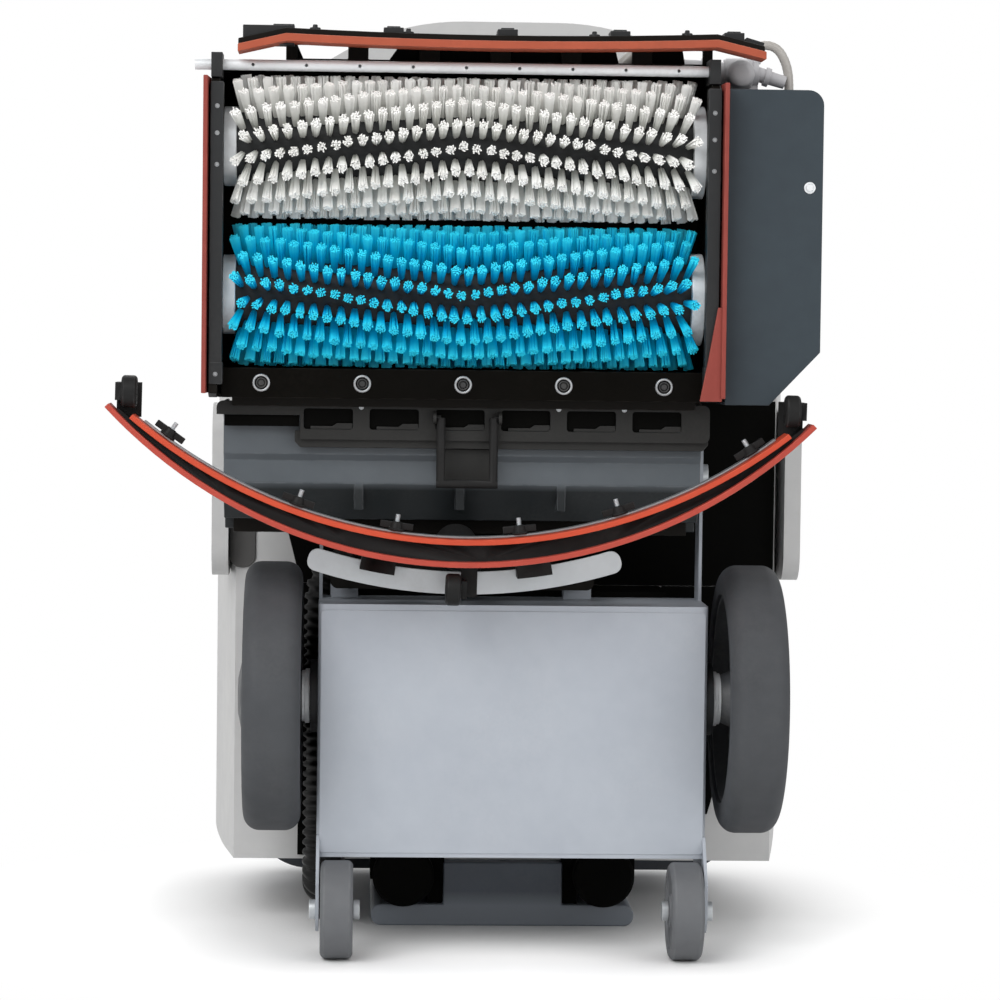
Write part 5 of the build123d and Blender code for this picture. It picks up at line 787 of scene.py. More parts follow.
class HoseRecipe(GeometryRecipe):
    """Ribbed tube along a curve."""

    CURVE_ORDER = 3
    CURVE_STEPS = 24
    # Levels of the wave, which runs from -1 to 1, where a rib starts and where it is full
    RIB_START, RIB_FULL = -0.55, 0.45

    def __init__(self) -> None:
        """Build the tree."""
        super().__init__("Ribbed hose", {
            "Radius": "Float", "Rib depth": "Float", "Rib pitch": "Float", "Step": "Float",
            "Sides": "Int", "Material": "Material"})
        bench, given = self.bench, self.given
        steps = {"Curve": given["Geometry"], "Length": given["Step"]}
        line = bench.put("GeometryNodeResampleCurve", steps, mode="LENGTH").outputs[0]
        along = bench.put("GeometryNodeSplineParameter").outputs["Length"]
        wave = bench.math("SINE", bench.product(bench.math("DIVIDE", along, given["Rib pitch"]), 2 * pi))
        crest = bench.share(wave, self.RIB_START, self.RIB_FULL, interpolation_type="SMOOTHSTEP")
        low = bench.math("SUBTRACT", given["Radius"], given["Rib depth"])
        girth = bench.math("MULTIPLY_ADD", crest, given["Rib depth"], low)
        grown = bench.put("GeometryNodeSetCurveRadius", {"Curve": line, "Radius": girth})
        ring = bench.put("GeometryNodeCurvePrimitiveCircle", {"Resolution": given["Sides"], "Radius": 1.0})
        tube = bench.put("GeometryNodeCurveToMesh", {
            "Curve": grown.outputs[0], "Profile Curve": ring.outputs[0], "Fill Caps": True,
            "Scale": bench.put("GeometryNodeInputRadius").outputs[0]})
        smooth = bench.put("GeometryNodeSetShadeSmooth", {"Geometry": tube.outputs[0]})
        self.close(smooth.outputs[0])

    def lay(self, shop: Workshop, name: str, tube: Tube, *routes: Sequence[Vector]) -> Object:
        """Make a tube along smooth lines.

        Args:
            shop: Workshop that holds the scene's work.
            name: Name of the piece.
            tube: Sizes and finish.
            routes: Control points of each line in the frame.

        Returns:
            The piece as a plain mesh.
        """
        curve = bpy.data.curves.new(f"{name}_line", "CURVE")
        curve.dimensions = "3D"
        curve.resolution_u = self.CURVE_STEPS
        for points in routes:
            spline = curve.splines.new("NURBS")
            spline.points.add(len(points) - 1)
            for spot, point in zip(spline.points, points):
                spot.co = (*point, 1.0)
            spline.order_u = min(self.CURVE_ORDER, len(points))
            spline.use_endpoint_u = True
        return self.run(shop, name, curve, {
            "Radius": tube.radius * MM, "Rib depth": tube.rib * MM, "Rib pitch": tube.pitch * MM,
            "Step": tube.step * MM, "Sides": tube.sides, "Material": shop.paint[tube.finish]})


@dataclass(frozen=True)
class Fastener:
    """Sizes of a screw or rivet, in millimetres, and its finish.

    Attributes:
        ring: Radius of the ring round its head.
        head: Radius of its head.
        finish: Name of its finish.
    """

    ring: float
    head: float
    finish: str = "dull_alloy"


class FastenerRecipe(GeometryRecipe):
    """Screw heads, each with a ring round it, on given points."""

    # Shares of the head's radius, of the ring's radius and of the head's radius again
    CROWN = 0.7
    WIRE = 0.17
    HEAD_HEIGHT = 0.4
    RING_SIDES, WIRE_SIDES, HEAD_SIDES = 20, 6, 12

    def __init__(self) -> None:
        """Build the tree."""
        super().__init__("Fasteners", {
            "Ring radius": "Float", "Ring wire": "Float", "Head radius": "Float", "Head height": "Float",
            "Axis": "Vector", "Material": "Material"})
        bench, given = self.bench, self.given
        circles = []
        for sides, radius in ((self.RING_SIDES, "Ring radius"), (self.WIRE_SIDES, "Ring wire")):
            circle = {"Resolution": sides, "Radius": given[radius]}
            circles.append(bench.put("GeometryNodeCurvePrimitiveCircle", circle).outputs[0])
        ring = bench.put("GeometryNodeCurveToMesh", {"Curve": circles[0], "Profile Curve": circles[1]})
        head = bench.put("GeometryNodeMeshCone", {
            "Vertices": self.HEAD_SIDES, "Side Segments": 1, "Fill Segments": 1,
            "Radius Top": bench.product(given["Head radius"], self.CROWN),
            "Radius Bottom": given["Head radius"], "Depth": given["Head height"]}, fill_type="NGON")
        screw = bench.put("GeometryNodeJoinGeometry")
        bench.feed(screw.inputs[0], ring.outputs[0])
        bench.feed(screw.inputs[0], head.outputs[0])
        facing = bench.put("FunctionNodeAlignRotationToVector", {"Vector": given["Axis"]}, axis="Z")
        screws = bench.put("GeometryNodeInstanceOnPoints", {
            "Points": given["Geometry"], "Instance": screw.outputs[0], "Rotation": facing.outputs[0]})
        self.close(screws.outputs[0])

    def fix(self, shop: Workshop, name: str, kind: Fastener, axis: Point, points: list[Vector],
            body: str, *nodes: str) -> None:
        """Put fasteners on points of a body.

        Args:
            shop: Workshop that holds the scene's work.
            name: Name of the piece.
            kind: Sizes and finish.
            axis: Direction that their heads face.
            points: Places of the fasteners in the frame.
            body: CAD body that carries them.
            nodes: CAD nodes that they replace.
        """
        spots = bpy.data.meshes.new(f"{name}_spots")
        spots.from_pydata([tuple(point) for point in points], [], [])
        screws = self.run(shop, name, spots, {
            "Ring radius": kind.ring * MM, "Ring wire": self.WIRE * kind.ring * MM,
            "Head radius": kind.head * MM, "Head height": self.HEAD_HEIGHT * kind.head * MM,
            "Axis": axis, "Material": shop.paint[kind.finish]})
        shop.ride(screws, body, "zinc", *nodes)


class Workshop:
    """The loaded frame, the finishes, the recipes, and the work that every sub-assembly needs."""

    # Angles past which an edge is rounded, past which it is shaded sharp, and under which faces are one
    SHARP = radians(32)
    CREASE = radians(40)
    FLAT = radians(0.3)
    # Distance under which points are one
    WELD = 0.002 * MM

    def __init__(self, frame: dict) -> None:
        """Make all finishes and recipes.
        """
        self.nodes: dict[str, Object] = frame["nodes"]
        groups = Groups()
        self.paint = {name: finish.make(name, groups) for name, finish in FINISHES.items()}
        bodies: dict[str, list[str]] = frame["record"]["behaviour"]["bodies"]
        self.body_of = {node: body for body, members in bodies.items() for node in members}
        self.fasteners = FastenerRecipe()
        self.hoses = HoseRecipe()

    def piece(self, name: str, mesh: Mesh, finish: str | None = None) -> Object:
        """New object of a mesh.

        Args:
            name: Name of the piece.
            mesh: Its mesh, already in place.
            finish: Name of its finish, unless the mesh has one.

        Returns:
            The object, linked to the scene.
        """
        mesh.name = name
        made = bpy.data.objects.new(name, mesh)
        bpy.context.scene.collection.objects.link(made)
        if finish is not None:
            mesh.materials.clear()
            mesh.materials.append(self.paint[finish])
        return made

    def ride(self, piece: Object, body: str, slot: str, *nodes: str) -> None:
        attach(piece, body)
        self.declare(piece, slot, *nodes)

    def declare(self, piece: Object, slot: str, *nodes: str) -> None:
        """Hide the CAD nodes that a piece replaces, and log its slot and number of faces.

        Args:
            piece: The finished piece, which rides already.
            slot: The record's material slot.
            nodes: CAD nodes that it replaces.
        """
        if nodes:
            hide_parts(*nodes)
        LOG.info("%s, slot %s, %d faces", piece.name, slot, len(piece.data.polygons))

    def round_off(self, shape: BMesh, name: str, dress: Dress) -> Object:
        """Piece of a shape with rounded edges that know where they wear.

        Args:
            shape: The shape, which is used up.
            name: Name of the piece.
            dress: Its finish and rounding.

        Returns:
            The piece.
        """
        sharp = [side for side in shape.edges
                 if len(side.link_faces) == 2 and side.calc_face_angle() > self.SHARP]
        wear = shape.verts.layers.float.new("wear")
        if sharp and dress.edge > 0:
            bent = bmesh.ops.bevel(shape, geom=sharp, offset=dress.edge * MM, offset_type="OFFSET",
                                   segments=2, profile=0.5, affect="EDGES", clamp_overlap=True)
            strip = set(bent["faces"])
            for vert in bent["verts"]:
                vert[wear] = float(all(face in strip for face in vert.link_faces))
        mesh = bpy.data.meshes.new(name)
        shape.to_mesh(mesh)
        shape.free()
        for face in mesh.polygons:
            face.use_smooth = True
        mesh.set_sharp_from_angle(angle=self.CREASE)
        piece = self.piece(name, mesh, dress.finish)
        piece.modifiers.new("Weighted", "WEIGHTED_NORMAL").keep_sharp = True
        graph = bpy.context.evaluated_depsgraph_get()
        piece.data = bpy.data.meshes.new_from_object(piece.evaluated_get(graph))
        piece.modifiers.clear()
        piece.data.name = name
        return piece

    def merged(self, node: str) -> BMesh:
        """Shape of a CAD node with its flat faces whole.

        Args:
            node: CAD node.

        Returns:
            The shape, to be freed by whoever asked.
        """
        shape = bmesh.new()
        shape.from_mesh(self.nodes[node].data)
        bmesh.ops.remove_doubles(shape, verts=shape.verts, dist=self.WELD)
        bmesh.ops.dissolve_limit(shape, angle_limit=self.FLAT, verts=shape.verts, edges=shape.edges)
        return shape

    def rounded(self, node: str, dress: Dress, carve: Callable[[BMesh], None] | None = None) -> None:
        """Put a copy of a CAD node with rounded, wearing edges in its place.

        Args:
            node: CAD node.
            dress: Its finish, slot and rounding.
            carve: Work on the shape before its edges are rounded.
        """
        shape = self.merged(node)
        if carve is not None:
            carve(shape)
        self.ride(self.round_off(shape, f"{node}_shell", dress), self.body_of[node], dress.slot, node)

    def islands(self, node: str) -> list[Vector]:
        """Middles of the separate solids of a CAD node.

        Args:
            node: CAD node.

        Returns:
            Middle of each solid's box.
        """
        shape = self.merged(node)
        seen = set()
        middles = []
        for start in shape.verts:
            if start in seen:
                continue
            seen.add(start)
            island = [start]
            # The list grows while it is walked, until it holds the whole solid
            for vert in island:
                for side in vert.link_edges:
                    other = side.other_vert(vert)
                    if other not in seen:
                        seen.add(other)
                        island.append(other)
            low, high = box_of(island)
            middles.append((low + high) / 2)
        shape.free()
        return middles


def box_of(verts: Sequence[bmesh.types.BMVert]) -> tuple[Vector, Vector]:
    """Lowest and highest corner of the box round some points."""
    spots = [[vert.co[axis] for vert in verts] for axis in range(3)]
    return Vector([min(places) for places in spots]), Vector([max(places) for places in spots])


@dataclass(frozen=True)
class Turning:
    """A round form.

    Attributes:
        foot: Start of its axis in machine millimetres.
        axis: Direction of the axis.
        profile: Places along the axis and the radius at each, in millimetres.
        sides: Number of its sides.
    """

    foot: Point
    axis: Point
    profile: Outline
    sides: int = 24


class Form:
    """Small solids built up in machine millimetres and made one piece."""

    def __init__(self) -> None:
        """Start with nothing."""
        self.shape = bmesh.new()

    def cuboid(self, middle: Vector, size: Point, turn: float = 0.0) -> Form:
        """Add a box.

        Args:
            middle: Its middle in the frame.
            size: Its size in millimetres across, in height and along.
            turn: Its turn about the height axis, in radians.

        Returns:
            This form.
        """
        scale = Matrix.Diagonal((*[length * MM for length in size], 1.0))
        spot = Matrix.Translation(middle) @ Matrix.Rotation(turn, 4, "Y") @ scale
        bmesh.ops.create_cube(self.shape, size=1.0, matrix=spot)
        return self

    def block(self, x: Span, y: Span, z: Span) -> Form:
        """Add a box between pairs of places across, in height and along."""
        middle = at(sum(x) / 2, sum(y) / 2, sum(z) / 2)
        return self.cuboid(middle, (abs(x[1] - x[0]), abs(y[1] - y[0]), abs(z[1] - z[0])))

    def turned(self, turning: Turning) -> Form:
        """Add a round form that is given in machine millimetres."""
        return self.lathe(at(*turning.foot), Vector(turning.axis), turning.profile, turning.sides)

    def lathe(self, foot: Vector, axis: Vector, profile: Sequence[Span], sides: int) -> Form:
        """Add a round form.

        Args:
            foot: Start of its axis in the frame.
            axis: Direction of the axis.
            profile: Places along the axis and the radius at each, in millimetres.
            sides: Number of its sides.

        Returns:
            This form.
        """
        spot = Matrix.Translation(foot) @ axis.to_track_quat("Z", "Y").to_matrix().to_4x4()
        angles = [2 * pi * side / sides for side in range(sides)]
        rings = []
        for along, radius in profile:
            points = [Vector((radius * cos(angle), radius * sin(angle), along)) * MM for angle in angles]
            rings.append([self.shape.verts.new(spot @ point) for point in points])
        for low, high in zip(rings, rings[1:]):
            for side in range(sides):
                after = (side + 1) % sides
                self.shape.faces.new((low[side], low[after], high[after], high[side]))
        self.shape.faces.new(rings[0][::-1])
        self.shape.faces.new(rings[-1])
        return self

    def plate(self, outline: Sequence[Span], y: Span) -> Form:
        """Add a flat plate.

        Args:
            outline: Its corners, across and along the machine.
            y: Its two heights.

        Returns:
            This form.
        """
        low = [self.shape.verts.new(at(x, y[0], z)) for x, z in outline]
        high = [self.shape.verts.new(at(x, y[1], z)) for x, z in outline]
        self.shape.faces.new(low)
        self.shape.faces.new(high[::-1])
        for corner in range(len(outline)):
            after = (corner + 1) % len(outline)
            self.shape.faces.new((low[corner], high[corner], high[after], low[after]))
        return self

    def piece(self, shop: Workshop, name: str, dress: Dress, body: str, *nodes: str) -> None:
        """Make the piece and fix it to a body.

        Args:
            shop: Workshop that holds the scene's work.
            name: Name of the piece.
            dress: Its finish, slot and rounding.
            body: CAD body that carries it.
            nodes: CAD nodes that it replaces.
        """
        bmesh.ops.recalc_face_normals(self.shape, faces=self.shape.faces)
        shop.ride(shop.round_off(self.shape, name, dress), body, dress.slot, *nodes)


def soft_corners(x: Span, z: Span, radius: float, steps: int = 5) -> list[Span]:
    """Outline of a rectangle with round corners.

    Args:
        x: Its ends across the machine.
        z: Its ends along the machine.
        radius: Radius of its corners.
        steps: Points of each corner.

    Returns:
        The outline's points.
    """
    outline = []
    corners = ((x[1], z[1], 0), (x[0], z[1], 1), (x[0], z[0], 2), (x[1], z[0], 3))
    for corner_x, corner_z, quarter in corners:
        middle_x = corner_x - radius * (1 if quarter in (0, 3) else -1)
        middle_z = corner_z - radius * (1 if quarter in (0, 1) else -1)
        for step in range(steps):
            angle = (quarter + step / (steps - 1)) * pi / 2
            outline.append((middle_x + radius * cos(angle), middle_z + radius * sin(angle)))
    return outline


@dataclass
class SubAssembly:
    """CAD nodes that are finished together, and the details that go with them.

    Attributes:
        shop: Workshop that holds the scene's work.
    """

    DRESSES: ClassVar[dict[str, Dress]] = {}
    shop: Workshop

    def dress(self) -> None:
        """Round and paint the nodes as they are."""
        for node, dress in self.DRESSES.items():
            self.shop.rounded(node, dress)

    def build(self) -> None:
        """Add the details; each sub-assembly has its own."""
        raise NotImplementedError


@dataclass
class Chassis(SubAssembly):
    """Folded belly tray, inner works and black sheets of painted shade under the tank.

    Attributes:
        belly_x: Ends of the belly's pressed panel across the machine.
        belly_z: Its ends along the machine.
        belly_y: Its two heights.
        belly_corner: Radius of its corners.
        shade_sheet_y: Heights of the sheets of painted shade, just under the tank's floor.
        shade_sheets: Outlines of the black sheets of painted shade.
        cross_member_shade: Boxes of black painted shade over the cross member ahead of the belly.
        pocket_x: Ends of the grey plate of painted shade in the wheel well, across the machine.
        pocket_z: Its ends along the machine.
        pocket_corner: Radius of its corners.
    """

    DRESSES: ClassVar[dict[str, Dress]] = {
        "chassis_frame": Dress("belly_paint", "frame_paint", 1.0),
        "pivot_bolts": Dress("bare_steel", "zinc", 0.6),
        "transaxle": Dress("motor_paint", "cast_case", 1.2),
        "batteries": Dress("black_moulding", "black_plastic", 2.0),
        "vacuum_motor": Dress("motor_paint", "motor_paint", 1.5),
    }
    belly_x: Span = (-177.4, 177.4)
    belly_z: Span = (96.0, 320.5)
    belly_y: Span = (84.1, 85.0)
    belly_corner: float = 3.0
    shade_sheet_y: Span = (267.4, 269.6)
    shade_sheets: tuple[Outline, ...] = (
        ((-199, 332), (-213, 386), (-213, 512.5), (261, 512.5), (261, 332)),
        ((152, 108), (200, 108), (261, 331.5), (152, 331.5)),
        ((-152, 66), (-200, 66), (-199, 331.5), (-152, 331.5)))
    cross_member_shade: tuple[Box, ...] = (
        ((-150, 150), (190.6, 269.0), (330.2, 331.6)), ((-150, 150), (190.6, 191.8), (318, 331)))
    pocket_x: Span = (-268.4, -243.0)
    pocket_z: Span = (346.0, 420.0)
    pocket_corner: float = 11.0

    def build(self) -> None:
        """Add the pressed belly panel, the black sheets of painted shade and the grey plate of painted shade
        in the wheel well.
        """
        shop = self.shop
        panel = Form().plate(soft_corners(self.belly_x, self.belly_z, self.belly_corner), self.belly_y)
        panel.piece(shop, "belly_panel", Dress("belly_paint", "frame_paint", 0.5), "chassis")
        # Black sheets under the tank's floor and over the cross member stand for the shade in the cavity:
        # painted shade
        shade_sheets = Form()
        for outline in self.shade_sheets:
            shade_sheets.plate(outline, self.shade_sheet_y)
        for box in self.cross_member_shade:
            shade_sheets.block(*box)
        shade_sheets.piece(shop, "underside_painted_shade", Dress("matt_black_and_painted_shade", "black_plastic", 0.6), "chassis")
        # Grey plate in the wheel well: painted shade on the well's wall
        pocket = Form().plate(soft_corners(self.pocket_x, self.pocket_z, self.pocket_corner), self.shade_sheet_y)
        pocket.piece(shop, "wheel_well_painted_shade", Dress("well_painted_shade_grey", "black_plastic"), "chassis")


@dataclass
class Wheels(SubAssembly):
    """Drive wheels and tail rollers.

    Attributes:
        axle: Height and place of the axle.
        sleeve: Ends of the bright sleeve between flange and wheel, from the machine's middle.
        sleeve_radii: Radii of the sleeve's bore, collar and tube.
        collar: The collar's share of the sleeve's length.
        sleeve_sides: Number of the sleeve's sides.
        bolt_x: Place of the hub bolts' heads from the machine's middle.
        bolt_circle: Radius of the hub bolts' circle.
        bolt_count: Number of bolts in a hub.
        bolt: Sizes of a hub bolt.
    """

    DRESSES: ClassVar[dict[str, Dress]] = {
        "wheel_tyre_left": Dress("tyre_rubber", "tyre", 1.5),
        "wheel_tyre_right": Dress("tyre_rubber", "tyre", 1.5),
        "wheel_hub_left": Dress("hub_plastic", "wheel_plastic", 1.0),
        "wheel_hub_right": Dress("hub_plastic", "wheel_plastic", 1.0),
        "tail_roller_left": Dress("roller_rubber", "roller_rubber", 2.0),
        "tail_roller_right": Dress("roller_rubber", "roller_rubber", 2.0),
    }
    axle: Span = (125.0, 237.0)
    sleeve: Span = (187.5, 194.8)
    sleeve_radii: Point = (22.3, 25.5, 24.0)
    collar: float = 0.6
    sleeve_sides: int = 40
    bolt_x: float = 225.4
    bolt_circle: float = 62.0
    bolt_count: int = 5
    bolt: Fastener = Fastener(ring=9.0, head=6.5)

    def build(self) -> None:
        """Add the axle sleeves and hub bolts."""
        shop = self.shop
        bore, collar, tube = self.sleeve_radii
        length = self.sleeve[1] - self.sleeve[0]
        step = self.collar * length
        profile = [(0, bore), (0, collar), (step, collar), (step, tube), (length, tube), (length, bore)]
        angles = [2 * pi * bolt / self.bolt_count for bolt in range(self.bolt_count)]
        for side, body in zip(SIDES, ("wheel_left", "wheel_right")):
            outward = Vector((side, 0.0, 0.0))
            foot = at(side * self.sleeve[0], *self.axle)
            sleeve = Form().lathe(foot, outward, profile, self.sleeve_sides)
            sleeve.piece(shop, f"axle_sleeve_{body}", Dress("bright_hub", "zinc", 0.4), body)
            spots = [at(side * self.bolt_x, self.axle[0] + self.bolt_circle * cos(angle),
                        self.axle[1] + self.bolt_circle * sin(angle)) for angle in angles]
            shop.fasteners.fix(shop, f"hub_bolts_{body}", self.bolt, tuple(outward), spots, body)


@dataclass
class Body(SubAssembly):
    """Solution tank, recovery tank with its lid, and bumper.

    Attributes:
        lid_flat: Depth within which a face counts as the lid's top.
        lid_border: Width of the lid's border.
        lid_groove: Width of the groove inside that border.
        lid_sink: Depth of the groove.
        pad_sink: Share of that depth by which the pad inside the groove lies lower.
        cap: The filler cap on the tank's top.
        latch_z: Places of the lid's latches along the machine.
        latch_blocks: Ends from the machine's middle, heights and half length of a latch's blocks.
        rib_y: Heights of the side ribs' middles.
        rib_half: Half the height of a rib.
        rib_depth: How far a rib stands in the wall and out of it.
        rib_z: Ends of the ribs along the machine.
        wall_foot: Half width and height of the tank's side wall at its foot.
        wall_run: How far that wall leans out, and over what height.
    """

    DRESSES: ClassVar[dict[str, Dress]] = {
        "solution_tank": Dress("body_shell", "body_plastic", 2.5),
        "recovery_tank": Dress("tank_shell", "tank_plastic", 2.0),
        "hinge_pin": Dress("bare_steel", "zinc", 0.5),
        "tail_bumper": Dress("bumper_moulding", "bumper_plastic", 2.0),
    }
    lid_flat: float = 0.05
    lid_border: float = 30.0
    lid_groove: float = 12.0
    lid_sink: float = 3.2
    pad_sink: float = 0.1
    cap: Turning = Turning(
        (-128.0, 440.0, 815.0), (0.0, 1.0, 0.0),
        ((0, 33), (3, 33), (3, 29), (9, 28), (11, 26), (11, 18), (9, 17), (9, 3)), 36)
    latch_z: Span = (180.0, 560.0)
    latch_blocks: tuple[tuple[Span, Span, float], ...] = (
        ((242.0, 250.4), (566.0, 598.0), 16.0), ((244.0, 252.0), (560.0, 568.0), 12.0))
    rib_y: tuple[float, ...] = (292.0, 318.0, 344.0, 370.0)
    rib_half: float = 4.0
    rib_depth: Span = (3.0, 2.2)
    rib_z: Span = (540.0, 700.0)
    wall_foot: Span = (262.0, 270.0)
    wall_run: Span = (23.0, 154.0)

    def build(self) -> None:
        """Carve the lid and add the filler cap, the lid's latches and the tank's side ribs."""
        shop = self.shop
        shop.rounded("tank_lid", Dress("tank_shell", "tank_plastic", 1.2), self._carve_lid)
        cap = Form().turned(self.cap)
        cap.piece(shop, "filler_cap", Dress("black_moulding", "black_plastic", 0.5), "chassis")
        latches = Form()
        for side in SIDES:
            for z in self.latch_z:
                for x, y, half in self.latch_blocks:
                    latches.block((side * x[0], side * x[1]), y, (z - half, z + half))
        latches.piece(shop, "lid_latches", Dress("black_moulding", "black_plastic", 1.0), "chassis")
        ribs = Form()
        for side in SIDES:
            for y in self.rib_y:
                wall = self.wall_foot[0] + self.wall_run[0] * (y - self.wall_foot[1]) / self.wall_run[1]
                x = (side * (wall - self.rib_depth[0]), side * (wall + self.rib_depth[1]))
                ribs.block(x, (y - self.rib_half, y + self.rib_half), self.rib_z)
        ribs.piece(shop, "tank_side_ribs", Dress("body_trim", "body_plastic", 1.6), "chassis")

    def _carve_lid(self, shape: BMesh) -> None:
        """Press a groove between the lid's border and its flat pad.

        Args:
            shape: Shape of the lid.
        """
        level = max(vert.co.y for vert in shape.verts) - self.lid_flat * MM
        field = [face for face in shape.faces if all(vert.co.y > level for vert in face.verts)]
        if len(field) > 1:
            field = bmesh.ops.dissolve_faces(shape, faces=field)["region"]
        whole = max(field, key=lambda face: face.calc_area())
        rim = [loop.vert for loop in whole.loops]
        low, high = box_of(rim)
        middle = (low + high) / 2
        half = high - middle
        shape.faces.remove(whole)
        outer = rim
        step = 0.5 * self.lid_sink
        pad = self.lid_border + step + self.lid_groove
        for width, sink in ((self.lid_border, 0.0), (self.lid_border + step, self.lid_sink),
                            (pad, self.lid_sink), (pad + step, self.pad_sink * self.lid_sink)):
            across, along = 1 - width * MM / half.x, 1 - width * MM / half.z
            inner = []
            for vert in rim:
                away = vert.co - middle
                inner.append(shape.verts.new(middle + Vector((away.x * across, -sink * MM, away.z * along))))
            for spot in range(len(rim)):
                after = (spot + 1) % len(rim)
                shape.faces.new((outer[spot], outer[after], inner[after], inner[spot]))
            outer = inner
        shape.faces.new(outer)


@dataclass
class Deck(SubAssembly):
    """Brush deck with its cover, skirts, spray bar and fittings.

    Attributes:
        wall_x: Outer places of the two end rails across the machine.
        rail: Width, heights and ends along the machine of a rail.
        toe: Width, heights and ends along the machine of a rail's toe.
        rivet_in: How far the rivets lie in from a rail's outer side.
        rivet_spots: Heights of the rivets and their places along the machine.
        rivet: Sizes of a rivet.
        strip_x: Places of the strip's screws.
        strip_z: Their place along the machine.
        washer_y: Height of their washers.
        screw_y: Height of their heads.
        washer: Sizes of a washer.
        screw: Sizes of a screw's head.
        cover_spot: Place of the cover's screw.
        cover_screw: Its sizes.
        carrier_z: Top of the front skirt's carrier.
        block_x: Places of the clamp blocks on the carrier.
        clamp_steps: Half width, heights and ends from the carrier's top of a clamp block's steps.
        end_blocks: Boxes of the block at the carrier's left end.
        corner_spot: Middle of the turned block at its right end.
        corner_size: Size of that block.
        corner_turn: Its turn in degrees.
        knob_foot: How far a knob's foot lies below its middle.
        knob: Profile of a knob.
        knob_sides: Number of a knob's sides.
        flap: Outline of the right skirt's loose end.
        flap_y: Its heights.
        backing: Outlines of the black sheets of painted shade behind the carrier's windows.
        backing_y: Their heights.
        valve_foot: Box of the valve's foot.
        valve: Round forms of the valve: body, coil and three branches.
    """

    DRESSES: ClassVar[dict[str, Dress]] = {
        "deck_housing": Dress("black_coat", "black_paint"),
        "bearing_plate": Dress("black_coat", "black_paint"),
        "brush_motor": Dress("motor_paint", "motor_paint", 1.5),
        "motor_pulley": Dress("dull_alloy", "alloy", 0.6),
        "drive_belt": Dress("hose_rubber", "black_rubber", 0.5),
        "belt_cover": Dress("cover_shell", "cover_plastic", 2.0),
        "side_skirt_left": Dress("skirt_rubber", "skirt_rubber"),
        "side_skirt_right": Dress("skirt_rubber", "skirt_rubber"),
        "spray_bar": Dress("bright_hub", "zinc", 0.4),
        "spray_bar_brackets": Dress("wall_moulding", "black_plastic"),
        "front_skirt_blade": Dress("front_blade_rubber", "blade_rubber"),
        "front_skirt_carrier": Dress("black_coat", "black_paint"),
        "rear_seal_strip": Dress("strip_coat", "black_paint"),
    }
    wall_x: Span = (-279.6, 177.6)
    rail: tuple[float, Span, Span] = (11.6, (12.9, 29.0), (546.0, 798.0))
    toe: tuple[float, Span, Span] = (12.4, (12.2, 31.0), (528.0, 548.0))
    rivet_in: float = 6.0
    rivet_spots: Outline = ((12.7, 724.0), (12.7, 752.0), (12.7, 776.0), (12.0, 537.0))
    rivet: Fastener = Fastener(ring=1.8, head=1.5)
    strip_x: tuple[float, ...] = (-233.0, -142.0, -51.0, 40.0, 131.0)
    strip_z: float = 529.5
    washer_y: float = 33.6
    screw_y: float = 33.2
    washer: Fastener = Fastener(ring=7.0, head=2.2)
    screw: Fastener = Fastener(ring=4.2, head=3.4, finish="dark_steel")
    cover_spot: Point = (260.0, 29.6, 711.0)
    cover_screw: Fastener = Fastener(ring=4.6, head=4.4, finish="bright_hub")
    carrier_z: float = 847.0
    block_x: tuple[float, ...] = (-117.0, -14.5, 87.0, 190.0)
    clamp_steps: tuple[tuple[float, Span, Span], ...] = (
        (9.0, (32.0, 60.0), (-6.0, 2.5)), (6.0, (36.0, 56.0), (2.0, 4.0)))
    end_blocks: tuple[Box, ...] = (
        ((-252.0, -206.0), (31.0, 62.0), (833.0, 850.0)), ((-225.0, -206.0), (36.0, 58.0), (849.5, 851.5)))
    corner_spot: Point = (208.0, 46.0, 839.0)
    corner_size: Point = (17.0, 26.0, 9.0)
    corner_turn: float = 16.0
    knob_foot: float = 4.4
    knob: Outline = ((0, 4.9), (2.6, 4.9), (2.8, 2.4), (5.4, 2.0))
    knob_sides: int = 14
    flap: Outline = ((176.5, 602), (182.6, 602), (181.0, 517.4), (161.0, 517.4), (168.5, 556))
    flap_y: Span = (8.4, 11.6)
    backing: tuple[Outline, ...] = (
        ((-124, 818), (-108, 841), (84, 841), (90, 818)),
        ((-214, 818), (-214, 838), (-206, 841), (-196, 818)),
        ((118, 818), (112, 841), (146, 841), (150, 818)))
    backing_y: Span = (70.3, 72.0)
    valve_foot: Box = ((184.0, 220.0), (104.0, 129.0), (799.2, 812.0))
    valve: tuple[Turning, ...] = (
        Turning((178.0, 104.0, 818.0), (1.0, 0.0, 0.0),
                ((0, 7), (5, 7), (5, 10.5), (10, 10.5), (10, 13), (13, 14.5), (33, 14.5), (36, 13),
                 (36, 10.5), (42, 10.5), (42, 7)), 28),
        Turning((202.0, 92.0, 817.0), (0.0, -1.0, 0.0),
                ((0, 12.8), (9, 12.8), (12, 11.0), (14.6, 6.0)), 28),
        Turning((214.0, 110.0, 822.0), (0.08, 0.0, 1.0), ((0, 7), (6, 7), (6, 8.5), (10, 8.5), (10, 6))),
        Turning((180.0, 104.0, 822.0), (-1.0, 0.0, 0.07),
                ((0, 7), (8, 7), (8, 9), (13, 9), (13, 7), (32, 6.5))),
        Turning((219.0, 104.0, 818.0), (1.0, 0.0, -0.3),
                ((0, 7), (7, 7), (7, 9), (12, 9), (12, 6.5), (27, 6.0))))

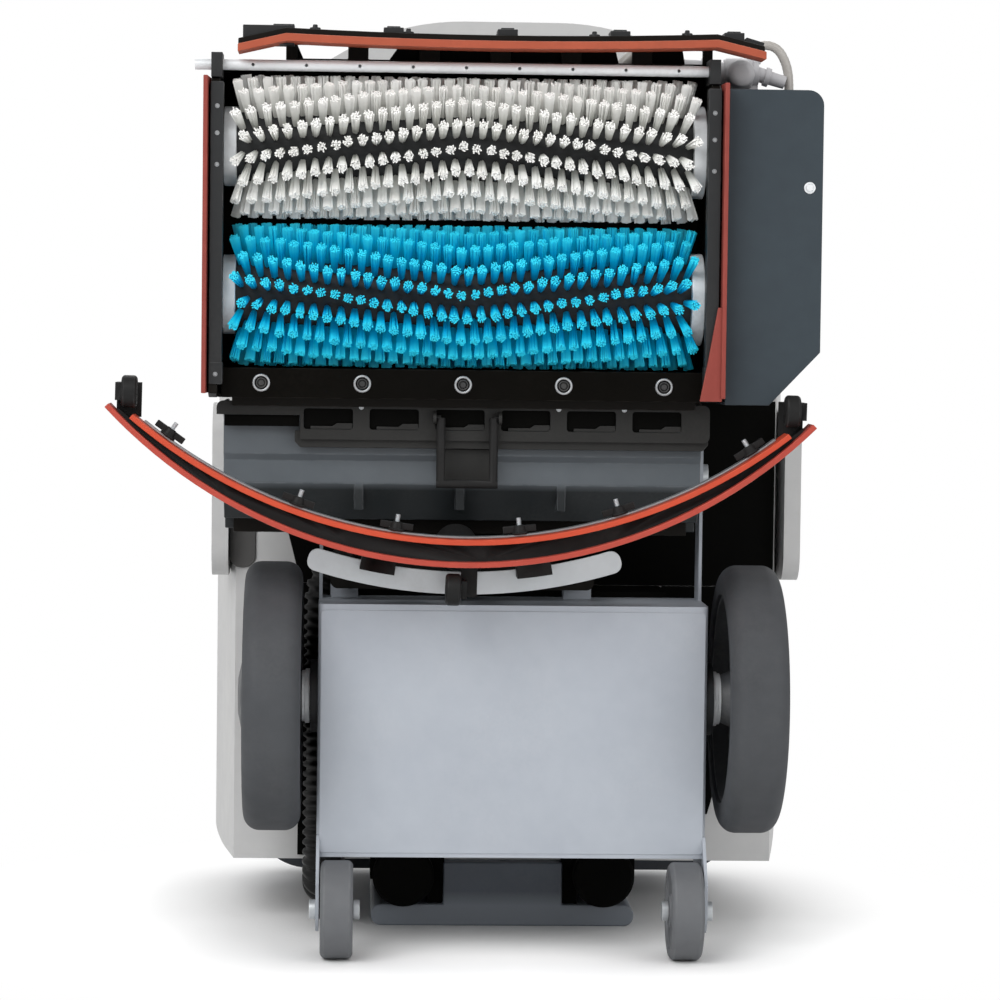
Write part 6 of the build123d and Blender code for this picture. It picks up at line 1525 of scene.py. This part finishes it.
    def build(self) -> None:
        """Add end rails, screws, the front skirt's fittings and the valve."""
        shop = self.shop
        rails = Form()
        rivets = []
        for outer, inward in zip(self.wall_x, (1, -1)):
            for width, y, z in (self.rail, self.toe):
                rails.block((outer, outer + width * inward), y, z)
            rivets += [at(outer + self.rivet_in * inward, y, z) for y, z in self.rivet_spots]
        rails.piece(shop, "deck_end_rails", Dress("wall_moulding", "black_plastic", 1.0), "deck")
        fix = shop.fasteners.fix
        fix(shop, "rail_rivets", self.rivet, DOWN, rivets, "deck")
        washers = [at(x, self.washer_y, self.strip_z) for x in self.strip_x]
        fix(shop, "strip_washers", self.washer, DOWN, washers, "deck", "deck_screws")
        heads = [at(x, self.screw_y, self.strip_z) for x in self.strip_x]
        fix(shop, "strip_screw_heads", self.screw, DOWN, heads, "deck")
        fix(shop, "cover_screw", self.cover_screw, DOWN, [at(*self.cover_spot)], "deck")
        self._front_skirt()
        valve = Form().block(*self.valve_foot)
        for turning in self.valve:
            valve.turned(turning)
        valve.piece(shop, "valve_body", Dress("valve_plastic", "tray_plastic", 0.5), "deck", "solution_valve")

    def _front_skirt(self) -> None:
        """Clamp blocks on the carrier, the skirt's loose end and the black sheets of painted shade behind the
        windows.
        """
        shop = self.shop
        blocks = Form()
        for x in self.block_x:
            for half, y, rise in self.clamp_steps:
                blocks.block((x - half, x + half), y, (self.carrier_z + rise[0], self.carrier_z + rise[1]))
        for box in self.end_blocks:
            blocks.block(*box)
        blocks.cuboid(at(*self.corner_spot), self.corner_size, radians(self.corner_turn))
        for middle in shop.islands("skirt_knobs"):
            foot = middle - Vector((0.0, 0.0, self.knob_foot * MM))
            blocks.lathe(foot, AHEAD, self.knob, self.knob_sides)
        dress = Dress("wall_moulding", "black_plastic", 0.6)
        blocks.piece(shop, "skirt_clamp_blocks", dress, "deck", "skirt_knobs")
        flap = Form().plate(self.flap, self.flap_y)
        flap.piece(shop, "skirt_end_flap", Dress("skirt_rubber", "skirt_rubber"), "deck")
        # Black sheets behind the carrier's windows: painted shade
        backing = Form()
        for outline in self.backing:
            backing.plate(outline, self.backing_y)
        backing.piece(shop, "skirt_window_painted_shade", Dress("matt_black_and_painted_shade", "black_plastic", 0.5), "deck")


@dataclass
class Tray(SubAssembly):
    """Debris tray with its slotted rim and bail.

    Attributes:
        rim_y: Height of the rim's face.
        slots: Middles of the rim's slots across the machine.
        slot_z: Ends of a slot along the machine.
        slot_half: Half the width of a slot's back.
        back_depth: Depths of the black backs behind the rim's face, which are painted shade.
        lip: Outline of a slot's lip, from the slot's middle and its low edge.
        lip_depth: Depths of the lips.
        side_back_x: Ends across the machine of the black back of painted shade beside the slots.
        side_back_depth: Its depths.
        side_back_z: Its ends along the machine.
        flange: Outline of the rim's lower flange.
        flange_depth: Its depths.
        pad_x: Ends of the pad behind the bail across the machine.
        pad_z: Its ends along the machine.
        pad_corner: Radius of its corners.
        pad_depth: Its depths.
        screw_x: Places of the rim's screws.
        screw_z: Their place along the machine.
        screw_rise: How far their seats stand out of the rim's face.
        screw: Their sizes.
    """

    DRESSES: ClassVar[dict[str, Dress]] = {
        "debris_tray": Dress("tray_moulding", "tray_plastic", 1.0),
        "tray_rim": Dress("rim_moulding", "black_plastic"),
        "tray_bail": Dress("black_moulding", "black_plastic", 0.0),
    }
    rim_y: float = 62.0
    slots: tuple[float, ...] = (-172.5, -112.5, -52.5, 7.5, 67.5, 127.5)
    slot_z: Span = (487.4, 506.1)
    slot_half: float = 22.3
    back_depth: Span = (3.0, 3.9)
    lip: Outline = ((-16.0, 0.0), (22.2, 0.0), (22.2, 5.6), (8.0, 5.6), (4.0, 2.8), (-16.0, 2.8))
    lip_depth: Span = (1.0, 2.9)
    side_back_x: Span = (-267.0, -199.0)
    side_back_depth: Span = (4.4, 5.4)
    side_back_z: Span = (489.5, 499.8)
    flange: Outline = ((-203, 476), (-203, 486), (175, 486), (175, 476), (170, 470.5), (-198, 470.5))
    flange_depth: Span = (4.2, 8.0)
    pad_x: Span = (-71.0, -21.0)
    pad_z: Span = (440.0, 470.0)
    pad_corner: float = 4.0
    pad_depth: Span = (11.0, 15.6)
    screw_x: tuple[float, ...] = (-142.5, 37.5, 97.5)
    screw_z: float = 507.8
    screw_rise: float = 0.3
    screw: Fastener = Fastener(ring=2.0, head=1.7, finish="bare_steel")

    def _behind(self, depths: Span) -> Span:
        """Heights of two depths behind the rim's face."""
        return (self.rim_y + depths[0], self.rim_y + depths[1])

    def build(self) -> None:
        """Add the slots' black backs of painted shade, their lips, the rim's lower flange and its screws."""
        shop = self.shop
        # Black blocks behind the slots stand for the shade inside them: painted shade
        backs = Form()
        lips = Form()
        for x in self.slots:
            backs.block((x - self.slot_half, x + self.slot_half), self._behind(self.back_depth), self.slot_z)
            outline = [(x + across, self.slot_z[0] + along) for across, along in self.lip]
            lips.plate(outline, self._behind(self.lip_depth))
        backs.block(self.side_back_x, self._behind(self.side_back_depth), self.side_back_z)
        backs.piece(shop, "slot_painted_shade", Dress("matt_black_and_painted_shade", "black_plastic", 0.2), "tray")
        lips.piece(shop, "slot_lips", Dress("rim_moulding", "black_plastic", 0.5), "tray")
        flange = Form().plate(self.flange, self._behind(self.flange_depth))
        flange.plate(soft_corners(self.pad_x, self.pad_z, self.pad_corner), self._behind(self.pad_depth))
        flange.piece(shop, "rim_flange", Dress("rim_moulding", "black_plastic"), "tray")
        spots = [at(x, self.rim_y - self.screw_rise, self.screw_z) for x in self.screw_x]
        shop.fasteners.fix(shop, "rim_screws", self.screw, DOWN, spots, "tray")


@dataclass
class Squeegee(SubAssembly):
    """Curved squeegee with its blades, wing nuts, rollers, rail and yoke.

    Attributes:
        bow_x: Middle of the front blade's bow across the machine.
        bow_z: Middle of that bow along the machine.
        nut_foot: How far a nut's foot lies outside its CAD knob's middle.
        nut: Profile of a nut.
        nut_sides: Number of a nut's sides.
        wing: Size of a wing along, in height and across.
        wing_rise: Place of a wing above the nut's foot.
        wing_root: Distance of a wing's root from the nut's axis.
        stud: Radii of the stud, its thread's crests and its thread's roots.
        thread_start: Place of the first crest above the foot.
        thread_pitch: Distance from crest to crest.
        thread_turns: Number of crests.
        stud_sides: Number of a stud's sides.
    """

    DRESSES: ClassVar[dict[str, Dress]] = {
        "squeegee_body": Dress("black_moulding", "black_plastic"),
        "squeegee_rear_blade": Dress("rear_blade_rubber", "blade_rubber", 0.7),
        "squeegee_front_blade": Dress("blade_rubber", "blade_rubber", 0.7),
        "squeegee_clamp_band": Dress("dull_alloy", "black_paint", 0.3),
        "squeegee_roller_left": Dress("black_moulding", "black_plastic", 1.0),
        "squeegee_roller_right": Dress("black_moulding", "black_plastic", 1.0),
        "squeegee_roller_centre": Dress("black_moulding", "black_plastic", 1.0),
        "swing_rail": Dress("bare_steel", "zinc", 0.5),
        "lift_yoke": Dress("black_coat", "black_paint", 1.0),
    }
    bow_x: float = -45.6
    bow_z: float = 858.0
    nut_foot: float = 5.9
    nut: Outline = ((0, 7.6), (2, 7.6), (2, 6.2), (7, 5.4), (8.5, 4.4), (8.5, 2.4))
    nut_sides: int = 20
    wing: Point = (11.0, 5.0, 6.0)
    wing_rise: float = 5.0
    wing_root: float = 4.0
    stud: Point = (2.2, 2.3, 1.8)
    thread_start: float = 8.4
    thread_pitch: float = 1.2
    thread_turns: int = 6
    stud_sides: int = 12

    def build(self) -> None:
        """Make wing nuts with threaded studs in place of the plain knobs."""
        shop = self.shop
        shank, crest, root = self.stud
        thread = [(0, shank)]
        for turn in range(self.thread_turns):
            start = self.thread_start + self.thread_pitch * turn
            thread += [(start, crest), (start + self.thread_pitch / 2, root)]
        nuts = Form()
        studs = Form()
        for middle in shop.islands("squeegee_knobs"):
            inward = at(self.bow_x, 0.0, self.bow_z) - middle
            inward.y = 0.0
            inward.normalize()
            along = Vector((inward.z, 0.0, -inward.x))
            foot = middle - inward * self.nut_foot * MM
            nuts.lathe(foot, inward, self.nut, self.nut_sides)
            for side in SIDES:
                reach = self.wing_root + self.wing[0] / 2
                spot = foot + inward * self.wing_rise * MM + along * side * reach * MM
                nuts.cuboid(spot, self.wing, -asin(along.z))
            studs.lathe(foot, inward, thread, self.stud_sides)
        dress = Dress("black_moulding", "black_plastic", 0.9)
        nuts.piece(shop, "squeegee_wing_nuts", dress, "squeegee", "squeegee_knobs")
        studs.piece(shop, "squeegee_studs", Dress("bare_steel", "zinc", 0.1), "squeegee")


@dataclass
class Handle(SubAssembly):
    """Folding handle with its ribbed grips and console.

    Attributes:
        bar_y: Height of the crossbar.
        bar_z: Place of the crossbar along the machine.
        grip_x: Ends of a grip from the machine's middle.
        grip: Sizes of a grip.
        screen: Box of the console's display.
        key_x: Places of the console's keys across the machine.
        key_y: Their height.
        key_z: Their foot along the machine.
        key: Profile of a key.
        key_sides: Number of a key's sides.
    """

    DRESSES: ClassVar[dict[str, Dress]] = {
        "handle_frame": Dress("black_coat", "black_paint"),
        "console": Dress("black_moulding", "black_plastic", 1.2),
        "drive_paddle": Dress("wall_moulding", "black_plastic"),
        "stop_button": Dress("stop_red", "red_plastic"),
    }
    bar_y: float = 470.0
    bar_z: float = 810.0
    grip_x: Span = (90.2, 199.8)
    grip: Tube = Tube(radius=15.9, rib=1.6, pitch=6.4, step=1.1, sides=30)
    screen: Box = ((-62.0, 4.0), (472.0, 512.0), (839.0, 840.8))
    key_x: tuple[float, ...] = (-50.0, -28.0, -6.0)
    key_y: float = 464.5
    key_z: float = 839.5
    key: Outline = ((0, 5.0), (2.0, 5.0), (2.6, 4.0))
    key_sides: int = 20

    def build(self) -> None:
        """Add ribbed grips, and the console's display and keys."""
        shop = self.shop
        lines = [[at(side * x, self.bar_y, self.bar_z) for x in self.grip_x] for side in SIDES]
        grips = shop.hoses.lay(shop, "handle_grips_ribbed", self.grip, *lines)
        shop.ride(grips, "handle", "black_rubber", "handle_grips")
        screen = Form().block(*self.screen)
        screen.piece(shop, "console_screen", Dress("glass_dark", "black_plastic", 0.6), "handle")
        keys = Form()
        for x in self.key_x:
            keys.lathe(at(x, self.key_y, self.key_z), AHEAD, self.key, self.key_sides)
        keys.piece(shop, "console_keys", Dress("body_trim", "black_plastic", 0.3), "handle")


@dataclass
class Brushes(SubAssembly):
    """The two tufted rollers.

    Attributes:
        axis_x: Middle of the brushes across the machine.
        axis_y: Height of their axes.
        front_z: Place of the white brush.
        rear_z: Place of the blue brush.
        length: Length of the tufted part.
        foot_radius: Radius where the tufts stand.
        tip_radius: Radius of the tips.
        rows: Rows of tufts round a brush.
        tufts: Tufts in a row.
        twist: Lead of the chevron from the middle to an end, in degrees.
        end_lean: How far the last tufts lean outwards, in radians.
        filaments: Filaments in a tuft.
        filament: Radius of a filament.
        spread: Radius of a tuft's foot.
        splay: How far the outer filaments fan out, in radians.
    """

    DRESSES: ClassVar[dict[str, Dress]] = {
        "front_brush_core": Dress("wall_moulding", "black_plastic", 0.6),
        "front_brush_hubs": Dress("bright_hub", "alloy", 1.0),
        "rear_brush_core": Dress("wall_moulding", "black_plastic", 0.6),
        "rear_brush_hubs": Dress("bright_hub", "alloy", 1.0),
    }
    FRONT_SEED: ClassVar[int] = 3
    REAR_SEED: ClassVar[int] = 57
    axis_x: float = -51.0
    axis_y: float = 70.0
    front_z: float = 743.0
    rear_z: float = 609.0
    length: float = 402.0
    foot_radius: float = 34.0
    tip_radius: float = 65.6
    rows: int = 18
    tufts: int = 34
    twist: float = 34.0
    end_lean: float = 0.2
    filaments: int = 36
    filament: float = 0.86
    spread: float = 2.3
    splay: float = 0.068

    def build(self) -> None:
        """Make both rollers' tufts."""
        shop = self.shop
        recipe = TuftRecipe()
        values = {
            "Rows": self.rows, "Tufts": self.tufts, "Length": self.length * MM,
            "Foot radius": self.foot_radius * MM, "Tip radius": self.tip_radius * MM,
            "End lean": self.end_lean, "Filaments": self.filaments, "Filament": self.filament * MM,
            "Spread": self.spread * MM, "Splay": self.splay}
        for body, z, twist, colour, seed in (
            ("front_brush", self.front_z, self.twist, "white", self.FRONT_SEED),
            ("rear_brush", self.rear_z, -self.twist, "blue", self.REAR_SEED),
        ):
            own = {"Twist": radians(twist), "Seed": seed, "Material": shop.paint[f"{colour}_bristle"]}
            tufts = recipe.run(shop, f"{body}_tufts", None, values | own)
            tufts.data.transform(Matrix.Translation(at(self.axis_x, self.axis_y, z)))
            shop.ride(tufts, body, f"{colour}_nylon", f"{body}_bristles")


@dataclass
class Hoses(SubAssembly):
    """Suction hose, squeegee boot, drain bellows and the thin supply hoses.

    Attributes:
        suction: Sizes of the suction hose.
        suction_route: Its control points, in machine millimetres.
        suction_held: Where it starts to follow the yoke; not used.
        suction_free: From where it follows the yoke alone; not used.
        boot: Sizes of the squeegee's boot.
        boot_low: Middle of the squeegee's nozzle.
        boot_high: Middle of the yoke's ring.
        drain: Sizes of a drain hose.
        drain_x: Place of a drain hose from the machine's middle.
        drain_y: Its ends.
        drain_z: Its place along the machine.
        cap_y: Height of a drain cap's outer face.
        cap: Profile of a drain cap.
        cap_sides: Number of a cap's sides.
        fillers: Boxes, on the right, of the black blocks of painted shade beside a drain hose.
        supply: Sizes of the hose over the valve.
        supply_route: Its control points.
        feed: Sizes of the hose from the valve to the hood.
        feed_route: Its control points.
    """

    suction: Tube = Tube(radius=20.8, rib=3.2, pitch=9.5)
    suction_route: tuple[Point, ...] = (
        (-46.5, 142.8, 358), (-46.5, 178, 358), (-46.5, 232, 358), (-90, 240, 358), (-150, 240, 357),
        (-174, 240, 338), (-174, 240, 290), (-174, 240, 198), (-174, 240, 100), (-174, 242, 50),
        (-174, 268, 38), (-174, 320, 38), (-174, 400, 38), (-174, 439, 38))
    suction_held: Point = (-46.5, 236, 358)
    suction_free: Point = (-46.5, 150, 358)
    boot: Tube = Tube(radius=18.4, rib=3.2, pitch=12.5)
    boot_low: Point = (-54.7, 76.5, 381.6)
    boot_high: Point = (-46.5, 129.8, 358.0)
    drain: Tube = Tube(radius=27.9, rib=3.4, pitch=10.5)
    drain_x: float = 97.0
    drain_y: Span = (250.2, 439.6)
    drain_z: float = 51.3
    cap_y: float = 228.2
    cap: Outline = ((0, 20), (0, 27), (3, 29.8), (14, 29.8), (15, 27.6), (21.6, 27.6))
    cap_sides: int = 48
    fillers: tuple[Box, ...] = (
        ((57.0, 73.0), (258.0, 300.0), (20.0, 72.0)), ((121.0, 129.0), (258.0, 300.0), (44.0, 72.0)))
    supply: Tube = Tube(radius=4.4, rib=0.2, pitch=4.0, sides=16, finish="clear_hose")
    supply_route: tuple[Point, ...] = (
        (214, 110, 830), (216, 110, 841), (227, 110, 846), (239, 110, 842), (246.5, 110, 829),
        (249.5, 110, 814), (249.5, 110, 799.5))
    feed: Tube = Tube(radius=6.5, rib=0.2, pitch=4.0, sides=16, finish="clear_hose")
    feed_route: tuple[Point, ...] = (
        (152, 104, 824), (138, 104, 827), (124, 102, 834), (110, 100, 835), (98, 98, 829), (92, 98, 819))

    def build(self) -> None:
        """Make the hoses and add the drains' caps."""
        shop = self.shop
        lay = shop.hoses.lay
        hose = lay(shop, "suction_hose_ribbed", self.suction, [at(*point) for point in self.suction_route])
        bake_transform(hose)
        shop.declare(hose, "black_rubber", "suction_hose")
        low, high = at(*self.boot_low), at(*self.boot_high)
        boot = lay(shop, "suction_boot_bellows", self.boot, [low, low.lerp(high, 0.5), high])
        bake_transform(boot)
        shop.declare(boot, "black_rubber", "suction_boot")
        self._drains()
        supply = lay(shop, "supply_hose", self.supply, [at(*point) for point in self.supply_route])
        shop.ride(supply, "deck", "white_nylon", "solution_hose")
        feed = lay(shop, "feed_hose", self.feed, [at(*point) for point in self.feed_route])
        shop.ride(feed, "deck", "white_nylon")

    def _drains(self) -> None:
        """Drain hoses with their caps and the black blocks of painted shade beside them."""
        shop = self.shop
        lines = [[at(side * self.drain_x, y, self.drain_z) for y in self.drain_y] for side in SIDES]
        bellows = shop.hoses.lay(shop, "drain_bellows", self.drain, *lines)
        shop.ride(bellows, "chassis", "black_rubber", "drain_hoses")
        caps = Form()
        # Black blocks beside the drain hoses: painted shade
        fillers = Form()
        for side in SIDES:
            caps.lathe(at(side * self.drain_x, self.cap_y, self.drain_z), UP, self.cap, self.cap_sides)
            for x, y, z in self.fillers:
                fillers.block((side * x[0], side * x[1]), y, z)
        caps.piece(shop, "drain_caps", Dress("matt_black_and_painted_shade", "black_rubber"), "chassis")
        fillers.piece(shop, "drain_painted_shade", Dress("matt_black_and_painted_shade", "black_plastic", 0.6), "chassis")


@dataclass(frozen=True)
class Lamp:
    """A broad soft lamp.

    Attributes:
        name: Its name.
        place: Its place in metres.
        power: Its power in watts.
        size: Its width in metres.
    """

    name: str
    place: Point
    power: float
    size: float


@dataclass
class Studio:
    """Camera, light and floor.

    Attributes:
        eye: Camera's place in machine millimetres.
        yaw: Its turn to the right, in degrees.
        pitch: Its dip, in degrees.
        roll: Its roll, in degrees.
        focal_pixels: Focal length in pixels of the image.
        image: Width of the image in pixels.
        sensor: Width of the camera's sensor in millimetres.
        view_end: How far the camera sees, in metres.
        lamps: Lamps above the camera, on the right and behind.
        lamp_aim: Where they point, in metres.
        sky: Strength of the surroundings' light.
        floor_half: Half the width of the floor, in metres.
        floor_parts: Number of its parts each way.
        floor_white: Linear colour of the floor.
        floor_rough: Roughness of the floor.
        floor_specular: Strength of its plain reflection.
        shadow_reach: Distances from the machine over which the floor turns plain white, in metres.
        corner_reach: How near things fade the floor's glow, as painted contact shadow, in metres.
        corner_power: How sharply they do.
        glow: Strength by which the open floor is lifted.
    """

    eye: Point = (-151.9, -3133.0, 586.4)
    yaw: float = 2.45
    pitch: float = 2.9
    roll: float = 0.7
    focal_pixels: float = 3507.0
    image: float = 1000.0
    sensor: float = 36.0
    view_end: float = 60.0
    lamps: tuple[Lamp, ...] = (
        Lamp("Key", (-1.5, -2.5, 2.4), 62.0, 2.0),
        Lamp("Fill", (1.9, -2.2, 1.3), 19.0, 2.0),
        Lamp("Back", (0.4, 2.6, 2.4), 34.0, 2.2))
    lamp_aim: Point = (0.0, 0.0, 0.45)
    sky: float = 0.58
    floor_half: float = 6.0
    floor_parts: int = 24
    floor_white: float = 0.9
    floor_rough: float = 0.9
    floor_specular: float = 0.1
    shadow_reach: Span = (0.31, 0.56)
    corner_reach: float = 0.16
    corner_power: float = 3.0
    glow: float = 0.38

    def build(self) -> None:
        """Set the camera, the lamps, the world and the floor."""
        bpy.context.scene.view_settings.view_transform = "Standard"
        self._camera()
        self._lamps()
        self._world()
        self._floor()

    def _camera(self) -> None:
        """Camera at the photograph's viewing angle."""
        yaw, pitch, roll = radians(self.yaw), radians(self.pitch), radians(self.roll)
        aim = Vector((sin(yaw) * cos(pitch), cos(yaw) * cos(pitch), -sin(pitch)))
        level = Vector((cos(yaw), -sin(yaw), 0.0))
        above = level.cross(aim)
        right = level * cos(roll) + above * sin(roll)
        up = above * cos(roll) - level * sin(roll)
        lens = bpy.data.cameras.new("Camera")
        lens.sensor_width = self.sensor
        lens.lens = self.focal_pixels * self.sensor / self.image
        lens.clip_end = self.view_end
        camera = bpy.data.objects.new("Camera", lens)
        turn = Matrix((right, up, -aim)).transposed().to_4x4()
        camera.matrix_world = Matrix.Translation(at(*self.eye)) @ turn
        bpy.context.scene.collection.objects.link(camera)
        bpy.context.scene.camera = camera

    def _lamps(self) -> None:
        """Broad soft lamps that point at the machine."""
        for lamp in self.lamps:
            light = bpy.data.lights.new(lamp.name, "AREA")
            light.energy = lamp.power
            light.size = lamp.size
            made = bpy.data.objects.new(lamp.name, light)
            made.location = lamp.place
            ray = Vector(self.lamp_aim) - Vector(lamp.place)
            made.rotation_euler = ray.to_track_quat("-Z", "Y").to_euler()
            bpy.context.scene.collection.objects.link(made)

    def _world(self) -> None:
        """Even pale surroundings, pure white to the camera and through clear pieces."""
        world = bpy.data.worlds.new("Surroundings")
        bpy.context.scene.world = world
        world.use_nodes = True
        bench = NodeBench(world.node_tree)
        light = bench.put("ShaderNodeLightPath").outputs
        seen = bench.math("MAXIMUM", light["Is Camera Ray"], light["Is Transmission Ray"])
        backdrop = world.node_tree.nodes["Background"]
        backdrop.inputs["Color"].default_value = (1.0, 1.0, 1.0, 1.0)
        strength = bench.math("MULTIPLY_ADD", seen, 1.0 - self.sky, self.sky)
        bench.feed(backdrop.inputs["Strength"], strength)

    def _floor(self) -> None:
        """White floor that keeps the machine's shadow, adds painted contact shadow near it, and turns plain
        white further out.
        """
        shape = bmesh.new()
        parts = self.floor_parts
        bmesh.ops.create_grid(shape, x_segments=parts, y_segments=parts, size=self.floor_half)
        mesh = bpy.data.meshes.new("floor")
        shape.to_mesh(mesh)
        shape.free()
        floor = bpy.data.objects.new("floor", mesh)
        bpy.context.scene.collection.objects.link(floor)
        material, bench, shader, place = start_material("floor_white")
        shader.inputs["Base Color"].default_value = (*[self.floor_white] * 3, 1.0)
        shader.inputs["Roughness"].default_value = self.floor_rough
        shader.inputs["Specular IOR Level"].default_value = self.floor_specular
        seen = bench.put("ShaderNodeLightPath").outputs["Is Camera Ray"]
        away = bench.put("ShaderNodeVectorMath", {0: place}, operation="LENGTH").outputs["Value"]
        far = bench.share(away, *self.shadow_reach, interpolation_type="SMOOTHSTEP")
        # Ambient occlusion fades the camera-only glow near the machine: painted contact shadow
        near = {"Distance": self.corner_reach}
        open_sky = bench.put("ShaderNodeAmbientOcclusion", near, samples=8).outputs["AO"]
        glow = bench.product(bench.math("POWER", open_sky, self.corner_power), self.glow)
        lift = bench.put("ShaderNodeEmission", {"Strength": bench.product(seen, glow)})
        lit = bench.put("ShaderNodeAddShader", {0: shader.outputs[0], 1: lift.outputs[0]})
        white = bench.put("ShaderNodeEmission", {"Strength": 1.0})
        both = bench.put("ShaderNodeMixShader", {
            0: bench.product(far, seen), 1: lit.outputs[0], 2: white.outputs[0]})
        surface = material.node_tree.nodes["Material Output"].inputs["Surface"]
        bench.feed(surface, both.outputs[0])
        mesh.materials.append(material)


def main() -> None:
    """Load the frame, dress every sub-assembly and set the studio."""
    logging.basicConfig(level=logging.INFO, format="%(message)s")
    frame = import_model()
    shop = Workshop(frame)
    Studio().build()
    kinds = (Chassis, Wheels, Body, Deck, Tray, Squeegee, Handle, Brushes, Hoses)
    assemblies = [kind(shop) for kind in kinds]
    for assembly in assemblies:
        assembly.dress()
    for assembly in assemblies:
        assembly.build()


if __name__ == "__main__":
    main()
